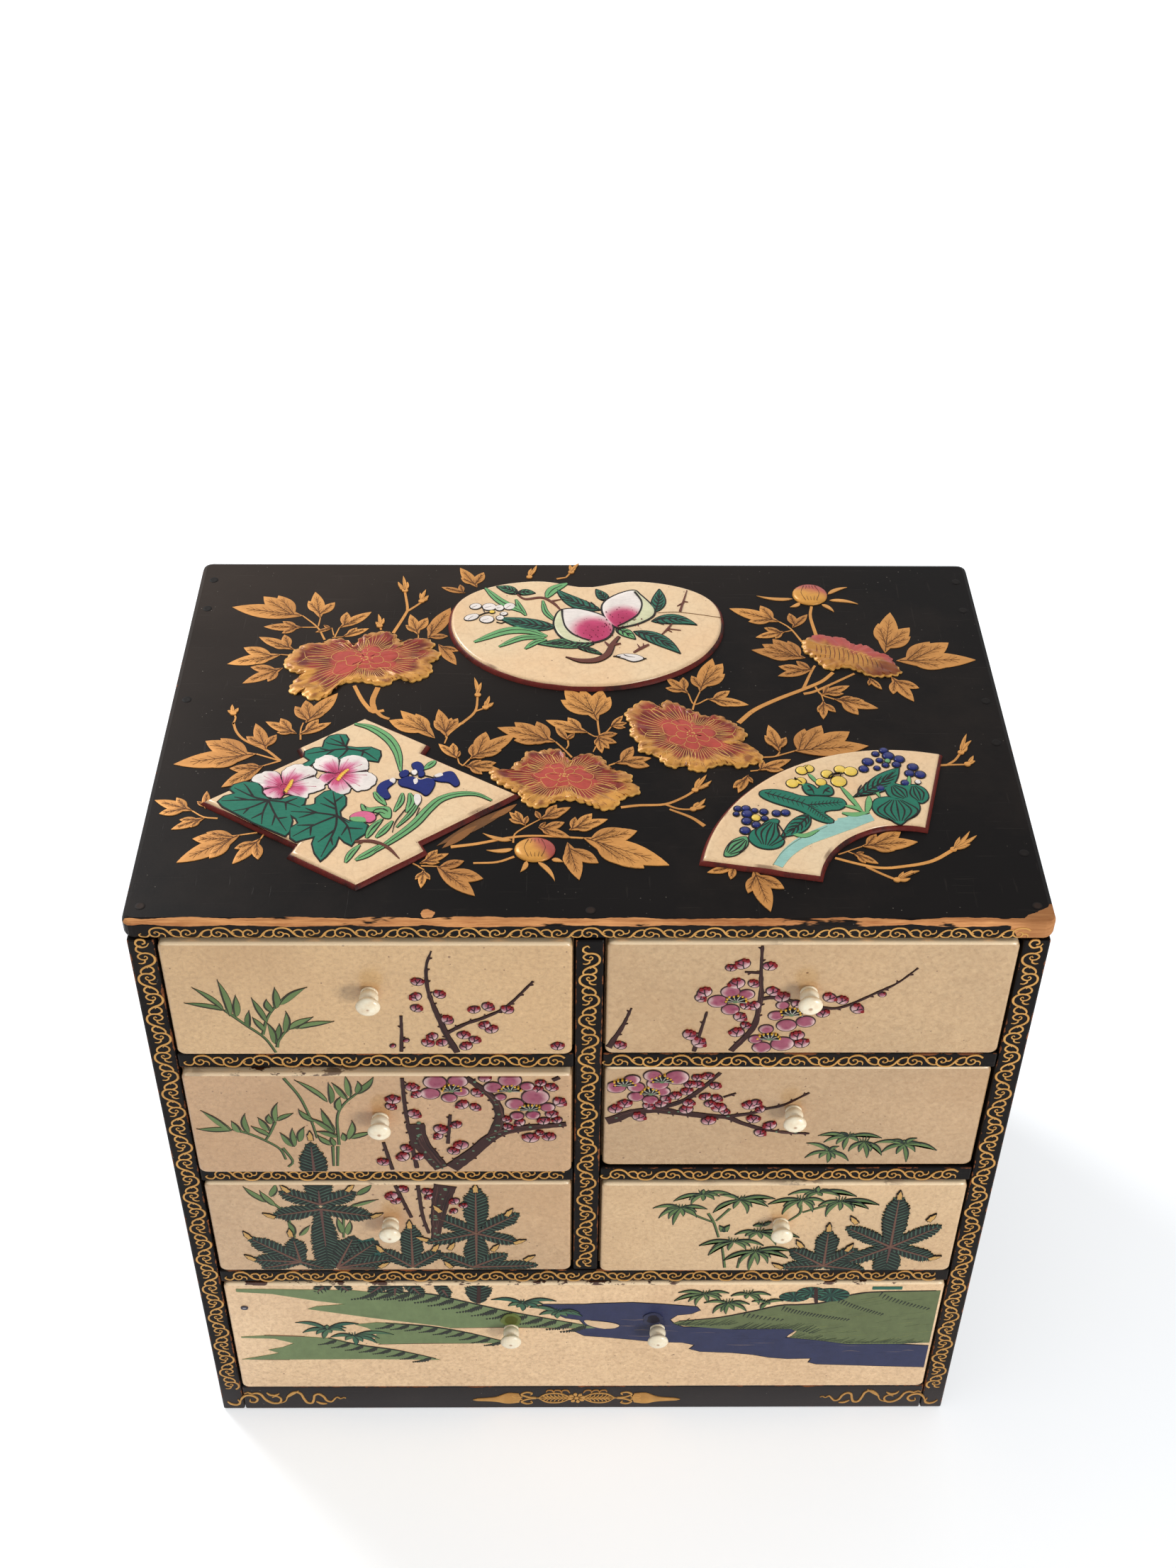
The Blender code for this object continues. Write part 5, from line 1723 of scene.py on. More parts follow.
def peach(relief, outline, centre, blush, crease, green_side, draw):
    """A ripe fruit: pale at its point, crimson at its cheek, a green sliver beyond the crease."""
    ring = smooth(outline, 0.9, True)
    relief.step()
    relief.shell(grown(ring, 0.85), 0.12, LINE)
    bend = smooth(crease, 0.8)

    def beyond(p):
        near = min(range(len(bend) - 1), key=lambda k: (bend[k] - p).length)
        d, q = bend[near + 1] - bend[near], p - bend[near]
        return (d.x * q.y - d.y * q.x) * green_side / max(1e-6, d.length)

    def tint(p, share):
        tone = blend(WHITE, PINK, ease(1.0, 0.45, (p - Vector(blush[:2])).length / blush[2]))
        tone = blend(tone, PINK_DEEP, 0.8 * ease(0.75, 0.1, (p - Vector(blush[:2])).length / blush[2]))
        return blend(tone, PALE_GREEN, ease(-0.1, 0.3, beyond(p)))

    shares = (1.0, 0.96, 0.9, 0.82, 0.74, 0.66, 0.58, 0.5, 0.42, 0.34, 0.26, 0.18, 0.1)
    dome = lambda p, share: 0.22 + 0.75 * math.sqrt(max(0.0, 1 - share * share))
    relief.mound(ring, centre, [(s, dome) for s in shares], tint)
    flat = relief.ground
    relief.ground = lambda u, v: 0.72
    relief.ribbon(crease, (0.9, 0.7, 0.9, 0.4), 0.22, LINE, 1.0, 0.6)
    middle = Vector(blush[:2])
    speckle(
        relief, draw, lambda p: (p - middle).length < blush[2] * 0.8, 46, middle - Vector((8, 8)),
        middle + Vector((8, 8)), rgb(110, 30, 50), (0.12, 0.28), 0.26
    )
    relief.ground = flat


def paint_peaches(paint):
    relief = Relief(top_place(PLAQUE_FACE))
    draw = random.Random(21)
    for path, width in rows_with_width("""
-25.4,67.4 -35,75 -41.7,84.2 3.4
-24.6,65.4 -27,70.6 -28.9,76.4 2.2
-16.3,77.6 -13.6,83.2 -7.8,87.6 4.2
-12.6,61.6 -16.6,68 -17.8,75.6 2.2
-16,51.4 -24,55.2 -33,54.6 -45,47.6 4.2
-17,50.6 -26,50.4 -35,44.6 3
-16,49.4 -20.4,47.6 -24.6,43.2 2.6
"""):
        blade(relief, path, width)
    for base, tip, width, bow, fill, veins in (
        ((5.6, 69.2), (-12.2, 83.4), 6.4, 0.10, LEAF_DARK, 6),
        ((8.6, 75.4), (4.2, 83.4), 4.2, 0.0, LEAF_DARK, 4),
        ((28.0, 68.0), (30.3, 83.6), 5.6, -0.04, LEAF_DARK, 5),
        ((26.6, 61.8), (44.4, 59.4), 6.2, 0.14, LEAF_DARK, 5),
        ((19.2, 54.8), (37.0, 40.6), 6.6, 0.08, LEAF_DARK, 6),
        ((-12.6, 57.4), (-35.6, 63.8), 7.2, 0.04, LEAF_DARK, 6),
        ((2.6, 46.4), (-19.4, 46.4), 6.2, -0.02, blend(LEAF_DARK, LEAF_LIGHT, 0.45), 7),
        ((12.0, 56.4), (19.4, 49.8), 4.4, 0.06, LEAF_LIGHT, 3),
        ((-4.0, 44.6), (6.0, 39.6), 2.6, 0.04, blend(LEAF_DARK, LEAF_LIGHT, 0.4), 4),
        ((-28.3, 80.4), (-36.8, 85.2), 4.6, -0.06, blend(LEAF_DARK, LEAF_LIGHT, 0.25), 4),
        ((-28.2, 80.6), (-21.2, 80.8), 3.6, 0.1, blend(LEAF_DARK, LEAF_LIGHT, 0.25), 3)
    ):
        enamel_leaf(relief, base, tip, width, fill, bow, veins)
    for path, widths in (
        ("-28.3,79.7 -25,76.6 -18.3,77.6 -13.6,74 -11,70 -10.4,68.2", (0.8, 1.2, 1.2, 1.3, 0.7)),
        ("-14,75.2 -10.4,76.4", (1.0, 0.3)), ("41.7,83 40,75.8 38.2,68.4", (0.4, 0.8, 1.1)),
        ("40,74.6 37.2,72", (0.8, 0.3)), ("39.9,75.2 41.8,74.8", (0.7, 0.3)),
        ("34.6,60.2 32.6,56.4 30.2,52.8", (0.6, 1.0, 0.5)), ("33,56.6 38,55.6", (0.6, 0.3)),
        ("32.6,56 34.4,54.4", (0.6, 0.3)), ("24.8,46.2 21.4,43.6 18.6,41", (0.9, 1.5, 0.8)),
        ("21.4,43.4 20.2,46.4", (0.9, 0.3)), ("22.6,44.4 22.6,47", (0.8, 0.3))
    ):
        relief.step()
        relief.ribbon(pts(path), widths, 0.22, BROWN, 1.0)
    relief.step()
    trunk = pts("-8.4,38 -2.6,35.6 3.6,36 7.8,39.2 9.4,43 10.4,46.4 13,51.4")
    relief.ribbon(trunk, (0.7, 2.8, 3.4, 3.2, 2.6, 1.6), 0.1, LINE, 1.0)
    relief.ribbon(trunk, (0.3, 2.2, 2.8, 2.6, 2.0, 1.0), 0.3, BROWN, 1.0)
    lines(relief, "9.4,44.4 7.2,47.8\n10.6,46 13.6,46.8", (1.6, 0.5), BROWN)
    for x, y, rx, ry, turn in (
        (-45.2, 71.4, 2.4, 1.9, 0.2), (-39.6, 71, 2.9, 2.4, 0.0), (-46.6, 64, 3.2, 1.9, 0.5),
        (-40.4, 62.6, 2.9, 2.4, 0.1), (-31.4, 71.4, 2.4, 2.2, 0.4), (-35.4, 70.4, 1.8, 2.0, 0.0),
        (-35, 63.6, 1.6, 1.5, 0.0), (-33.6, 66.4, 1.5, 1.2, 0.2)
    ):
        enamel(relief, circle(x, y, rx, ry, 16, turn), WHITE, 0.26, 0.22)
        c, s = math.cos(turn + 0.4), math.sin(turn + 0.4)
        relief.ribbon(
            [(x - 0.7 * rx * c, y - 0.7 * rx * s), (x + 0.3 * rx * c, y + 0.3 * rx * s)], (0.3, 0.12), 0.25,
            LINE, 9, sharp=True
        )
    enamel(relief, circle(-38.4, 67.6, 1.2, 1.0, 12), YELLOW, 0.2)
    lines(
        relief,
        "-42.6,71.4 -41.2,67 -39.6,67.4\n-43.6,65.2 -41.6,66.6 -39.6,67.2\n-36.4,60.8 -34.4,60 -32.4,61.4",
        (0.5, 0.4, 0.2), LINE, 0.2
    )
    enamel_curve(
        relief, "11.6,38.6 14.6,39.8 19.4,39.4 22.2,37.6 22.4,36.6 18.4,35 14.4,37", 0.9, WHITE, 0.3, 0.24
    )
    lines(relief, "13.4,38 10.4,38.4\n22.2,37 23.6,37\n14.6,39.2 16.6,38 19,37.6", (0.6, 0.3), LINE, 0.26)
    peach(
        relief,
        pts(
            "19.6,82.4 13.6,80 8.4,75.4 6.6,70.4 8,63.6 11.6,58 14.8,58 21.4,60.6 26.6,65 27.6,69.4 "
            "25.6,74 22,79.6"
        ),
        (15.8, 69.0), (15.0, 61.8, 11.0), pts("20,80.8 22.4,75 22.5,70 20.5,64.5 16,60 12.6,57.6"), 1, draw
    )
    peach(
        relief,
        pts(
            "-10.2,68.6 -4.4,69.6 1,68 6.6,64.8 10,60 10.2,54.6 7.4,50 1.4,47.4 -5.4,48 -10.4,51.6 "
            "-12.8,58 -12.4,64"
        ),
        (-1.4, 58.4), (3.0, 54.2, 12.0), pts("-10,68.6 -9.7,63 -8.6,57 -6,52.4 -2.4,49.6 1,48"), -1, draw
    )
    relief.ribbon(pts("29,67.4 36,68 44,66.8 55,64.2"), (0.14, 0.2, 0.12), 0.02, rgb(120, 84, 56), 2.0)
    relief.build("peach_painting", paint, "carcass", "cream_glaze", True)


def hibiscus(relief, outline, centre, stamen):
    """A white mallow flushed crimson at its heart."""
    centre = Vector(centre)
    ring = [p + (p - centre).normalized() * (0.9 * waver(p, 0.55, 3.0)) for p in smooth(outline, 0.8, True)]
    reach = radius_by_turn(ring, centre, 180)
    relief.step()
    relief.shell(grown(ring, 0.42), 0.1, LINE)

    def tint(p, share):
        turn = math.atan2(p.y - centre.y, p.x - centre.x)
        q = (
            p - centre
        ).length / 11.0 + 0.1 * math.sin(5 * turn) + 0.05 * math.sin(13 * turn) + 0.22 * waver(p, 0.3, 7.0)
        tone = blend(WHITE, rgb(232, 150, 178), ease(0.86, 0.5, q))
        tone = blend(tone, PINK, ease(0.55, 0.3, q) * 0.9)
        return blend(tone, PINK_DEEP, ease(0.3, 0.1, q) * 0.8)

    dome = lambda p, share: 0.25 + 0.35 * math.sin(math.pi * min(1.0, share)) + 0.05
    relief.mound(
        ring, centre,
        [(s, dome) for s in (1.0, 0.95, 0.87, 0.78, 0.68, 0.58, 0.48, 0.38, 0.28, 0.18, 0.09)], tint
    )
    flat, relief.ground = relief.ground, lambda u, v: 0.42
    for k in range(30):
        turn = 2 * math.pi * k / 30
        edge = reach[k * 6]
        d = heading(turn)
        relief.ribbon(
            [centre + d * 1.4, centre + d * (edge * 0.3), centre + d * (edge * (0.62 if k % 3 else 0.8))],
            (0.3, 0.24, 0.1), 0.24, rgb(206, 90, 130), 2.0, 0.4
        )
    notch = [k for k in range(180) if reach[k] == min(reach[(k + j) % 180] for j in range(-12, 13))]
    for k in notch:
        d = Vector((math.cos(k * math.pi / 90), math.sin(k * math.pi / 90)))
        relief.ribbon(
            [centre + d * (reach[k] * 0.3), centre + d * (reach[k] * 1.0)], (0.25, 0.75), 0.25,
            rgb(58, 26, 32), 2.0, 0.4
        )
    relief.ribbon(stamen, (0.7, 1.3, 1.0), 0.45, rgb(250, 176, 60), 0.8, 0.5)
    for p in smooth(stamen, 1.0):
        relief.shell(circle(p.x + 0.5, p.y, 0.5, sides=8), 0.55, YELLOW, 0.3)
    relief.ground = flat


def paint_mallows(paint):
    relief = Relief(top_place(PLAQUE_FACE))
    for path, width in rows_with_width("""
-88.6,-3.6 -82,-6 -75.4,-12 -71.4,-20 -69.4,-31 3.6
-56.8,-25 -58.8,-27.4 -60.8,-29.8 2.6
-78.4,-42.4 -76.2,-46 -73.6,-49.6 2.6
-68,-43 -68.4,-47.6 -70.4,-53 2.2
-65.4,-43 -64.6,-47.6 -66,-53.4 2.6
-61.6,-47 -64.4,-54 -69,-61.4 1.8
-85.8,-79.6 -84.2,-75 -81.4,-70.6 2.3
-82.4,-78.4 -77.6,-74.6 -73,-69.8 2.8
-79.4,-67 -77.4,-61.6 -74.4,-57 2.8
-76,-66.8 -73,-62.4 -70.6,-58 2.4
-77,-75 -70,-68 -63,-60 -58,-51.6 -54,-46.4 -48,-43.6 -41,-43.6 -35.4,-47 3.3
"""):
        blade(relief, path, width, midrib=0.5)
    lines(
        relief,
        "-78,-63 -74,-57\n-72.6,-52.8 -74.2,-51.6 -77.4,-52.4\n-66.6,-52 -69.6,-58.6 -70.4,-64\n-61.4,-51 "
        "-62.6,-56.4",
        (0.3, 0.4, 0.2)
    )
    enamel_curve(
        relief,
        "-82.6,-49 -79.8,-51 -76,-50.4 -72.6,-50.6 -71.4,-53 -71.6,-56.6 -74,-56.4 -76,-54 -79.6,-53.2 "
        "-82,-52.4",
        0.8, LEAF_LIGHT, 0.26
    )
    lines(
        relief,
        "-78.4,-54 -77,-52 -74.6,-51.8 -72.6,-53.4\n-77,-55.6 -75.6,-53.6 -73.6,-54.4\n-81.6,-49.6 "
        "-80.4,-52.2",
        (0.5, 0.6, 0.3)
    )
    enamel(
        relief,
        pts(
            "-99,-13.4 -97.6,-11 -94.6,-10 -91.4,-10.2 -90.2,-12.6 -91,-16.8 -87,-17.6 -81.4,-17.4 "
            "-77.8,-19.4 -77.4,-22 -78.2,-25.6 -82,-24.8 -87,-24.6 -92,-25 -97,-25 -101.4,-25.6 "
            "-103.6,-28.6 -106.2,-27.6 -103.4,-25 -105.8,-22.6 -105.8,-19.8 -102.6,-17.8 -99.4,-17.4"
        ),
        EMERALD
    )
    lines(
        relief,
        "-89.8,-18.4 -92.4,-15.4 -97,-12.4\n-91.6,-15.8 -93,-12 -93.6,-10.6\n-90.4,-17 -96,-15.8 "
        "-98.4,-14.8\n-89.8,-18.4 -95,-19 -104.8,-21.4\n-97,-19.4 -100.4,-18.2\n-95,-19 "
        "-98.6,-22.8\n-89.8,-18.4 -84,-20 -78.6,-24.8\n-85.4,-19.6 -81.4,-18.4\n-84,-20 "
        "-84.6,-23.4\n-89.8,-18.4 -91.6,-22 -93.6,-24.4"
    )
    enamel(
        relief,
        pts(
            "-131.2,-41 -130,-38.6 -126.4,-37 -121.6,-37.4 -119.6,-40 -119,-43.6 -116,-46.6 -112,-46.8 "
            "-109,-45 -105.4,-44.4 -103,-46 -103.2,-49 -105.6,-52 -108,-53.6 -106.6,-58 -107,-64 "
            "-108.4,-66 -113,-63.4 -120,-59.4 -127,-54.4 -132.6,-50.4 -134.6,-47.8 -132.8,-45 -129,-43.4"
        ),
        EMERALD
    )
    lines(
        relief,
        "-116.4,-47.2 -122,-45.4 -129.6,-40.4\n-122,-45.4 -125,-40 -126.4,-38.2\n-116.4,-47.2 -124,-47 "
        "-133.4,-47.6\n-124,-47 -129,-45.4\n-116.4,-47.2 -123,-51.4 -128.4,-53\n-123,-51.4 "
        "-124.6,-54.6\n-116.4,-47.2 -117.6,-54 -117.4,-60\n-117.6,-54 -121.4,-57\n-116.4,-47.2 -113,-55 "
        "-108.2,-63.6\n-113,-55 -113.6,-60.6\n-112,-57 -108.6,-56.4\n-116.4,-47.2 -110,-48.4 "
        "-104.4,-51\n-110,-48.4 -106,-46\n-110,-48.4 -109.4,-52.6"
    )
    enamel(
        relief,
        pts(
            "-99.2,-49 -99.4,-46 -96.4,-42.4 -93.6,-41.4 -90.4,-42.6 -88.4,-45.6 -88.2,-49.6 -90,-53 "
            "-89.4,-56 -86,-58.4 -82,-58 -79.4,-60.4 -80,-64.8 -83,-68 -84.4,-71 -87,-69.2 -89.2,-66.4 "
            "-90,-71 -93,-76.8 -94.6,-78.8 -97,-75 -98.4,-70 -97.8,-66.4 -101,-67.6 -104.2,-69 -106.4,-67 "
            "-107,-62 -104.4,-59.4 -105.4,-57 -108.6,-54.2 -108.8,-52.4 -105,-50.2 -101,-49.8"
        ),
        EMERALD
    )
    lines(
        relief,
        "-90.8,-55.4 -92,-49 -93.4,-42.4\n-91.8,-50 -96.6,-45.4\n-92.2,-48 -89.6,-45\n-91.4,-52 "
        "-97.4,-48.8\n-90.8,-55.4 -98,-54 -107.6,-53.2\n-98,-54 -102.6,-51.4\n-99,-54 "
        "-104.4,-56.6\n-90.8,-55.4 -98.4,-60.4 -105.6,-66.4\n-98.4,-60.4 -104.6,-60.6\n-99.6,-61.4 "
        "-99.4,-66\n-90.8,-55.4 -91,-63 -94.6,-77\n-91,-63 -96.4,-69.4\n-92,-67 -91,-71\n-90.8,-55.4 "
        "-86.6,-61 -84.4,-69.4\n-86.6,-61 -88.4,-65.8\n-86.2,-62 -81,-62.4\n-90.8,-55.4 -86,-59.4"
    )
    relief.step()
    relief.ribbon(
        pts("-83.4,-69 -80,-68.6 -76.4,-69 -71.4,-72 -67,-77.6"), (0.9, 1.4, 1.5, 1.2, 0.4), 0.3, BROWN, 1.0
    )
    relief.ribbon(pts("-80.4,-68.6 -82,-70.4"), (1.0, 0.4), 0.3, BROWN)
    enamel_curve(
        relief, "-86,-56.4 -84.6,-54 -81,-53 -77.6,-54.4 -76.8,-57 -78.6,-59 -80.6,-58.4 -81,-56.6", 0.7,
        rgb(226, 110, 148), 0.26, 0.36
    )
    enamel_curve(
        relief, "-86,-56.4 -82.4,-56 -80.4,-57 -80.2,-58.8 -83.4,-58.8 -85.6,-58", 0.7, LEAF_LIGHT, 0.2, 0.4
    )
    hibiscus(
        relief,
        pts(
            "-102,-27 -99.6,-23.4 -96.4,-22 -93.8,-23.2 -92.6,-25.2 -90.4,-22.8 -86.4,-22.2 -83,-24 "
            "-81.4,-27.6 -81.8,-31.6 -79,-33.2 -78.2,-37 -80.6,-40.8 -85,-41.8 -86.6,-40 -88,-43.2 "
            "-91.4,-43.4 -94.6,-41 -95.6,-38.4 -98.6,-36.6 -98.8,-33.6 -96.2,-31.8 -100.4,-30"
        ),
        (-92.2, -33.6), pts("-89.4,-31 -91,-33.6 -92.4,-36.6")
    )
    hibiscus(
        relief,
        pts(
            "-124,-36 -121.4,-32.6 -118,-31.4 -114.2,-32.4 -113.2,-35.4 -112.6,-30.6 -109,-27.6 -104.4,-28 "
            "-101,-30.6 -100.4,-35 -97.4,-36.4 -96.6,-40 -99.8,-42.4 -102.2,-43.6 -102.8,-46 -106.4,-44.8 "
            "-110.4,-43.6 -112.6,-45.8 -116.4,-45.4 -118.4,-42.6 -119.6,-39"
        ),
        (-111.6, -40.0), pts("-109.2,-37 -109.6,-39.8 -110.8,-43")
    )
    for outline in (
        "-65.6,-27 -63.6,-25.6 -61.6,-27 -60.8,-30.4 -62.6,-31.6 -64.8,-29.8",
        "-69.8,-32 -67.6,-30.2 -66.2,-31.6 -66.8,-34 -69,-34.6",
        "-77.6,-41 -76.2,-37.4 -72.8,-35.6 -71.6,-37.8 -73.6,-41 -72.2,-45 -73.8,-46.6 -76.4,-44.4",
        "-70,-36.6 -68,-34.6 -65,-34 -62,-35.8 -59,-34.8 -56.4,-37 -57.4,-42 -59.4,-44.6 -61.8,-42.6 "
        "-66,-40.4 -69,-39.2",
        "-58.6,-35.4 -55,-34.6 -53.6,-31.8 -50.4,-31.2 -48.4,-34.4 -47.4,-38 -49,-39.6 -51.4,-37.4 "
        "-55,-36.8",
        "-62.8,-31 -60.6,-31.4 -60.8,-34 -62.6,-34.2"
    ):
        enamel_curve(relief, outline, 0.8, BLUE, 0.2, 0.42)
    for outline in (
        "-65.6,-31.4 -64,-30.2 -63,-32 -64.4,-33.4", "-64.6,-36 -63,-35 -62.6,-37.4 -63.8,-38.8",
        "-57,-33.6 -54.6,-32 -53.4,-33.6 -56,-34.6", "-73.4,-36.4 -72,-34.8 -70.8,-36 -71.6,-38",
        "-63.6,-44 -61.4,-44.4 -61,-47.6 -62.4,-50.2 -63.6,-47.4"
    ):
        enamel_curve(relief, outline, 0.8, WHITE, 0.2, 0.46)
    lines(
        relief, "-71.8,-35.4 -69,-35.6 -67,-34.6\n-66.8,-31 -64.8,-33.6\n-60.4,-33.4 -57,-34.6",
        (0.4, 0.4, 0.3)
    )
    relief.build("lozenge_painting", paint, "carcass", "cream_glaze", True)


def ribs(relief, base, tip, count, spread):
    """Ribs that fan between the two ends of a broad leaf."""
    base, tip = Vector(base), Vector(tip)
    across = Vector((-(tip - base).y, (tip - base).x)).normalized()
    for k in range(count):
        bow = spread * ((k + 0.5) / count * 2 - 1)
        middle = base.lerp(tip, 0.5) + across * bow
        ends = [
            base.lerp(tip, 0.06) + across * (bow * 0.28), middle,
            base.lerp(tip, 0.93) + across * (bow * 0.32)
        ]
        relief.ribbon(ends, (0.4, 0.8, 0.4), 0.3, LINE, 1.4)


def paint_berries(paint):
    relief = Relief(top_place(PLAQUE_FACE))
    relief.step()
    stem = pts("66.2,-81 70,-74.6 76.6,-68.2 86.6,-62.4 94.4,-58.4 102.4,-55.6")
    relief.ribbon(stem, (3.4, 4.4, 5.2, 6.0, 6.4, 3.4), 0.14, TURQUOISE, 1.2)
    relief.ribbon(pts("90,-57.4 93.4,-56 95,-54.4"), (2.2, 1.2, 0.5), 0.16, TURQUOISE, 1.0)
    lines(relief, "64.4,-80.6 68.6,-73.6 75.4,-67 85.6,-60.6", (0.2, 0.3, 0.2), rgb(110, 128, 104), 0.2)
    for path, width in rows_with_width("""
92.6,-39 96,-46 99.2,-53 1.8
102.4,-44.4 101.8,-49 100.4,-53.6 2.4
91.6,-53.4 96,-54.4 101.6,-53 2.2
93,-49.6 96.6,-50.6 99.4,-53 1.6
81.4,-32 82.8,-34.4 84,-37 1.5
78.4,-37 79.4,-38.6 80.4,-40 1.4
111.6,-33 112,-36 112.4,-39 1.4
118.6,-33 118.2,-36 117.8,-39.6 1.4
105,-39 105.6,-42 106.4,-45 1.4
72,-64.4 77,-65.6 82.4,-62.6 2
"""):
        blade(relief, path, width, edge=0.26, midrib=0.0)
    enamel_curve(
        relief,
        "78.6,-39.4 80,-37.4 82.6,-38.6 84,-40.4 86,-37.8 88.8,-39 89.6,-42 88.4,-43.8 84,-44 80,-43.2",
        0.8, EMERALD
    )
    lines(
        relief,
        "80.6,-38.6 82,-41 82.4,-43.4\n82,-41 80,-41.4\n88.4,-39.8 86.6,-41.4 85.6,-43.4\n86.6,-41.4 "
        "88.6,-42.4"
    )
    enamel_curve(
        relief,
        "62.4,-43.2 63.6,-41.4 68,-40.8 73,-42.2 78,-44.4 84,-44.6 89,-45.2 92.4,-46 93.6,-49 91,-51.6 "
        "87,-52.2 85.2,-53.6 88.2,-57.6 86.6,-59 82,-57.2 77,-52.8 72,-50.2 67,-47.8 63.4,-45.2",
        1.0, EMERALD, 0.42
    )
    lines(relief, "64.4,-42.6 72,-46 79.4,-49.4 86.6,-57.6\n79.4,-49.4 86,-48.6 92.4,-47.8", (0.6, 0.6, 0.3))
    for k in range(8):
        for start, end, width, *veins in (
            ((65.4, -43.2), (79, -49.2), 0.4, (1.6, 1.6 if k < 6 else 2.4), (0.6, -2.2)),
            ((80.6, -49.3), (91.6, -48), 0.36, (0.9, 1.8), (1.2, -1.5)),
            ((80, -50.4), (86, -57), 0.36, (1.7, 0.3), (-0.7, -1.7)),
        ):
            root = Vector(start).lerp(Vector(end), k / 8)
            for vein in veins:
                relief.ribbon([root, root + Vector(vein)], (width, 0.2), 0.3, LINE, 9, sharp=True)
    enamel_leaf(relief, (79.6, -54.4), (68.6, -66.2), 6.6, EMERALD, 0.05, 5, 0.4)
    enamel_leaf(relief, (97.0, -44.6), (115.4, -28.6), 7.6, EMERALD, -0.06, 7, 0.42, 0.55)
    enamel_curve(
        relief,
        "61,-61.4 63.6,-58.4 66.4,-56.8 68.4,-57.6 67.4,-61 67.8,-65 69.4,-68.4 67.6,-71.4 63.6,-72.6 "
        "59.4,-71.2 57,-67.6 58,-63.6",
        0.9, EMERALD, 0.42
    )
    ribs(relief, (66.8, -58), (62.6, -71.6), 6, 6.4)
    enamel_curve(
        relief, "47.6,-76 49,-71 52,-67.4 56,-66.2 56.4,-70 54,-73.6 51,-76", 0.9,
        blend(EMERALD, LEAF_LIGHT, 0.6), 0.34
    )
    ribs(relief, (56, -67.4), (48.6, -75.4), 4, 3.6)
    enamel_curve(
        relief,
        "109,-40.4 112,-37.4 116,-38.6 120,-38 123.4,-40.4 124.2,-45 121.4,-48.2 118.4,-46.6 114.6,-45.8 "
        "110.6,-45.4",
        0.9, EMERALD, 0.42
    )
    ribs(relief, (111.6, -38.4), (116, -46), 4, 3.6)
    ribs(relief, (119.4, -38.4), (121, -47.6), 4, 3.4)
    enamel_curve(
        relief,
        "103,-50.4 104.6,-46.2 109,-44.8 112.4,-45.8 116.4,-44.8 119.6,-47 120.2,-51 118.4,-54.6 115,-57 "
        "112,-59.6 109,-57.4 104.6,-54.6",
        0.9, EMERALD, 0.42
    )
    ribs(relief, (112, -45.8), (112, -58.8), 7, 8.6)
    for x, y, r in (
        (81.7, -29.1, 1.9), (79.1, -30.2, 2.1), (75, -37.4, 2.2), (78.3, -36.1, 1.8), (85.6, -36.8, 1.9),
        (88.3, -32.2, 2.1), (93.3, -29.6, 2.0), (97.2, -30.7, 2.4), (92.2, -36.3, 2.8)
    ):
        berry(relief, x, y, r, YELLOW, 0.42)
    lines(
        relief,
        "81,-31 80.4,-29 81.4,-28\n78.4,-37.4 77,-35.8 76,-34.6\n88.6,-34.6 90,-32.6 93,-31.8\n90,-34 "
        "91,-32\n93,-33.6 93.6,-31.6",
        (0.5, 0.4, 0.3), LINE, 0.7
    )
    dots = (
        "110.9,-18.8,1.5 107.6,-20.7,1.2 112.2,-21.8,2 116.1,-23.7,1.8 104.2,-25.2,1.9 108.7,-24.4,1.1 "
        "114.7,-26.8,1.4 110.6,-27.1,1.1 107.2,-28.8,1 102.2,-29.3,1.6 120.6,-28.2,1.8 118.9,-31.8,1.6 "
        "122.8,-32.4,1.8 116.7,-37.1,1.4 107.2,-40.2,1.4"
    )
    dots += (
        " 53.9,-51.3,1.2 56.9,-51.3,1.4 57.2,-54.1,1.8 60,-52.4,1 63.3,-53,1.3 56.7,-58,1.6 60,-60,1.4 "
        "55.8,-63,1.7 63.3,-56.6,1.1 67.8,-53.8,1.4 71.1,-53.5,1.4 53.2,-54.2,0.9"
    )
    for x, y, r in pts(dots):
        berry(relief, x, y, r, BLUE, 0.5)
    berry(relief, 111.6, -24.8, 1.0, LEAF_LIGHT, 0.3)
    berry(relief, 60.2, -56.3, 1.6, YELLOW, 0.4)
    berry(relief, 121.4, -36.6, 1.0, WHITE, 0.3)
    relief.build("fan_painting", paint, "carcass", "cream_glaze", True)


# Paintings on the drawers. Their heights were read on the carcass's front plane, so each drawer's drawing
# is moved up by what its tile stands proud.

INK = rgb(28, 22, 22)
GREEN_DARK_LINE = rgb(34, 44, 38)
STALK_LINE = rgb(50, 46, 34)
BAMBOO = rgb(86, 109, 65)
BAMBOO_PALE = rgb(122, 142, 90)
GRASS = rgb(44, 90, 74)
WOOD_DARK = rgb(54, 30, 27)
WOOD_PALE = rgb(88, 58, 52)
LICHEN = rgb(92, 116, 92)
PLUM = rgb(152, 82, 100)
PLUM_PALE = rgb(206, 174, 170)
PLUM_DEEP = rgb(126, 34, 46)
SEPAL = rgb(126, 24, 30)
PETAL_LINE = rgb(52, 34, 34)
PINE = rgb(30, 41, 35)
NEEDLE = rgb(66, 89, 75)
RIB = rgb(94, 64, 58)
CANDLE = rgb(196, 154, 92)
BANK = rgb(112, 128, 88)
HILL = rgb(98, 108, 72)
RIVER = rgb(48, 52, 82)
BANK_MARK = rgb(42, 46, 40)
CREAM = rgb(220, 188, 150)
PROUD_RISE = 1.03


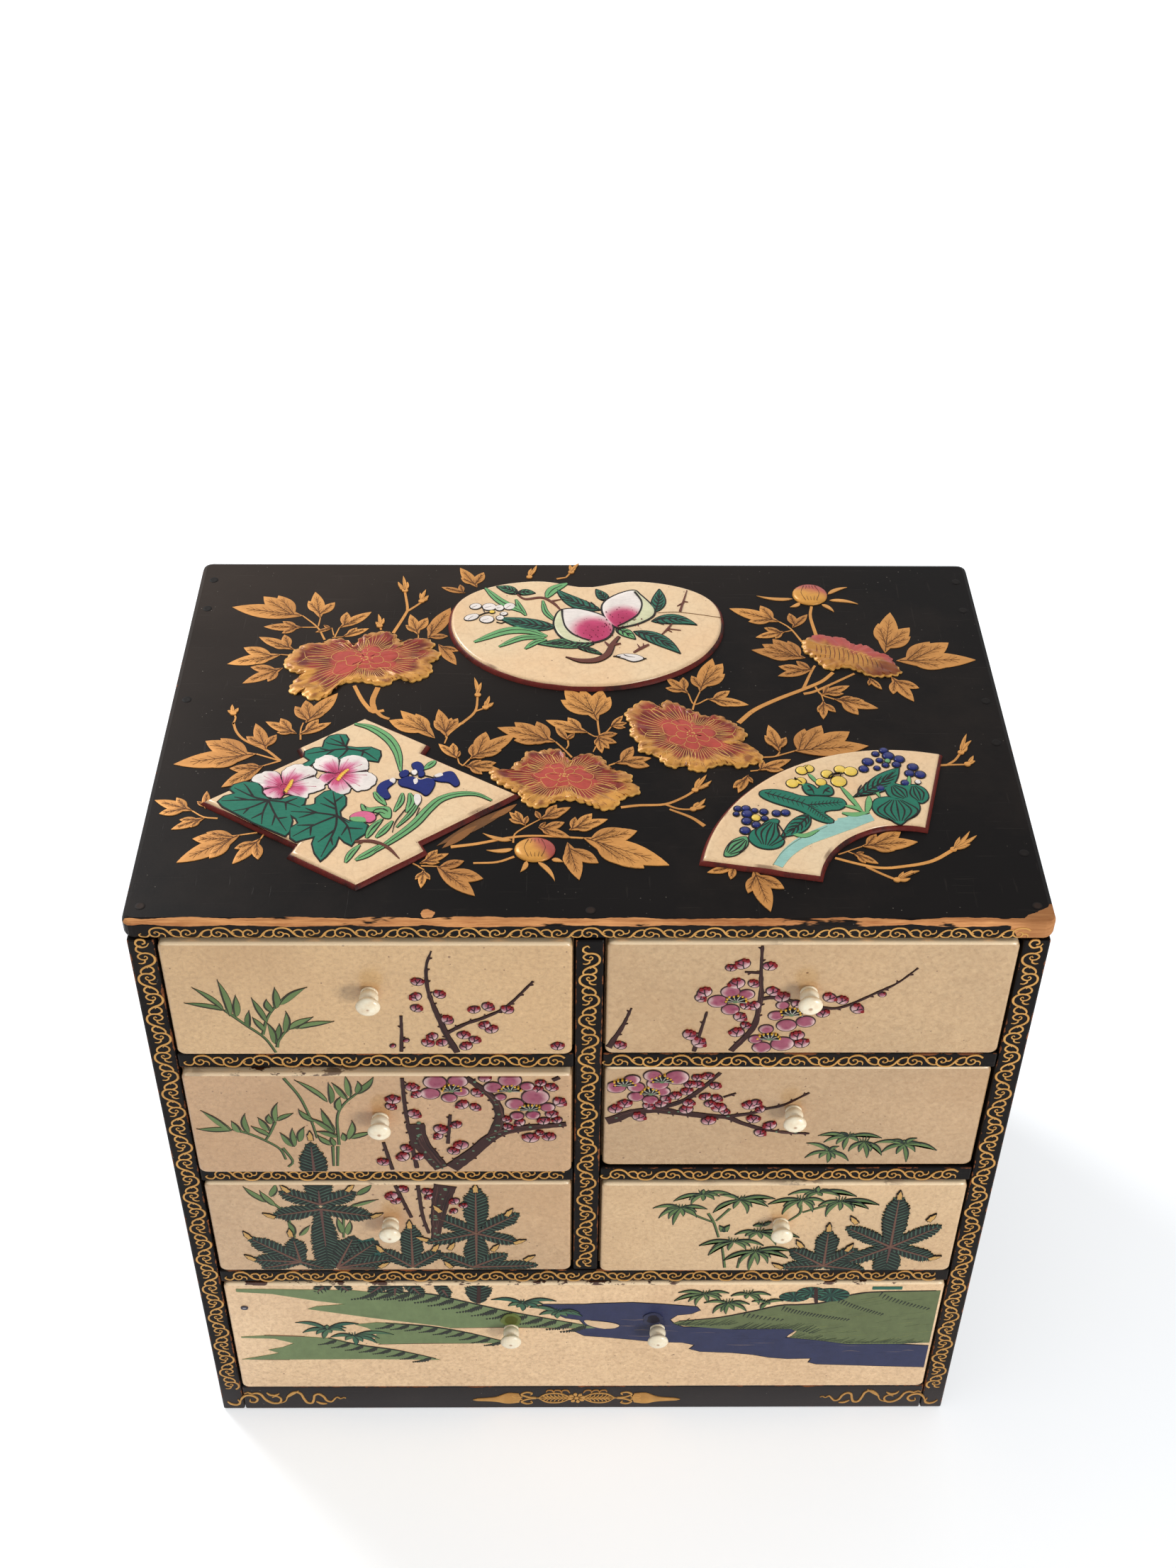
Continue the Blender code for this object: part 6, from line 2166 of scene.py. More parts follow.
def tile_relief(drawer):
    rise = DRAWERS[drawer] * PROUD_RISE
    low, high = tile_box(drawer)
    bottom, top = low.z - rise, high.z - rise

    def ground(u, v):
        inset = TILE_ROUND - min(u - low.x, high.x - u, v - bottom, top - v)
        inset = min(TILE_ROUND, max(0.0, inset))
        return math.sqrt(TILE_ROUND ** 2 - inset ** 2) - TILE_ROUND

    margin = 1.3
    window = ((low.x + margin, bottom + margin), (high.x - margin, top - margin))
    place = lambda u, v, w: Vector((u, low.y - w, v + rise)) * MM
    return Relief(place, ground, window)


def bars(text):
    return [pts(part) for part in text.replace("\n", "|").split("|") if part.strip()]


def bamboo(relief, leaves, stems, draw, width=2.5):
    for path in bars(stems):
        relief.step()
        relief.ribbon(path, (1.4, 1.25, 1.1), 0.06, STALK_LINE, 1.5)
        relief.ribbon([(x + 0.2, z + 0.1) for x, z in path], (0.85, 0.7, 0.55), 0.12, BAMBOO, 1.5)
    for tip, base in bars(leaves):
        relief.step()
        bow = draw.uniform(-0.07, 0.07)
        wide = width * draw.uniform(0.8, 1.1)
        tone = blend(BAMBOO, BAMBOO_PALE, draw.uniform(0.0, 0.6))
        side = draw.choice((1, -1))
        outline = leaf_outline(base, tip, wide, bow, 0.34, 10)
        relief.shell(grown(outline, 0.16), 0.08, STALK_LINE)
        relief.shell(outline, 0.13, tone)
        relief.ribbon(
            leaf_line(base, tip, bow, 0.0, 1.06, side * wide * 0.46, 9), (0.3, 0.8, 0.7, 0.3), 0.16,
            STALK_LINE, sharp=True
        )


def plum_wood(relief, branches, draw):
    """Branches, each a line of points with its first and last width."""
    for path, first, last in branches:
        relief.step()
        path = pts(path)
        steps = max(4, round(len(smooth(path, 1.4)) / 1.3))
        knots = [
            first + (last - first) * k / steps + draw.uniform(-0.13, 0.13) * min(first, 3.4)
            for k in range(steps + 1)
        ]
        relief.ribbon(path, [w + 0.3 for w in knots], 0.1, INK, 0.9)
        relief.ribbon(path, knots, 0.28, WOOD_DARK, 0.9)
        curve = smooth(path, 2.0)
        if first > 2.2:
            for k in range(int(first * 1.6)):
                at = draw.uniform(-0.38, 0.38)
                streak = []
                for i, p in enumerate(curve):
                    q = curve[min(i + 1, len(curve) - 1)] - curve[max(0, i - 1)]
                    n = left_of(q).normalized()
                    wide = first + (last - first) * i / max(1, len(curve) - 1)
                    streak.append(p + n * (wide * at + draw.uniform(-0.1, 0.1)))
                a = draw.randint(0, max(0, len(streak) - 4))
                relief.ribbon(
                    streak[a:a + draw.randint(3, 9)], (0.15, 0.4, 0.15), 0.33,
                    draw.choice((WOOD_PALE, INK, WOOD_PALE)), sharp=True
                )
        if first > 3.5:
            for _ in range(int(first * 2)):
                p = draw.choice(curve)
                q = (p.x + draw.uniform(-0.4, 0.4) * last, p.y + draw.uniform(-1.0, 1.0))
                relief.shell(
                    circle(q[0], q[1], draw.uniform(0.4, 0.9), draw.uniform(0.3, 0.6), 8), 0.34, LICHEN
                )
        for k in range(2, len(curve) - 1, 3):
            d = curve[k + 1] - curve[k]
            n = left_of(d).normalized() * draw.choice((1, -1))
            wide = first + (last - first) * k / len(curve)
            relief.ribbon(
                [curve[k] + n * (wide * 0.3), curve[k] + n * (wide * 0.5 + 0.8) + d * 0.3], (1.0, 0.4),
                0.24, WOOD_DARK, sharp=True
            )


def bud(relief, x, z, r, draw):
    relief.step()
    r *= 0.92
    centre = Vector((x, z))
    turn = math.pi / 2 + draw.uniform(-0.9, 0.9)
    d = heading(turn)
    n = left_of(d)
    edge = lambda grow: [
        centre + n * ((1.08 * r + grow) * math.cos(a)) + d * ((0.86 * r + grow) * math.sin(a))
        for a in (2 * math.pi * k / 16 for k in range(16))
    ]
    relief.shell(edge(0.46), 0.12, PETAL_LINE)

    def tint(p, share):
        up = (p - centre).dot(d) / r
        off = waver(p, 0.7, r)
        return blend(
            blend(PLUM_PALE, PLUM, ease(-0.6, 0.35, up + 0.3 * off)), PLUM_DEEP,
            0.8 * ease(0.55, 0.95, up + 0.35 * off)
        )

    relief.mound(edge(0.0), centre, [(1.0, 0.2), (0.86, 0.42), (0.62, 0.56), (0.3, 0.64)], tint)
    if r > 1.3:
        fork = centre - d * (r * 0.05)
        for end in (
            centre + d * (r * 0.7) + n * (r * 0.5), centre + d * (r * 0.7) - n * (r * 0.45),
            centre - d * (r * 0.65) + n * (r * 0.15)
        ):
            relief.ribbon([fork, end], (0.55, 0.4), 0.68, INK, sharp=True, sink=-0.2)
    for a in draw.sample((-1.2, -0.6, 0.0, 0.6, 1.2), 3 if r > 1.3 else 1):
        p = centre + (d * math.cos(a) * 0.9 + n * math.sin(a) * 1.1) * (r * 0.95)
        relief.shell(circle(p.x, p.y, 0.26 * r + 0.16, sides=9), 0.5, SEPAL)


def blossom(relief, centre, petals, draw):
    centre = Vector(centre)
    for x, z, r in petals:
        relief.step()
        c = Vector((x, z))
        away = (c - centre).normalized()
        relief.shell(circle(x, z, r * 1.08 + 0.46, r * 0.92 + 0.46, 20), 0.12, PETAL_LINE)

        def tint(p, share):
            off = waver(p, 0.5, x)
            rim = ease(0.5, 0.98, (p - c).length / r + 0.25 * off)
            return blend(
                blend(PLUM, rgb(136, 58, 84), ease(0.1, 0.6, off)), PLUM_PALE,
                rim * ease(-0.5, 0.6, ((p - c).dot(away) - (p.y - z)) / r)
            )

        relief.mound(
            circle(x, z, r * 1.08, r * 0.92, 20), c,
            [(1.0, 0.2), (0.9, 0.4), (0.7, 0.5), (0.45, 0.52), (0.2, 0.5)], tint
        )
    relief.step()
    for k in range(17):
        turn = math.pi / 2 + (k - 8) / 8 * 1.7
        size = draw.uniform(3.2, 4.4)
        tip = centre + Vector((math.cos(turn), math.sin(turn) * 0.85)) * size
        relief.ribbon(
            [centre.lerp(tip, 0.1), tip], (0.6, 0.34), 0.66, INK if k % 3 else rgb(168, 164, 150),
            sharp=True
        )
        if k % 2:
            relief.shell(circle(tip.x, tip.y, 0.46, sides=8), 0.76, rgb(214, 166, 62))
    relief.shell(circle(centre.x, centre.y, 1.0, 0.7, sides=10), 0.7, rgb(96, 116, 84))


def pine_arm(relief, base, tip, half, draw):
    """A spray of needles: dark and green strokes slanting forward from a brown rib."""
    relief.step()
    base, tip = Vector(base), Vector(tip)
    size = (tip - base).length
    along = (tip - base) / size
    across = left_of(along)
    half *= 1.08
    wide = lambda t: half * (0.6 + 0.4 * ease(0.0, 0.4, t)) * (1 - 0.6 * ease(0.62, 1.0, t) ** 1.6)
    count = max(5, round(size / 0.98))
    left, right = [], []
    for k in range(count + 1):
        p = base + along * (size * k / count + wide(k / count) * 0.42)
        ragged = 0.95 if k % 2 else 0.8
        left.append(p + across * (wide(k / count) * ragged))
        right.append(p - across * (wide(k / count) * ragged))
    relief.shell([base] + left + [tip + along * (half * 0.5)] + right[::-1], 0.1, PINE)
    for k in range(count + 1):
        t = k / count
        tone = blend(PINE, INK, 0.7) if k % 2 else blend(NEEDLE, PINE, draw.uniform(0.0, 0.35))
        for side in (1, -1):
            a = base + along * (size * t) + across * (side * 0.3)
            b = a + along * (wide(t) * draw.uniform(0.5, 0.66)) + across * (
                side * wide(t) * draw.uniform(0.82, 0.98)
            )
            relief.ribbon([a, a.lerp(b, 0.55), b], (0.5, 0.78, 0.26), 0.13 + 0.02 * (k % 2), tone, sharp=True)
    relief.ribbon([base, base.lerp(tip, 0.6), tip], (1.3, 1.0, 0.5), 0.18, RIB, sharp=True)
    relief.ribbon([base, tip], (0.34, 0.2), 0.2, blend(RIB, CANDLE, 0.18), sharp=True)


def pines(relief, arms, candles, draw):
    ends = []
    for base, *tips in arms:
        for x, z, half in tips:
            pine_arm(relief, base, (x, z), half, draw)
            ends.append((Vector((x, z)), (Vector((x, z)) - Vector(base)).normalized()))
    for c in pts(candles):
        c = Vector(c)
        _, lean = min(ends, key=lambda e: (e[0] - c).length)
        lean = (lean + Vector((0.0, 0.8))).normalized()
        relief.step()
        for turn, size in ((-0.5, 3.6), (0.55, 3.8), (0.0, 5.6)):
            d = Vector(
                (
                    lean.x * math.cos(turn) - lean.y * math.sin(turn),
                    lean.x * math.sin(turn) + lean.y * math.cos(turn)
                )
            )
            outline = leaf_outline(c - d * 1.8, c + d * (size - 1.8), 1.6, 0.0, 0.5, 7)
            relief.shell(grown(outline, 0.3), 0.2, INK)
            relief.shell(outline, 0.26, CANDLE)


def clump(relief, text, draw, width=2.0, tone=GRASS):
    """A tuft of arching leaves: its middle, then the tips, with shorter leaves between them."""
    for middle, *tips in bars(text):
        centre = Vector(middle)
        around = sorted((Vector(p) for p in tips), key=lambda p: math.atan2(p.y - centre.y, p.x - centre.x))
        between = [
            centre + ((a - centre) + (b - centre)) * draw.uniform(0.30, 0.42) for a,
            b in zip(around, around[1:])
        ]
        for tip in between + [Vector(p) for p in tips]:
            relief.step()
            lean = tip.x - centre.x
            bow = math.copysign(0.13, lean) * (1 if abs(lean) > 3 else 0.3)
            fill = blend(tone, BAMBOO_PALE, draw.uniform(0.0, 0.35))
            outline = leaf_outline(centre, tip, width * draw.uniform(0.8, 1.05), bow, 0.42, 10)
            relief.shell(grown(outline, 0.18), 0.08, GREEN_DARK_LINE)
            relief.shell(outline, 0.13, fill)
            relief.ribbon(
                leaf_line(centre, tip, bow, 0.02, 1.0, math.copysign(width * 0.42, lean), 9),
                (0.3, 0.7, 0.55, 0.25), 0.16, GREEN_DARK_LINE, sharp=True
            )
        for k in range(4):
            x = middle[0] + (k - 1.5) * 0.8
            relief.ribbon(
                [(x, middle[1] + 0.2), (x + (k - 1.5) * 0.5, middle[1] + draw.uniform(1.8, 3.2))],
                (0.6, 0.3), 0.14, blend(tone, GREEN_DARK_LINE, 0.6), sharp=True
            )


def paint_tile(
    paint, drawer, seed, leaves="", stems="", wood=(), flowers=(), buds="", fans=(), candles="", tufts="",
    back=""
):
    """One tile's painting: bamboo, plum and pine from their points."""
    relief = tile_relief(drawer)
    draw = random.Random(seed)
    if back:
        relief.shell(pts(back), 0.08, rgb(40, 78, 70))
    bamboo(relief, leaves, stems, draw)
    plum_wood(relief, wood, draw)
    clump(relief, tufts, draw, 1.9, BAMBOO)
    pines(relief, fans, candles, draw)
    for centre, petals in flowers:
        blossom(relief, centre, pts(petals), draw)
    for x, z, r in pts(buds):
        bud(relief, x, z, r, draw)
    relief.build(f"{drawer}_painting", paint, drawer, "cream_glaze", True)


def paint_drawers(paint):
    paint_tile(
        paint, "drawer_upper_left", 31,
        leaves=(
            "-139.5,275.5 -130.2,264|-143,267.7 -129.8,264|-130.5,279 -128.3,261|-125.2,271.5 "
            "-126.2,260.5|-121.2,263.5 -122,255|-119.5,270 -115.8,258|-120.2,260 -117,253|-114.5,269.5 "
            "-113.2,263|-111,275.5 -111.5,265|-100.2,275.8 -110,267|-115.2,257 -113.5,246|-111,256.5 "
            "-112,248.5|-108,263 -109.2,252|-99,260.2 -107.5,254|-92,258 -104.5,254.5"
        ),
        stems=(
            "-129.8,264 -123,256 -117,249 -113.2,239.8|-117.5,251 -115,260 -111,267|-113,244 -112,248 "
            "-108,254 -104.5,254.5"
        ),
        wood=(
            ("-47.5,240.5 -51,250 -53.5,259 -56,269 -57.2,277 -57,287 -55,294.5", 2.4, 0.6),
            ("-51,252 -44,257 -37,260.5 -29,266.5 -19.8,279.2", 1.5, 0.6),
            ("-68.2,240 -67.5,251 -67.2,261.2", 1.2, 0.8)
        ),
        buds=(
            "-60.5,279,2.1 -61.5,271.2,2.1 -53,272.5,2.1 -61.5,265.2,2 -50.8,259,2.3 -56.5,250,2 "
            "-58.2,246.5,2.2 -53,246.7,2 -45.2,250.8,2.2 -41.2,248.2,2 -44.5,244.8,2.2 -41,264.5,2 "
            "-36,266,2.2 -37.5,256.2,2 -35,254,2.2 -29.2,264.5,2.2 -11.2,244.8,2.2 -66,248,0.9 -71,245,0.9"
        )
    )
    paint_tile(
        paint, "drawer_upper_right", 32,
        wood=(
            ("52,242 59,254 60.5,263 61,273 60.2,284 59.7,300", 2.4, 0.9), ("60,283.5 54.5,284", 1.2, 0.8),
            ("61,270 67,270.5 83,265.5 91,266 103,274 109,278.5 115.2,286", 1.6, 0.5),
            ("7,243 9,248 12,255 15.2,265.2", 2.2, 0.6), ("38.5,241.8 40.5,253 42.2,263.2", 1.5, 0.7)
        ),
        flowers=(
            ((52, 269), "50,273.8,3 45.8,268.8,3.2 50.5,264.5,2.8 55.8,272.5,2.5"),
            ((72.5, 262), "67,261.2,2.4 69,266.8,2 71.2,256,3.2 78,258,3"),
            ((65.5, 249), "60.5,248.5,2.2 63,244,3 70.5,246,3.8 64,254,2.3")
        ),
        buds=(
            "53.5,288,2.6 49.5,286.2,1.8 63,287,2.3 52,278,2.8 58,278,2 40.8,273.5,2.6 39.5,270.5,2 "
            "65,274,2.4 68.5,271,2.6 56,266.5,2 59,266.5,2.2 54.2,260.5,2.4 56.5,256,1.8 53.5,252.2,2.6 "
            "36.5,250.8,2.6 40,246.7,2.8 11.5,245.2,2.2 75.5,250.5,2.5 77.5,246.3,2.6 85.5,270.8,2.4 "
            "90,269.5,2.2 95.8,265,2.5 83.8,262.5,2.2 74,267.5,2 104,272.5,1.2"
        )
    )
    paint_tile(
        paint, "drawer_middle_left", 33,
        leaves=(
            "-144,208 -134.5,196.5|-146.8,197.5 -134,197|-133.7,202 -131,195.5|-128.5,206.2 "
            "-128.2,195|-126.5,199 -120.5,193.5|-123.5,204 -120.2,196.5|-119.5,206 "
            "-119.2,200.5|-115.8,212.5 -117.5,201.5|-110.5,206.7 -116.5,202.5|-116,195 "
            "-112,187|-111.5,197.5 -111.5,187|-107,198.5 -109.5,190|-107.5,225.5 -97,213.5|-95.8,224 "
            "-95.8,212.5|-94.2,224 -89.5,215|-89.2,228 -88.2,216.5|-84.8,225 -85.5,218.5|-79,227.5 "
            "-86,218|-92.2,216 -93.5,208.5|-108,208.8 -103,202|-99.5,208.8 -95.5,196|-104,204 "
            "-95.5,195.5|-102,196 -94.5,193|-88.5,202 -90.5,191.5|-92.5,195 -92,190.5|-82,195.5 "
            "-89.5,192|-102,193.5 -97.5,188|-97.2,192.5 -96.5,187.5"
        ),
        stems=(
            "-112,227 -107,216 -104,203 -102.5,192|-134,197.5 -127,194 -120.5,189 -117,185 "
            "-115.5,179|-94.5,188 -94,204 -91,212 -86,218|-97,187 -97.5,175|-95,187 -96,175|-117.5,201.5 "
            "-120,195 -122,191|-116,186 -113,178 -115,174.5"
        ),
        fans=(((-105.2, 150), (-105.2, 187, 5.2)), ), candles="-105,192.5",
        wood=(
            ("-68.5,229 -68.2,210 -67.5,200", 1.2, 1.2),
            ("-65,200.6 -63.6,190 -59.6,181 -56,174", 7.0, 5.6), ("-67,190 -65.5,174", 1.5, 1.5),
            ("-52,174 -44,183 -36,193 -27,197.5 -8,200.5", 6.0, 2.0),
            ("-35.5,194 -33,205 -35,215 -41,223 -45.5,228", 4.2, 2.2), ("-53,189 -51.5,206", 1.2, 1.0),
            ("-77.5,189.5 -75,173", 1.0, 1.3), ("-13,226 -7.5,229.5", 1.5, 1.5)
        ),
        flowers=(
            ((-50.5, 220.5), "-56.5,225,3.8 -48,225.5,3.3 -58.5,218.5,3.2 -47,219.5,2.5 -51.5,216,2.5"),
            ((-29, 220.5), "-28.8,226,3.8 -35.2,222,3 -22.5,222.5,2.3 -32.5,216.5,1.8"),
            ((-21.5, 209.5), "-19.5,216.5,4.6 -27.2,212.5,3 -15,210.5,2.4 -26.5,205.5,2.2 -20.5,206,2.3")
        ),
        buds=(
            "-65,222,2.4 -63.5,218,2 -72.5,215,2.6 -73.5,211,2 -65,206.5,2.5 -38,227.2,2.2 -41.2,218.8,2.2 "
            "-46.8,212,2.4 -42,210.5,2 -17.5,224.5,1.8 -13.5,222,2.2 -18.5,221,1.8 -10.5,213.5,2.5 "
            "-13.5,206.5,2.2 -16.5,202.5,2.2 -11.5,203,1.8 -30.5,203.5,1.8 -25.5,201.5,2 -30,199,1.8 "
            "-55.5,197.5,2.6 -49.5,200.2,2 -56.5,193.5,1.8 -48,188,2.6 -51,184.5,2.2 -69,186,2.2 "
            "-70.5,181,2.6 -64.5,181,2 -78.2,177.8,2.2 -21.5,192.5,3 -14.5,193,2.4 -18,195.2,1.6"
        )
    )
    paint_tile(
        paint, "drawer_middle_right", 34,
        wood=(
            (
                "6.5,201 11,203 16,206 25,208 36,206 45,204.5 53,203.5 59,200 67,196.5 76,194.5 85,193.8",
                4.0, 0.8
            ),
            ("26,208.5 36,213.5 43,221 49,229.5", 2.4, 1.2),
            ("52.5,204 62,206 67,208.5 74,211 83,218", 1.6, 0.6), ("51,215.5 55.5,217.8", 0.8, 0.6)
        ),
        flowers=(
            ((23.5, 218), "18,221.5,2.8 18,216,2.6 23.5,214,2.6 28,219,2.4"),
            ((27.5, 225), "26,223.5,3.6 33,227,4 24,228,3"), ((13.5, 223), "10.5,221.5,3.3 16.5,225.8,2.6")
        ),
        buds=(
            "10.5,208.8,2.6 14,211.8,2.5 19.5,204.2,2.6 23,210.5,2.2 27.5,211.8,2.2 29.2,214.5,2 "
            "32.8,216.5,2.2 37,219,2.2 38,223,2 41,223,2 40.5,227,1.8 44.5,227.8,2 47.5,222.2,2 "
            "38,212.2,2.2 37.2,208.5,2.5 44,216,2 48.5,215,2 46,211.8,2 49.5,209.5,2.6 51.8,207.2,1.8 "
            "46,201.8,2.6 61,211,2.6 63.5,212.2,2 65.2,208.5,1.8 63,202.8,2.4 69.5,199,2.4 66,194.5,2.2"
        ),
        tufts=(
            "100,192 88.5,192.5 91,188.5 97,194.5 113,191 99,184|93.5,183 84.5,188 84.5,179 93.5,176 "
            "101.5,177 97,186|106.5,189 101,183 108.5,179 114,180.5|122,187.5 110.5,188 114,182.5 "
            "124,176.5 135,183.5 126.5,191 117,190"
        )
    )
    paint_tile(
        paint, "drawer_lower_left", 35,
        leaves=(
            "-134,161 -126.5,151.5|-121.5,163 -124,155|-128,158.5 -123,149|-84,162.5 -90,156|-82.5,153 "
            "-93,149|-119,139 -117.5,129|-110.5,136 -115,129.5|-99,141 -98,131|-94,139 -95.6,130"
        ),
        stems="-123,150 -119,143 -117,128|-96.6,141 -97.4,128",
        wood=(
            ("-75,163 -73,155 -69.5,141.5", 1.3, 1.3), ("-66,164 -65,143 -63,131", 1.4, 1.2),
            ("-55,163 -58,148 -60.5,128", 9.0, 3.0)
        ),
        buds=(
            "-71.7,160,2 -76.5,155.5,2.6 -75,152.5,2 -62.5,158.5,2 -62,155,1.6 -52,152.2,2 -48.5,149.5,1.6 "
            "-52.5,145.8,1.5"
        ),
        back="-99,126 -94,129 -90,126 -85.5,128 -84,123 -82,116 -83,111 -88,107 -98,107.5 -100,116",
        fans=(
            ((-105, 147), (-105, 106, 5.5), (-122.5, 143, 4.5), (-86.5, 142.5, 4.5)),
            ((-105, 150), (-105, 165, 5.5), (-119, 157.5, 4), (-92, 157, 4)),
            (
                (-116, 111.6), (-134, 126.8, 4.5), (-133.5, 113, 4.2), (-117.6, 126, 4), (-131, 107.5, 3),
                (-107, 107.5, 3)
            ),
            ((-101.5, 107.5), (-94, 127, 5), (-85.5, 124, 5), (-80, 113, 4.4), (-86, 107.5, 3.4)),
            ((-70.5, 108), (-70, 135, 4.5), (-82, 119, 3.5), (-60, 118, 3.5)),
            (
                (-44, 131), (-44.5, 108, 5), (-63, 125, 3.5), (-28.5, 125, 3.5), (-60.5, 142, 4),
                (-28, 143, 4), (-43.5, 159, 5)
            ),
            ((-46, 108), (-58, 116, 3.5), (-33, 116, 3.5), (-21, 109, 3.5))
        ),
        candles=(
            "-117.5,159.5 -93,160 -125,142.5 -84,142.5 -135.5,129 -135.5,114 -118.5,130.5 -70.5,136 "
            "-83,120 -61,120.5 -65,127 -58.5,146.5 -54.5,121.5 -43.5,159.5 -37,120.5 -31,144 -27.5,125 "
            "-23.5,113.5 -83,109 -55.5,109"
        )
    )
    paint_tile(
        paint, "drawer_lower_right", 36,
        stems=(
            "57.5,104 56,116 55,123|48.5,144 51,138 53.5,128|57,147 52,139|85,149 85,144 81,139|95,149 "
            "86,144.5|63,114 62,104|37.5,147 46,141 51,138"
        ),
        tufts=(
            "46,156.5 34.5,152 41.5,150 57,156.5 46,159.5 50.5,153|37.5,148 26.5,147.5 29,141 34.8,136.5 "
            "44,141.5 48,146.8|60.5,153 50.5,144.5 64,144 72,148.5 74.5,153.5 52.5,156|91,158 79.5,156 "
            "87,154 106.5,155 100,155 91,161.5|85,153 72,150 78,143.5 90,145 94.5,151.5|100.5,152 95.5,142 "
            "106,145.5 112,147 116,149.5 92,149|59.5,125.5 46,122.5 50,116 65,120 72,122.5|69.5,132 60,130 "
            "66,127 77,123 86,128|69,119 56.5,112.5 67,105 74.5,110.5 82.5,114 83.5,119|55.5,132 53.5,136 "
            "57.5,136.5|71,136 67,136 74,138.5"
        ),
        fans=(
            ((97.5, 109), (97.5, 131, 4.5), (84.5, 119, 4), (109, 119, 4), (82, 108, 3.5), (113, 106, 3.5)),
            (
                (123.5, 122), (123, 104, 5.5), (108, 112, 4), (141, 114, 4), (106, 134, 4), (141, 135, 4),
                (123.5, 153, 5)
            )
        ),
        candles="97.5,134 87,123 106.5,120.5 79.5,108.3 123.5,155 107.5,139 137.5,140.5 141.5,114"
    )
    paint_river(paint)


BANKS = (
    (
        "-144.5,92.5 -134,92.5 -96,91.5 -88,90 -66,89 -51,83.5 -32,76 -12,69.5 0,66 5,63.5 0,63.2 -32,64 "
        "-57,63.8 -62,65.5 -90,71.5 -116,78 -112,80 -100,81.5 -112,84 -130,89 -144.5,90.5",
        "-90,90.3 -66,89 -51,83.5 -32,76 -12,69.5 3,64.8", 6.6, 1.0
    ),
    (
        "-97,66.5 -88,68 -80,67.5 -66,65 -52,61 -42,57 -32,52.2 -47,52.2 -67,52.2 -86,51.5 -90,53 -88,60 "
        "-92,64",
        "-84,67.6 -66,65 -52,61 -42,57 -34,53.4", 6.2, 0.72
    ),
    (
        "-146,57.5 -134,58.5 -119,57.5 -107,56 -96,51 -82,47.5 -70,43 -62,39.5 -92,40.2 -127,40 "
        "-147.5,40.2 -141,42 -131,45 -135.5,47.5 -129,49.5 -124,52.5 -132,56 -146,56.7",
        "-109,56.4 -96,51 -82,47.5 -70,43 -64,40.4", 6.2, 0.72
    )
)


def crescents(relief, edge, gap, size, draw):
    """Rows of brush marks that hang from the crest of a bank and curl back from it."""
    curve = smooth(edge, 0.5)
    every = round(gap / 0.5)
    sweep = pts(
        "0.4,-0.3,2.6 -0.5,-0.3,3.5 -1.4,-0.5,3.8 -2.3,-0.9,3.6 -3.2,-1.5,3.2 -4.1,-2.2,2.7 -5.1,-2.9,2.2 "
        "-6.2,-3.5,1.7 -7.4,-4.0,1.3 -8.7,-4.4,1.0 -10.0,-4.7,0.8"
    )
    for k in range(every // 2, len(curve), every):
        for x, z, long in sweep:
            top = curve[k] + Vector((x, z)) * size
            long *= size * draw.uniform(0.85, 1.15)
            tip = top + Vector((-0.22, -1.0)) * long
            wide = 0.9 + 0.3 * size
            relief.ribbon(
                [top, top.lerp(tip, 0.4), tip], (wide * 0.6, wide, wide * 0.4), 0.24, BANK_MARK, sharp=True
            )


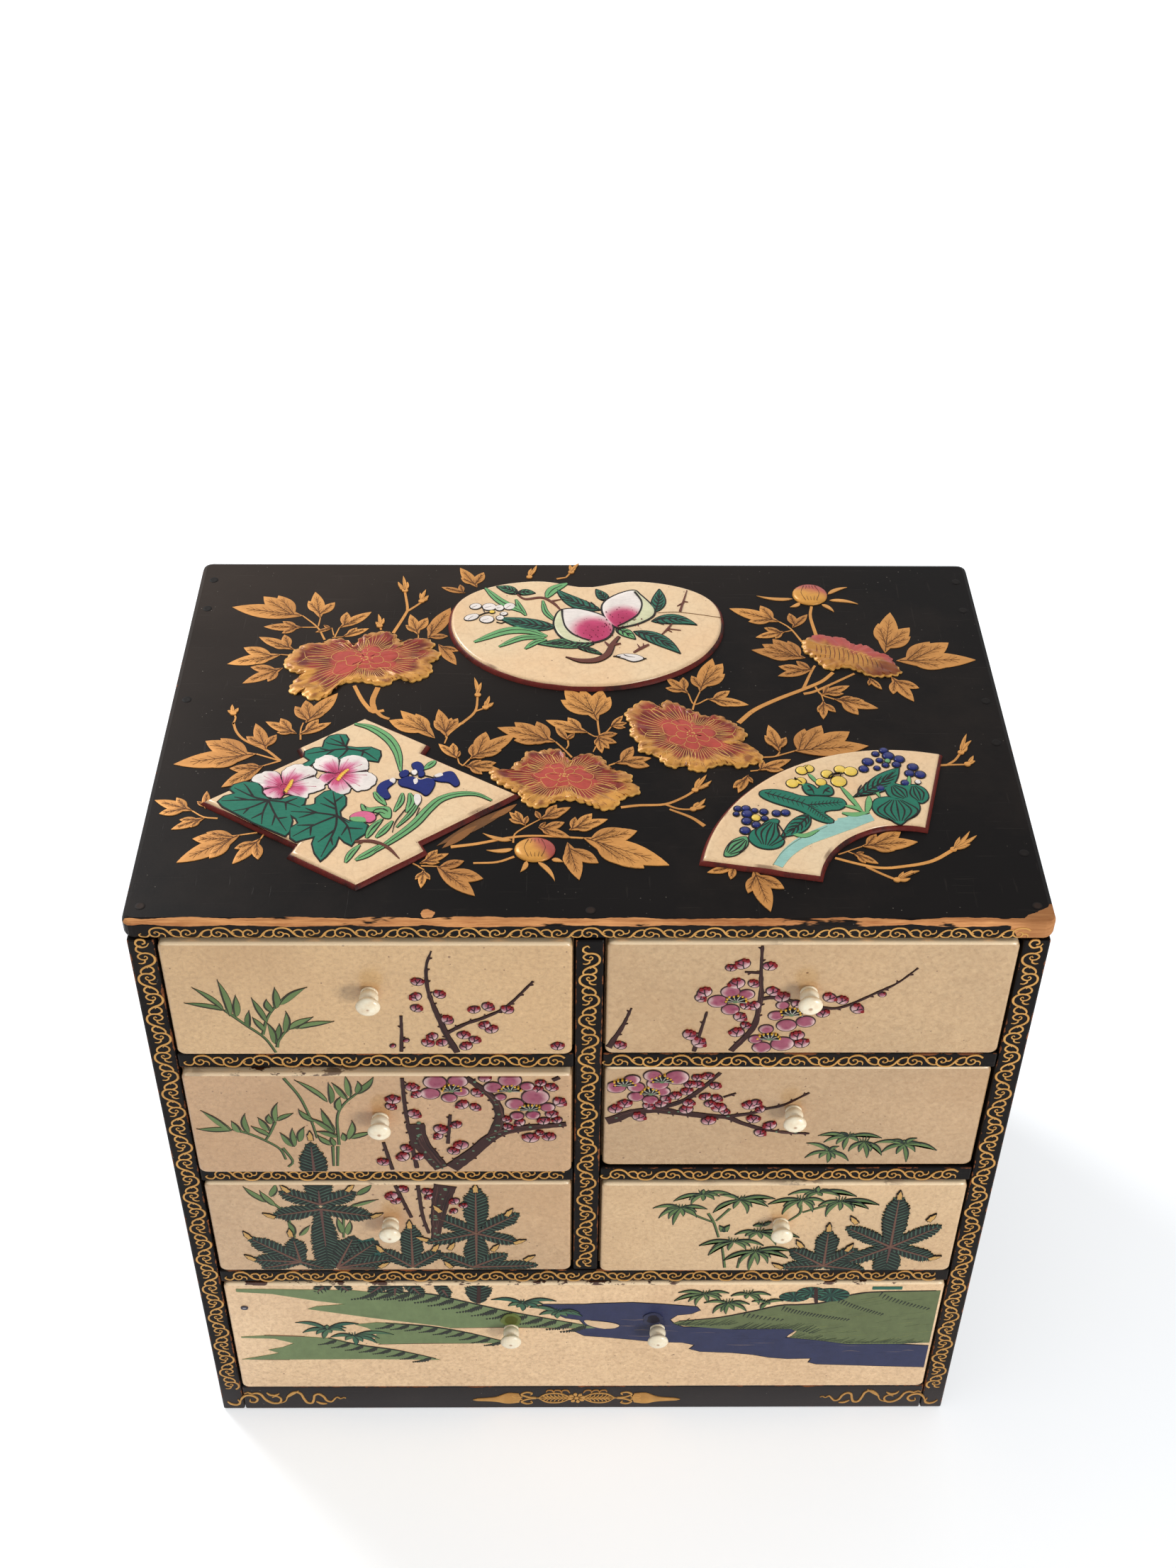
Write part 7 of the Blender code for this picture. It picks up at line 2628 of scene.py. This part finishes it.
def paint_river(paint):
    relief = tile_relief("drawer_bottom")
    draw = random.Random(37)
    water = pts(
        "-18,81 0,81 4,81.5 20,82.2 33,81 47,79 48.5,76.5 45,74 39,73 36,69.5 38,66.5 42,64 53,63.8 "
        "64,62.2 80,62.5 88,62.5 89.5,61 87,58 86,56 100,53.8 113,50.8 135,50.8 148.4,49.5 148.4,33 128,34 "
        "120,34.5 101,35.5 97.5,37 98.5,40 88,39.8 80,40.8 73,43 64,44.5 50,45.5 45.5,47.5 47.5,50.5 "
        "42,52.5 30,53 22,54.5 10,56.5 0,57.8 -4,61 -3,63.4 0,66 -2,69.6 -8,71 -12,74 -15,78"
    )
    relief.shell(grown(water, 0.4), 0.06, INK)
    relief.shell(water, 0.12, RIVER)
    for _ in range(80):
        x = draw.uniform(-2, 142)
        z = draw.uniform(-9, 9) + (69 - 0.17 * x if x < 60 else 58 - 0.11 * (x - 60))
        long = draw.uniform(5, 16)
        tone = blend(RIVER, draw.choice((INK, CREAM, rgb(52, 58, 96))), draw.uniform(0.08, 0.22))
        if all(inside_of(water, (x + d, z + e)) for d in (-1, long / 2, long + 1) for e in (-0.6, 0.6)):
            relief.ribbon(
                [(x, z), (x + long / 2, z + draw.uniform(-0.5, 0.5)), (x + long, z - 0.2)],
                (0.15, 0.6, 0.15), 0.125, tone, 2.0
            )
    hill = pts(
        "37.5,67 40,68.5 56,71 70,75.5 82,80 90,80.5 100,82 110,87 120,89.5 148.4,90.5 148.4,52 135,51 "
        "113,51 100,54 88,56 90.5,60.5 88,62.5 80,63 60,62.5 42,65"
    )
    relief.step()
    relief.shell(hill, 0.14, HILL)
    relief.ribbon(hill[1:10], (0.4, 0.8, 0.7, 0.4), 0.19, INK, 2.0)
    for _ in range(110):
        x, z = draw.uniform(60, 146), draw.uniform(53, 88)
        long = draw.uniform(4, 12)
        if inside_of(hill, (x - 1, z - 1)) and inside_of(hill, (x + long, z + long * 0.4 + 1)):
            tone = blend(
                HILL, draw.choice((BANK, rgb(146, 148, 90), GREEN_DARK_LINE)), draw.uniform(0.25, 0.6)
            )
            relief.ribbon(
                [(x, z), (x + long, z + long * draw.uniform(0.1, 0.35))], (0.2, 0.8, 0.2), 0.17, tone,
                sharp=True
            )
    for x0, z0, x1, z1, count in (
        (84, 79.4, 112, 70, 22), (106, 86.4, 126, 74, 17), (124, 89.4, 145, 78, 15), (68, 75, 84, 70, 10)
    ):
        for k in range(count):
            t = k / (count - 1)
            x, z = x0 + (x1 - x0) * t, z0 + (z1 - z0) * t ** 0.75
            relief.ribbon(
                [(x, z), (x - 1.2, z - 3.0 * (1 - 0.5 * t))], (0.9, 0.35), 0.2, BANK_MARK, sharp=True
            )
    for k in range(46):
        t = k / 45
        x = 39 + 58 * t
        z = 65.2 if x < 62 else 62.4 - max(0, x - 88) * 0.4
        relief.ribbon(
            [(x, z + draw.uniform(0, 0.8)), (x + 4.2, z + draw.uniform(2.4, 5.4))], (0.8, 0.25), 0.2,
            blend(GREEN_DARK_LINE, HILL, draw.uniform(0, 0.5)), sharp=True
        )
    for k in range(44):
        x = 88 + 58 * k / 43
        z = 56 - max(0.0, min(1.0, (x - 88) / 25)) * 4.6
        relief.ribbon(
            [(x, z + 0.4), (x + draw.uniform(3, 6.4), z + draw.uniform(1.6, 4.2))], (0.75, 0.22), 0.2,
            blend(GREEN_DARK_LINE, HILL, draw.uniform(0.2, 0.65)), sharp=True
        )
    for outline, edge, gap, size in BANKS:
        relief.step()
        relief.shell(pts(outline), 0.16, BANK)
        relief.ribbon(pts(edge), (0.5, 0.8, 0.6, 0.3), 0.2, GREEN_DARK_LINE, 2.0)
        crescents(relief, pts(edge), gap, size, draw)
    for path in (
        "-144,40.2 -127,39.8", "-88,51.6 -67,52.2 -47,52.2", "-57,63.8 -32,64.1 0,63.3",
        "-119,57.6 -136,58.6"
    ):
        relief.ribbon(pts(path), (0.2, 0.5, 0.2), 0.2, rgb(110, 84, 64), 2.0)
    relief.step()
    relief.shell(smooth(pts("0,69.5 5,69 12,67.5 15,65.5 13,63.5 9,63 4,64.5 1,66.6"), 1.0, True), 0.2, CREAM)
    relief.ribbon(pts("0,69.5 5,69 12,67.5 15,65.5 13,63.5 9,63"), (0.2, 0.4, 0.3), 0.22, INK, 1.2)
    for base, tip, half in (
        ((-104, 99), (-111, 90.5), 3.0), ((-104, 99), (-98, 91), 3.0), ((-78, 101), (-89, 89.5), 3.2),
        ((-78, 101), (-79, 87.5), 3.4), ((-76, 101), (-68, 88), 3.2), ((-62, 99), (-57, 87), 2.8)
    ):
        pine_arm(relief, base, tip, half, draw)
    pine_arm(relief, (-44.6, 82), (-44, 94), 5.4, draw)
    relief.ribbon(pts("-43.8,94.4 -44.4,82"), (1.6, 1.8), 0.24, WOOD_DARK, sharp=True)
    for x, z, wide, tall in ((87.5, 86.2, 6.4, 3.6), (102.5, 87.6, 8.0, 4.8), (94.5, 89.4, 6.2, 3.8)):
        relief.step()
        relief.shell(circle(x, z, wide, tall, 24), 0.16, rgb(34, 62, 54))
        for k in range(22):
            turn = 2 * math.pi * k / 22
            d = Vector((math.cos(turn) * wide, math.sin(turn) * tall))
            relief.ribbon(
                [Vector((x, z)) + d * 0.3, Vector((x, z)) + d * 0.98], (0.35, 0.7), 0.19,
                INK if k % 2 else rgb(56, 104, 84), sharp=True
            )
    relief.ribbon(pts("96,92.6 96.4,87 97,82"), (1.4, 1.8, 1.5), 0.24, WOOD_DARK, 2.0)
    relief.shell(pts("119.5,91.4 132,91.4 132,93.4 119.5,93.4"), 0.18, rgb(44, 96, 80))
    clump(
        relief,
        "-109,63 -122,68 -119.5,60.5 -111,56 -101.5,61.5 -95.5,67|-98,58 -108,57 -97.5,51 -88.5,52.5 "
        "-81,59|-26,82 -39,84.5 -32,80 -26,76.5 -19,78.5 -12,83.5|-11,75.5 -23,79 -19,73.5 -11.5,71 "
        "-1,72.5 -2,75",
        draw, 2.6
    )
    clump(
        relief,
        "50,88.5 39,89.5 37.5,83.5 46.5,80 57,83.5 60,89|60,82 50,82 54,74.5 59.5,74 68,76 69,81|68,88.5 "
        "61,87 77.5,87.5 73,81|76,82.5 70,83 83,83.5 74,77.5",
        draw, 1.9, BAMBOO
    )
    # Painted shade: a darker patch just above each knob, of the bank's green on the left and the river's blue
    # on the right.
    for x, z, tones in (
        (-31.0, 70.0, (rgb(104, 116, 62), rgb(84, 88, 40))),
        (29.0, 70.5, (rgb(52, 54, 76), rgb(38, 36, 46)))
    ):
        relief.step()
        for share, tone in zip((1.0, 0.66), tones):
            ring = [(p[0] + 0.9 * waver(p, 0.5, x), p[1]) for p in circle(x, z, 4.2 * share, 4.8 * share, 22)]
            relief.shell(ring, 0.25 - 0.02 * share, tone)
    relief.shell(circle(-142.3, 79, 1.6, 1.3, 14), 0.1, rgb(70, 66, 76))
    relief.shell(circle(-142.3, 79, 0.8, 0.6, 10), 0.13, rgb(150, 146, 150))
    relief.build("drawer_bottom_painting", paint, "drawer_bottom", "cream_glaze", True)


def inside_of(outline, p):
    """Whether a point lies inside an outline."""
    found = False
    for a, b in zip(outline, outline[1:] + outline[:1]):
        if (a[1] > p[1]) != (b[1] > p[1]) and p[0] < a[0] + (b[0] - a[0]) * (p[1] - a[1]) / (b[1] - a[1]):
            found = not found
    return found


# Stage, light and camera


def seen_directly(tree):
    """1 for what the camera sees itself, mirrored or through glass, and 0 for light on other things."""
    rays = node(tree, "LightPath").outputs
    seen = plus(tree, rays["Is Camera Ray"], rays["Is Glossy Ray"], clamp=True)
    return plus(tree, seen, rays["Is Transmission Ray"], clamp=True)


def make_stage():
    mesh = bpy.data.meshes.new("floor")
    reach, level = 4.0, -0.0004
    corners = [(x * reach, y * reach, level) for x, y in ((-1, -1), (1, -1), (1, 1), (-1, 1))]
    mesh.from_pydata(corners, [], [(0, 1, 2, 3)])
    made, tree, shader = material("floor_paper", 0.9, 0.1)
    vector = where(tree)
    tint = mix(tree, grain(tree, vector, 6.0, 4.0), rgb(238, 242, 247), rgb(244, 247, 251))
    tree.links.new(tint, shader.inputs["Base Color"])
    seen = seen_directly(tree)
    away = node(tree, "VectorMath", {0: vector}, operation="LENGTH").outputs["Value"]
    glow = span(tree, away, 0.3, 1.2, 0.42, 0.7)
    tree.links.new(times(tree, seen, glow), shader.inputs["Emission Strength"])
    shader.inputs["Emission Color"].default_value = (1.0, 1.0, 1.0, 1.0)
    mesh.materials.append(made)
    floor = add_object("floor", mesh)
    floor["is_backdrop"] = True


def make_lamp(name, place, target, size, watts):
    lamp = bpy.data.lights.new(name, "AREA")
    lamp.shape = "DISK"
    lamp.size = size
    lamp.energy = watts
    made = add_object(name, lamp)
    made.location = place
    made.rotation_euler = (Vector(target) - Vector(place)).to_track_quat("-Z", "Y").to_euler()


def make_world():
    world = bpy.data.worlds.new("studio")
    world.use_nodes = True
    tree = world.node_tree
    back = tree.nodes["Background"]
    back.inputs["Color"].default_value = (1.0, 1.0, 1.0, 1.0)
    strength = plus(tree, times(tree, seen_directly(tree), 0.5), 0.5)
    tree.links.new(strength, back.inputs["Strength"])
    bpy.context.scene.world = world


def make_camera():
    """The photograph's camera, fitted to the carcass's corners. Its place is given in the carcass's width."""
    azimuth, rise, roll, unit = math.radians(-0.988), math.radians(41.539), math.radians(0.739), 0.320
    back = Vector((math.sin(azimuth) * math.cos(rise), -math.cos(azimuth) * math.cos(rise), math.sin(rise)))
    right = Vector((math.cos(azimuth), math.sin(azimuth), 0.0))
    up = back.cross(right)
    turned = (
        right * math.cos(roll) + up * math.sin(roll), up * math.cos(roll) - right * math.sin(roll), back
    )
    place = Matrix(turned).transposed().to_4x4()
    aside, before, above = -0.03004, -1.81615, 2.47826
    place.translation = Vector((aside * unit, before * unit + CENTRE_Y * MM, above * unit))
    lens = bpy.data.cameras.new("camera")
    lens.sensor_width = 36.0
    lens.lens = 45.36
    camera = add_object("camera", lens)
    camera.matrix_world = place
    bpy.context.scene.camera = camera


dress_boards()
for drawer, chipped in zip(DRAWERS, TILE_CHIPS):
    make_tile(drawer, chipped)
tips = []
for drawer in DRAWERS:
    for name in knob_names(drawer):
        low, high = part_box(name)
        tips.append(
            ((low.x + high.x) / 2, low.y + (KNOB_REACH - KNOB_PROFILE[-1][0]) * MM, (low.z + high.z) / 2)
        )
bone = bone_material("turned_bone", tips)
for drawer in DRAWERS:
    for name in knob_names(drawer):
        make_knob(name, drawer, bone)
lips = lip_material("brown_lacquer_lip")
for label in PLAQUES:
    make_plaque(label, lips)
gold_paint = paint_material("gold_powder", 0.42, 0.2, 0.0, 0.25, 0.8)
make_scrolls(gold_paint)
make_top_foliage(gold_paint, paint_material("raised_lacquer", 0.32, 0.22, 0.08, 0.1))
make_pegs(paint_material("peg_wood", 0.5, 0.1, 0.0, 0.0))
enamels = paint_material("enamel", 0.26, 0.2, 0.05, 0.0)
paint_peaches(enamels)
paint_mallows(enamels)
paint_berries(enamels)
paint_drawers(paint_material("tile_enamel", 0.34, 0.14, 0.0, 0.0))

make_stage()
make_world()
make_lamp("lamp_back_left", (-0.75, 0.7, 1.15), (0.0, 0.0, 0.3), 0.5, 11.5)
make_lamp("lamp_front_right", (0.9, -1.15, 0.36), (0.0, -0.1, 0.10), 0.5, 11.0)
make_camera()
bpy.context.scene.view_settings.view_transform = "Standard"

low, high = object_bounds()
{"cad": [list(v) for v in CAD_BOX], "visual": [list(low), list(high)]}
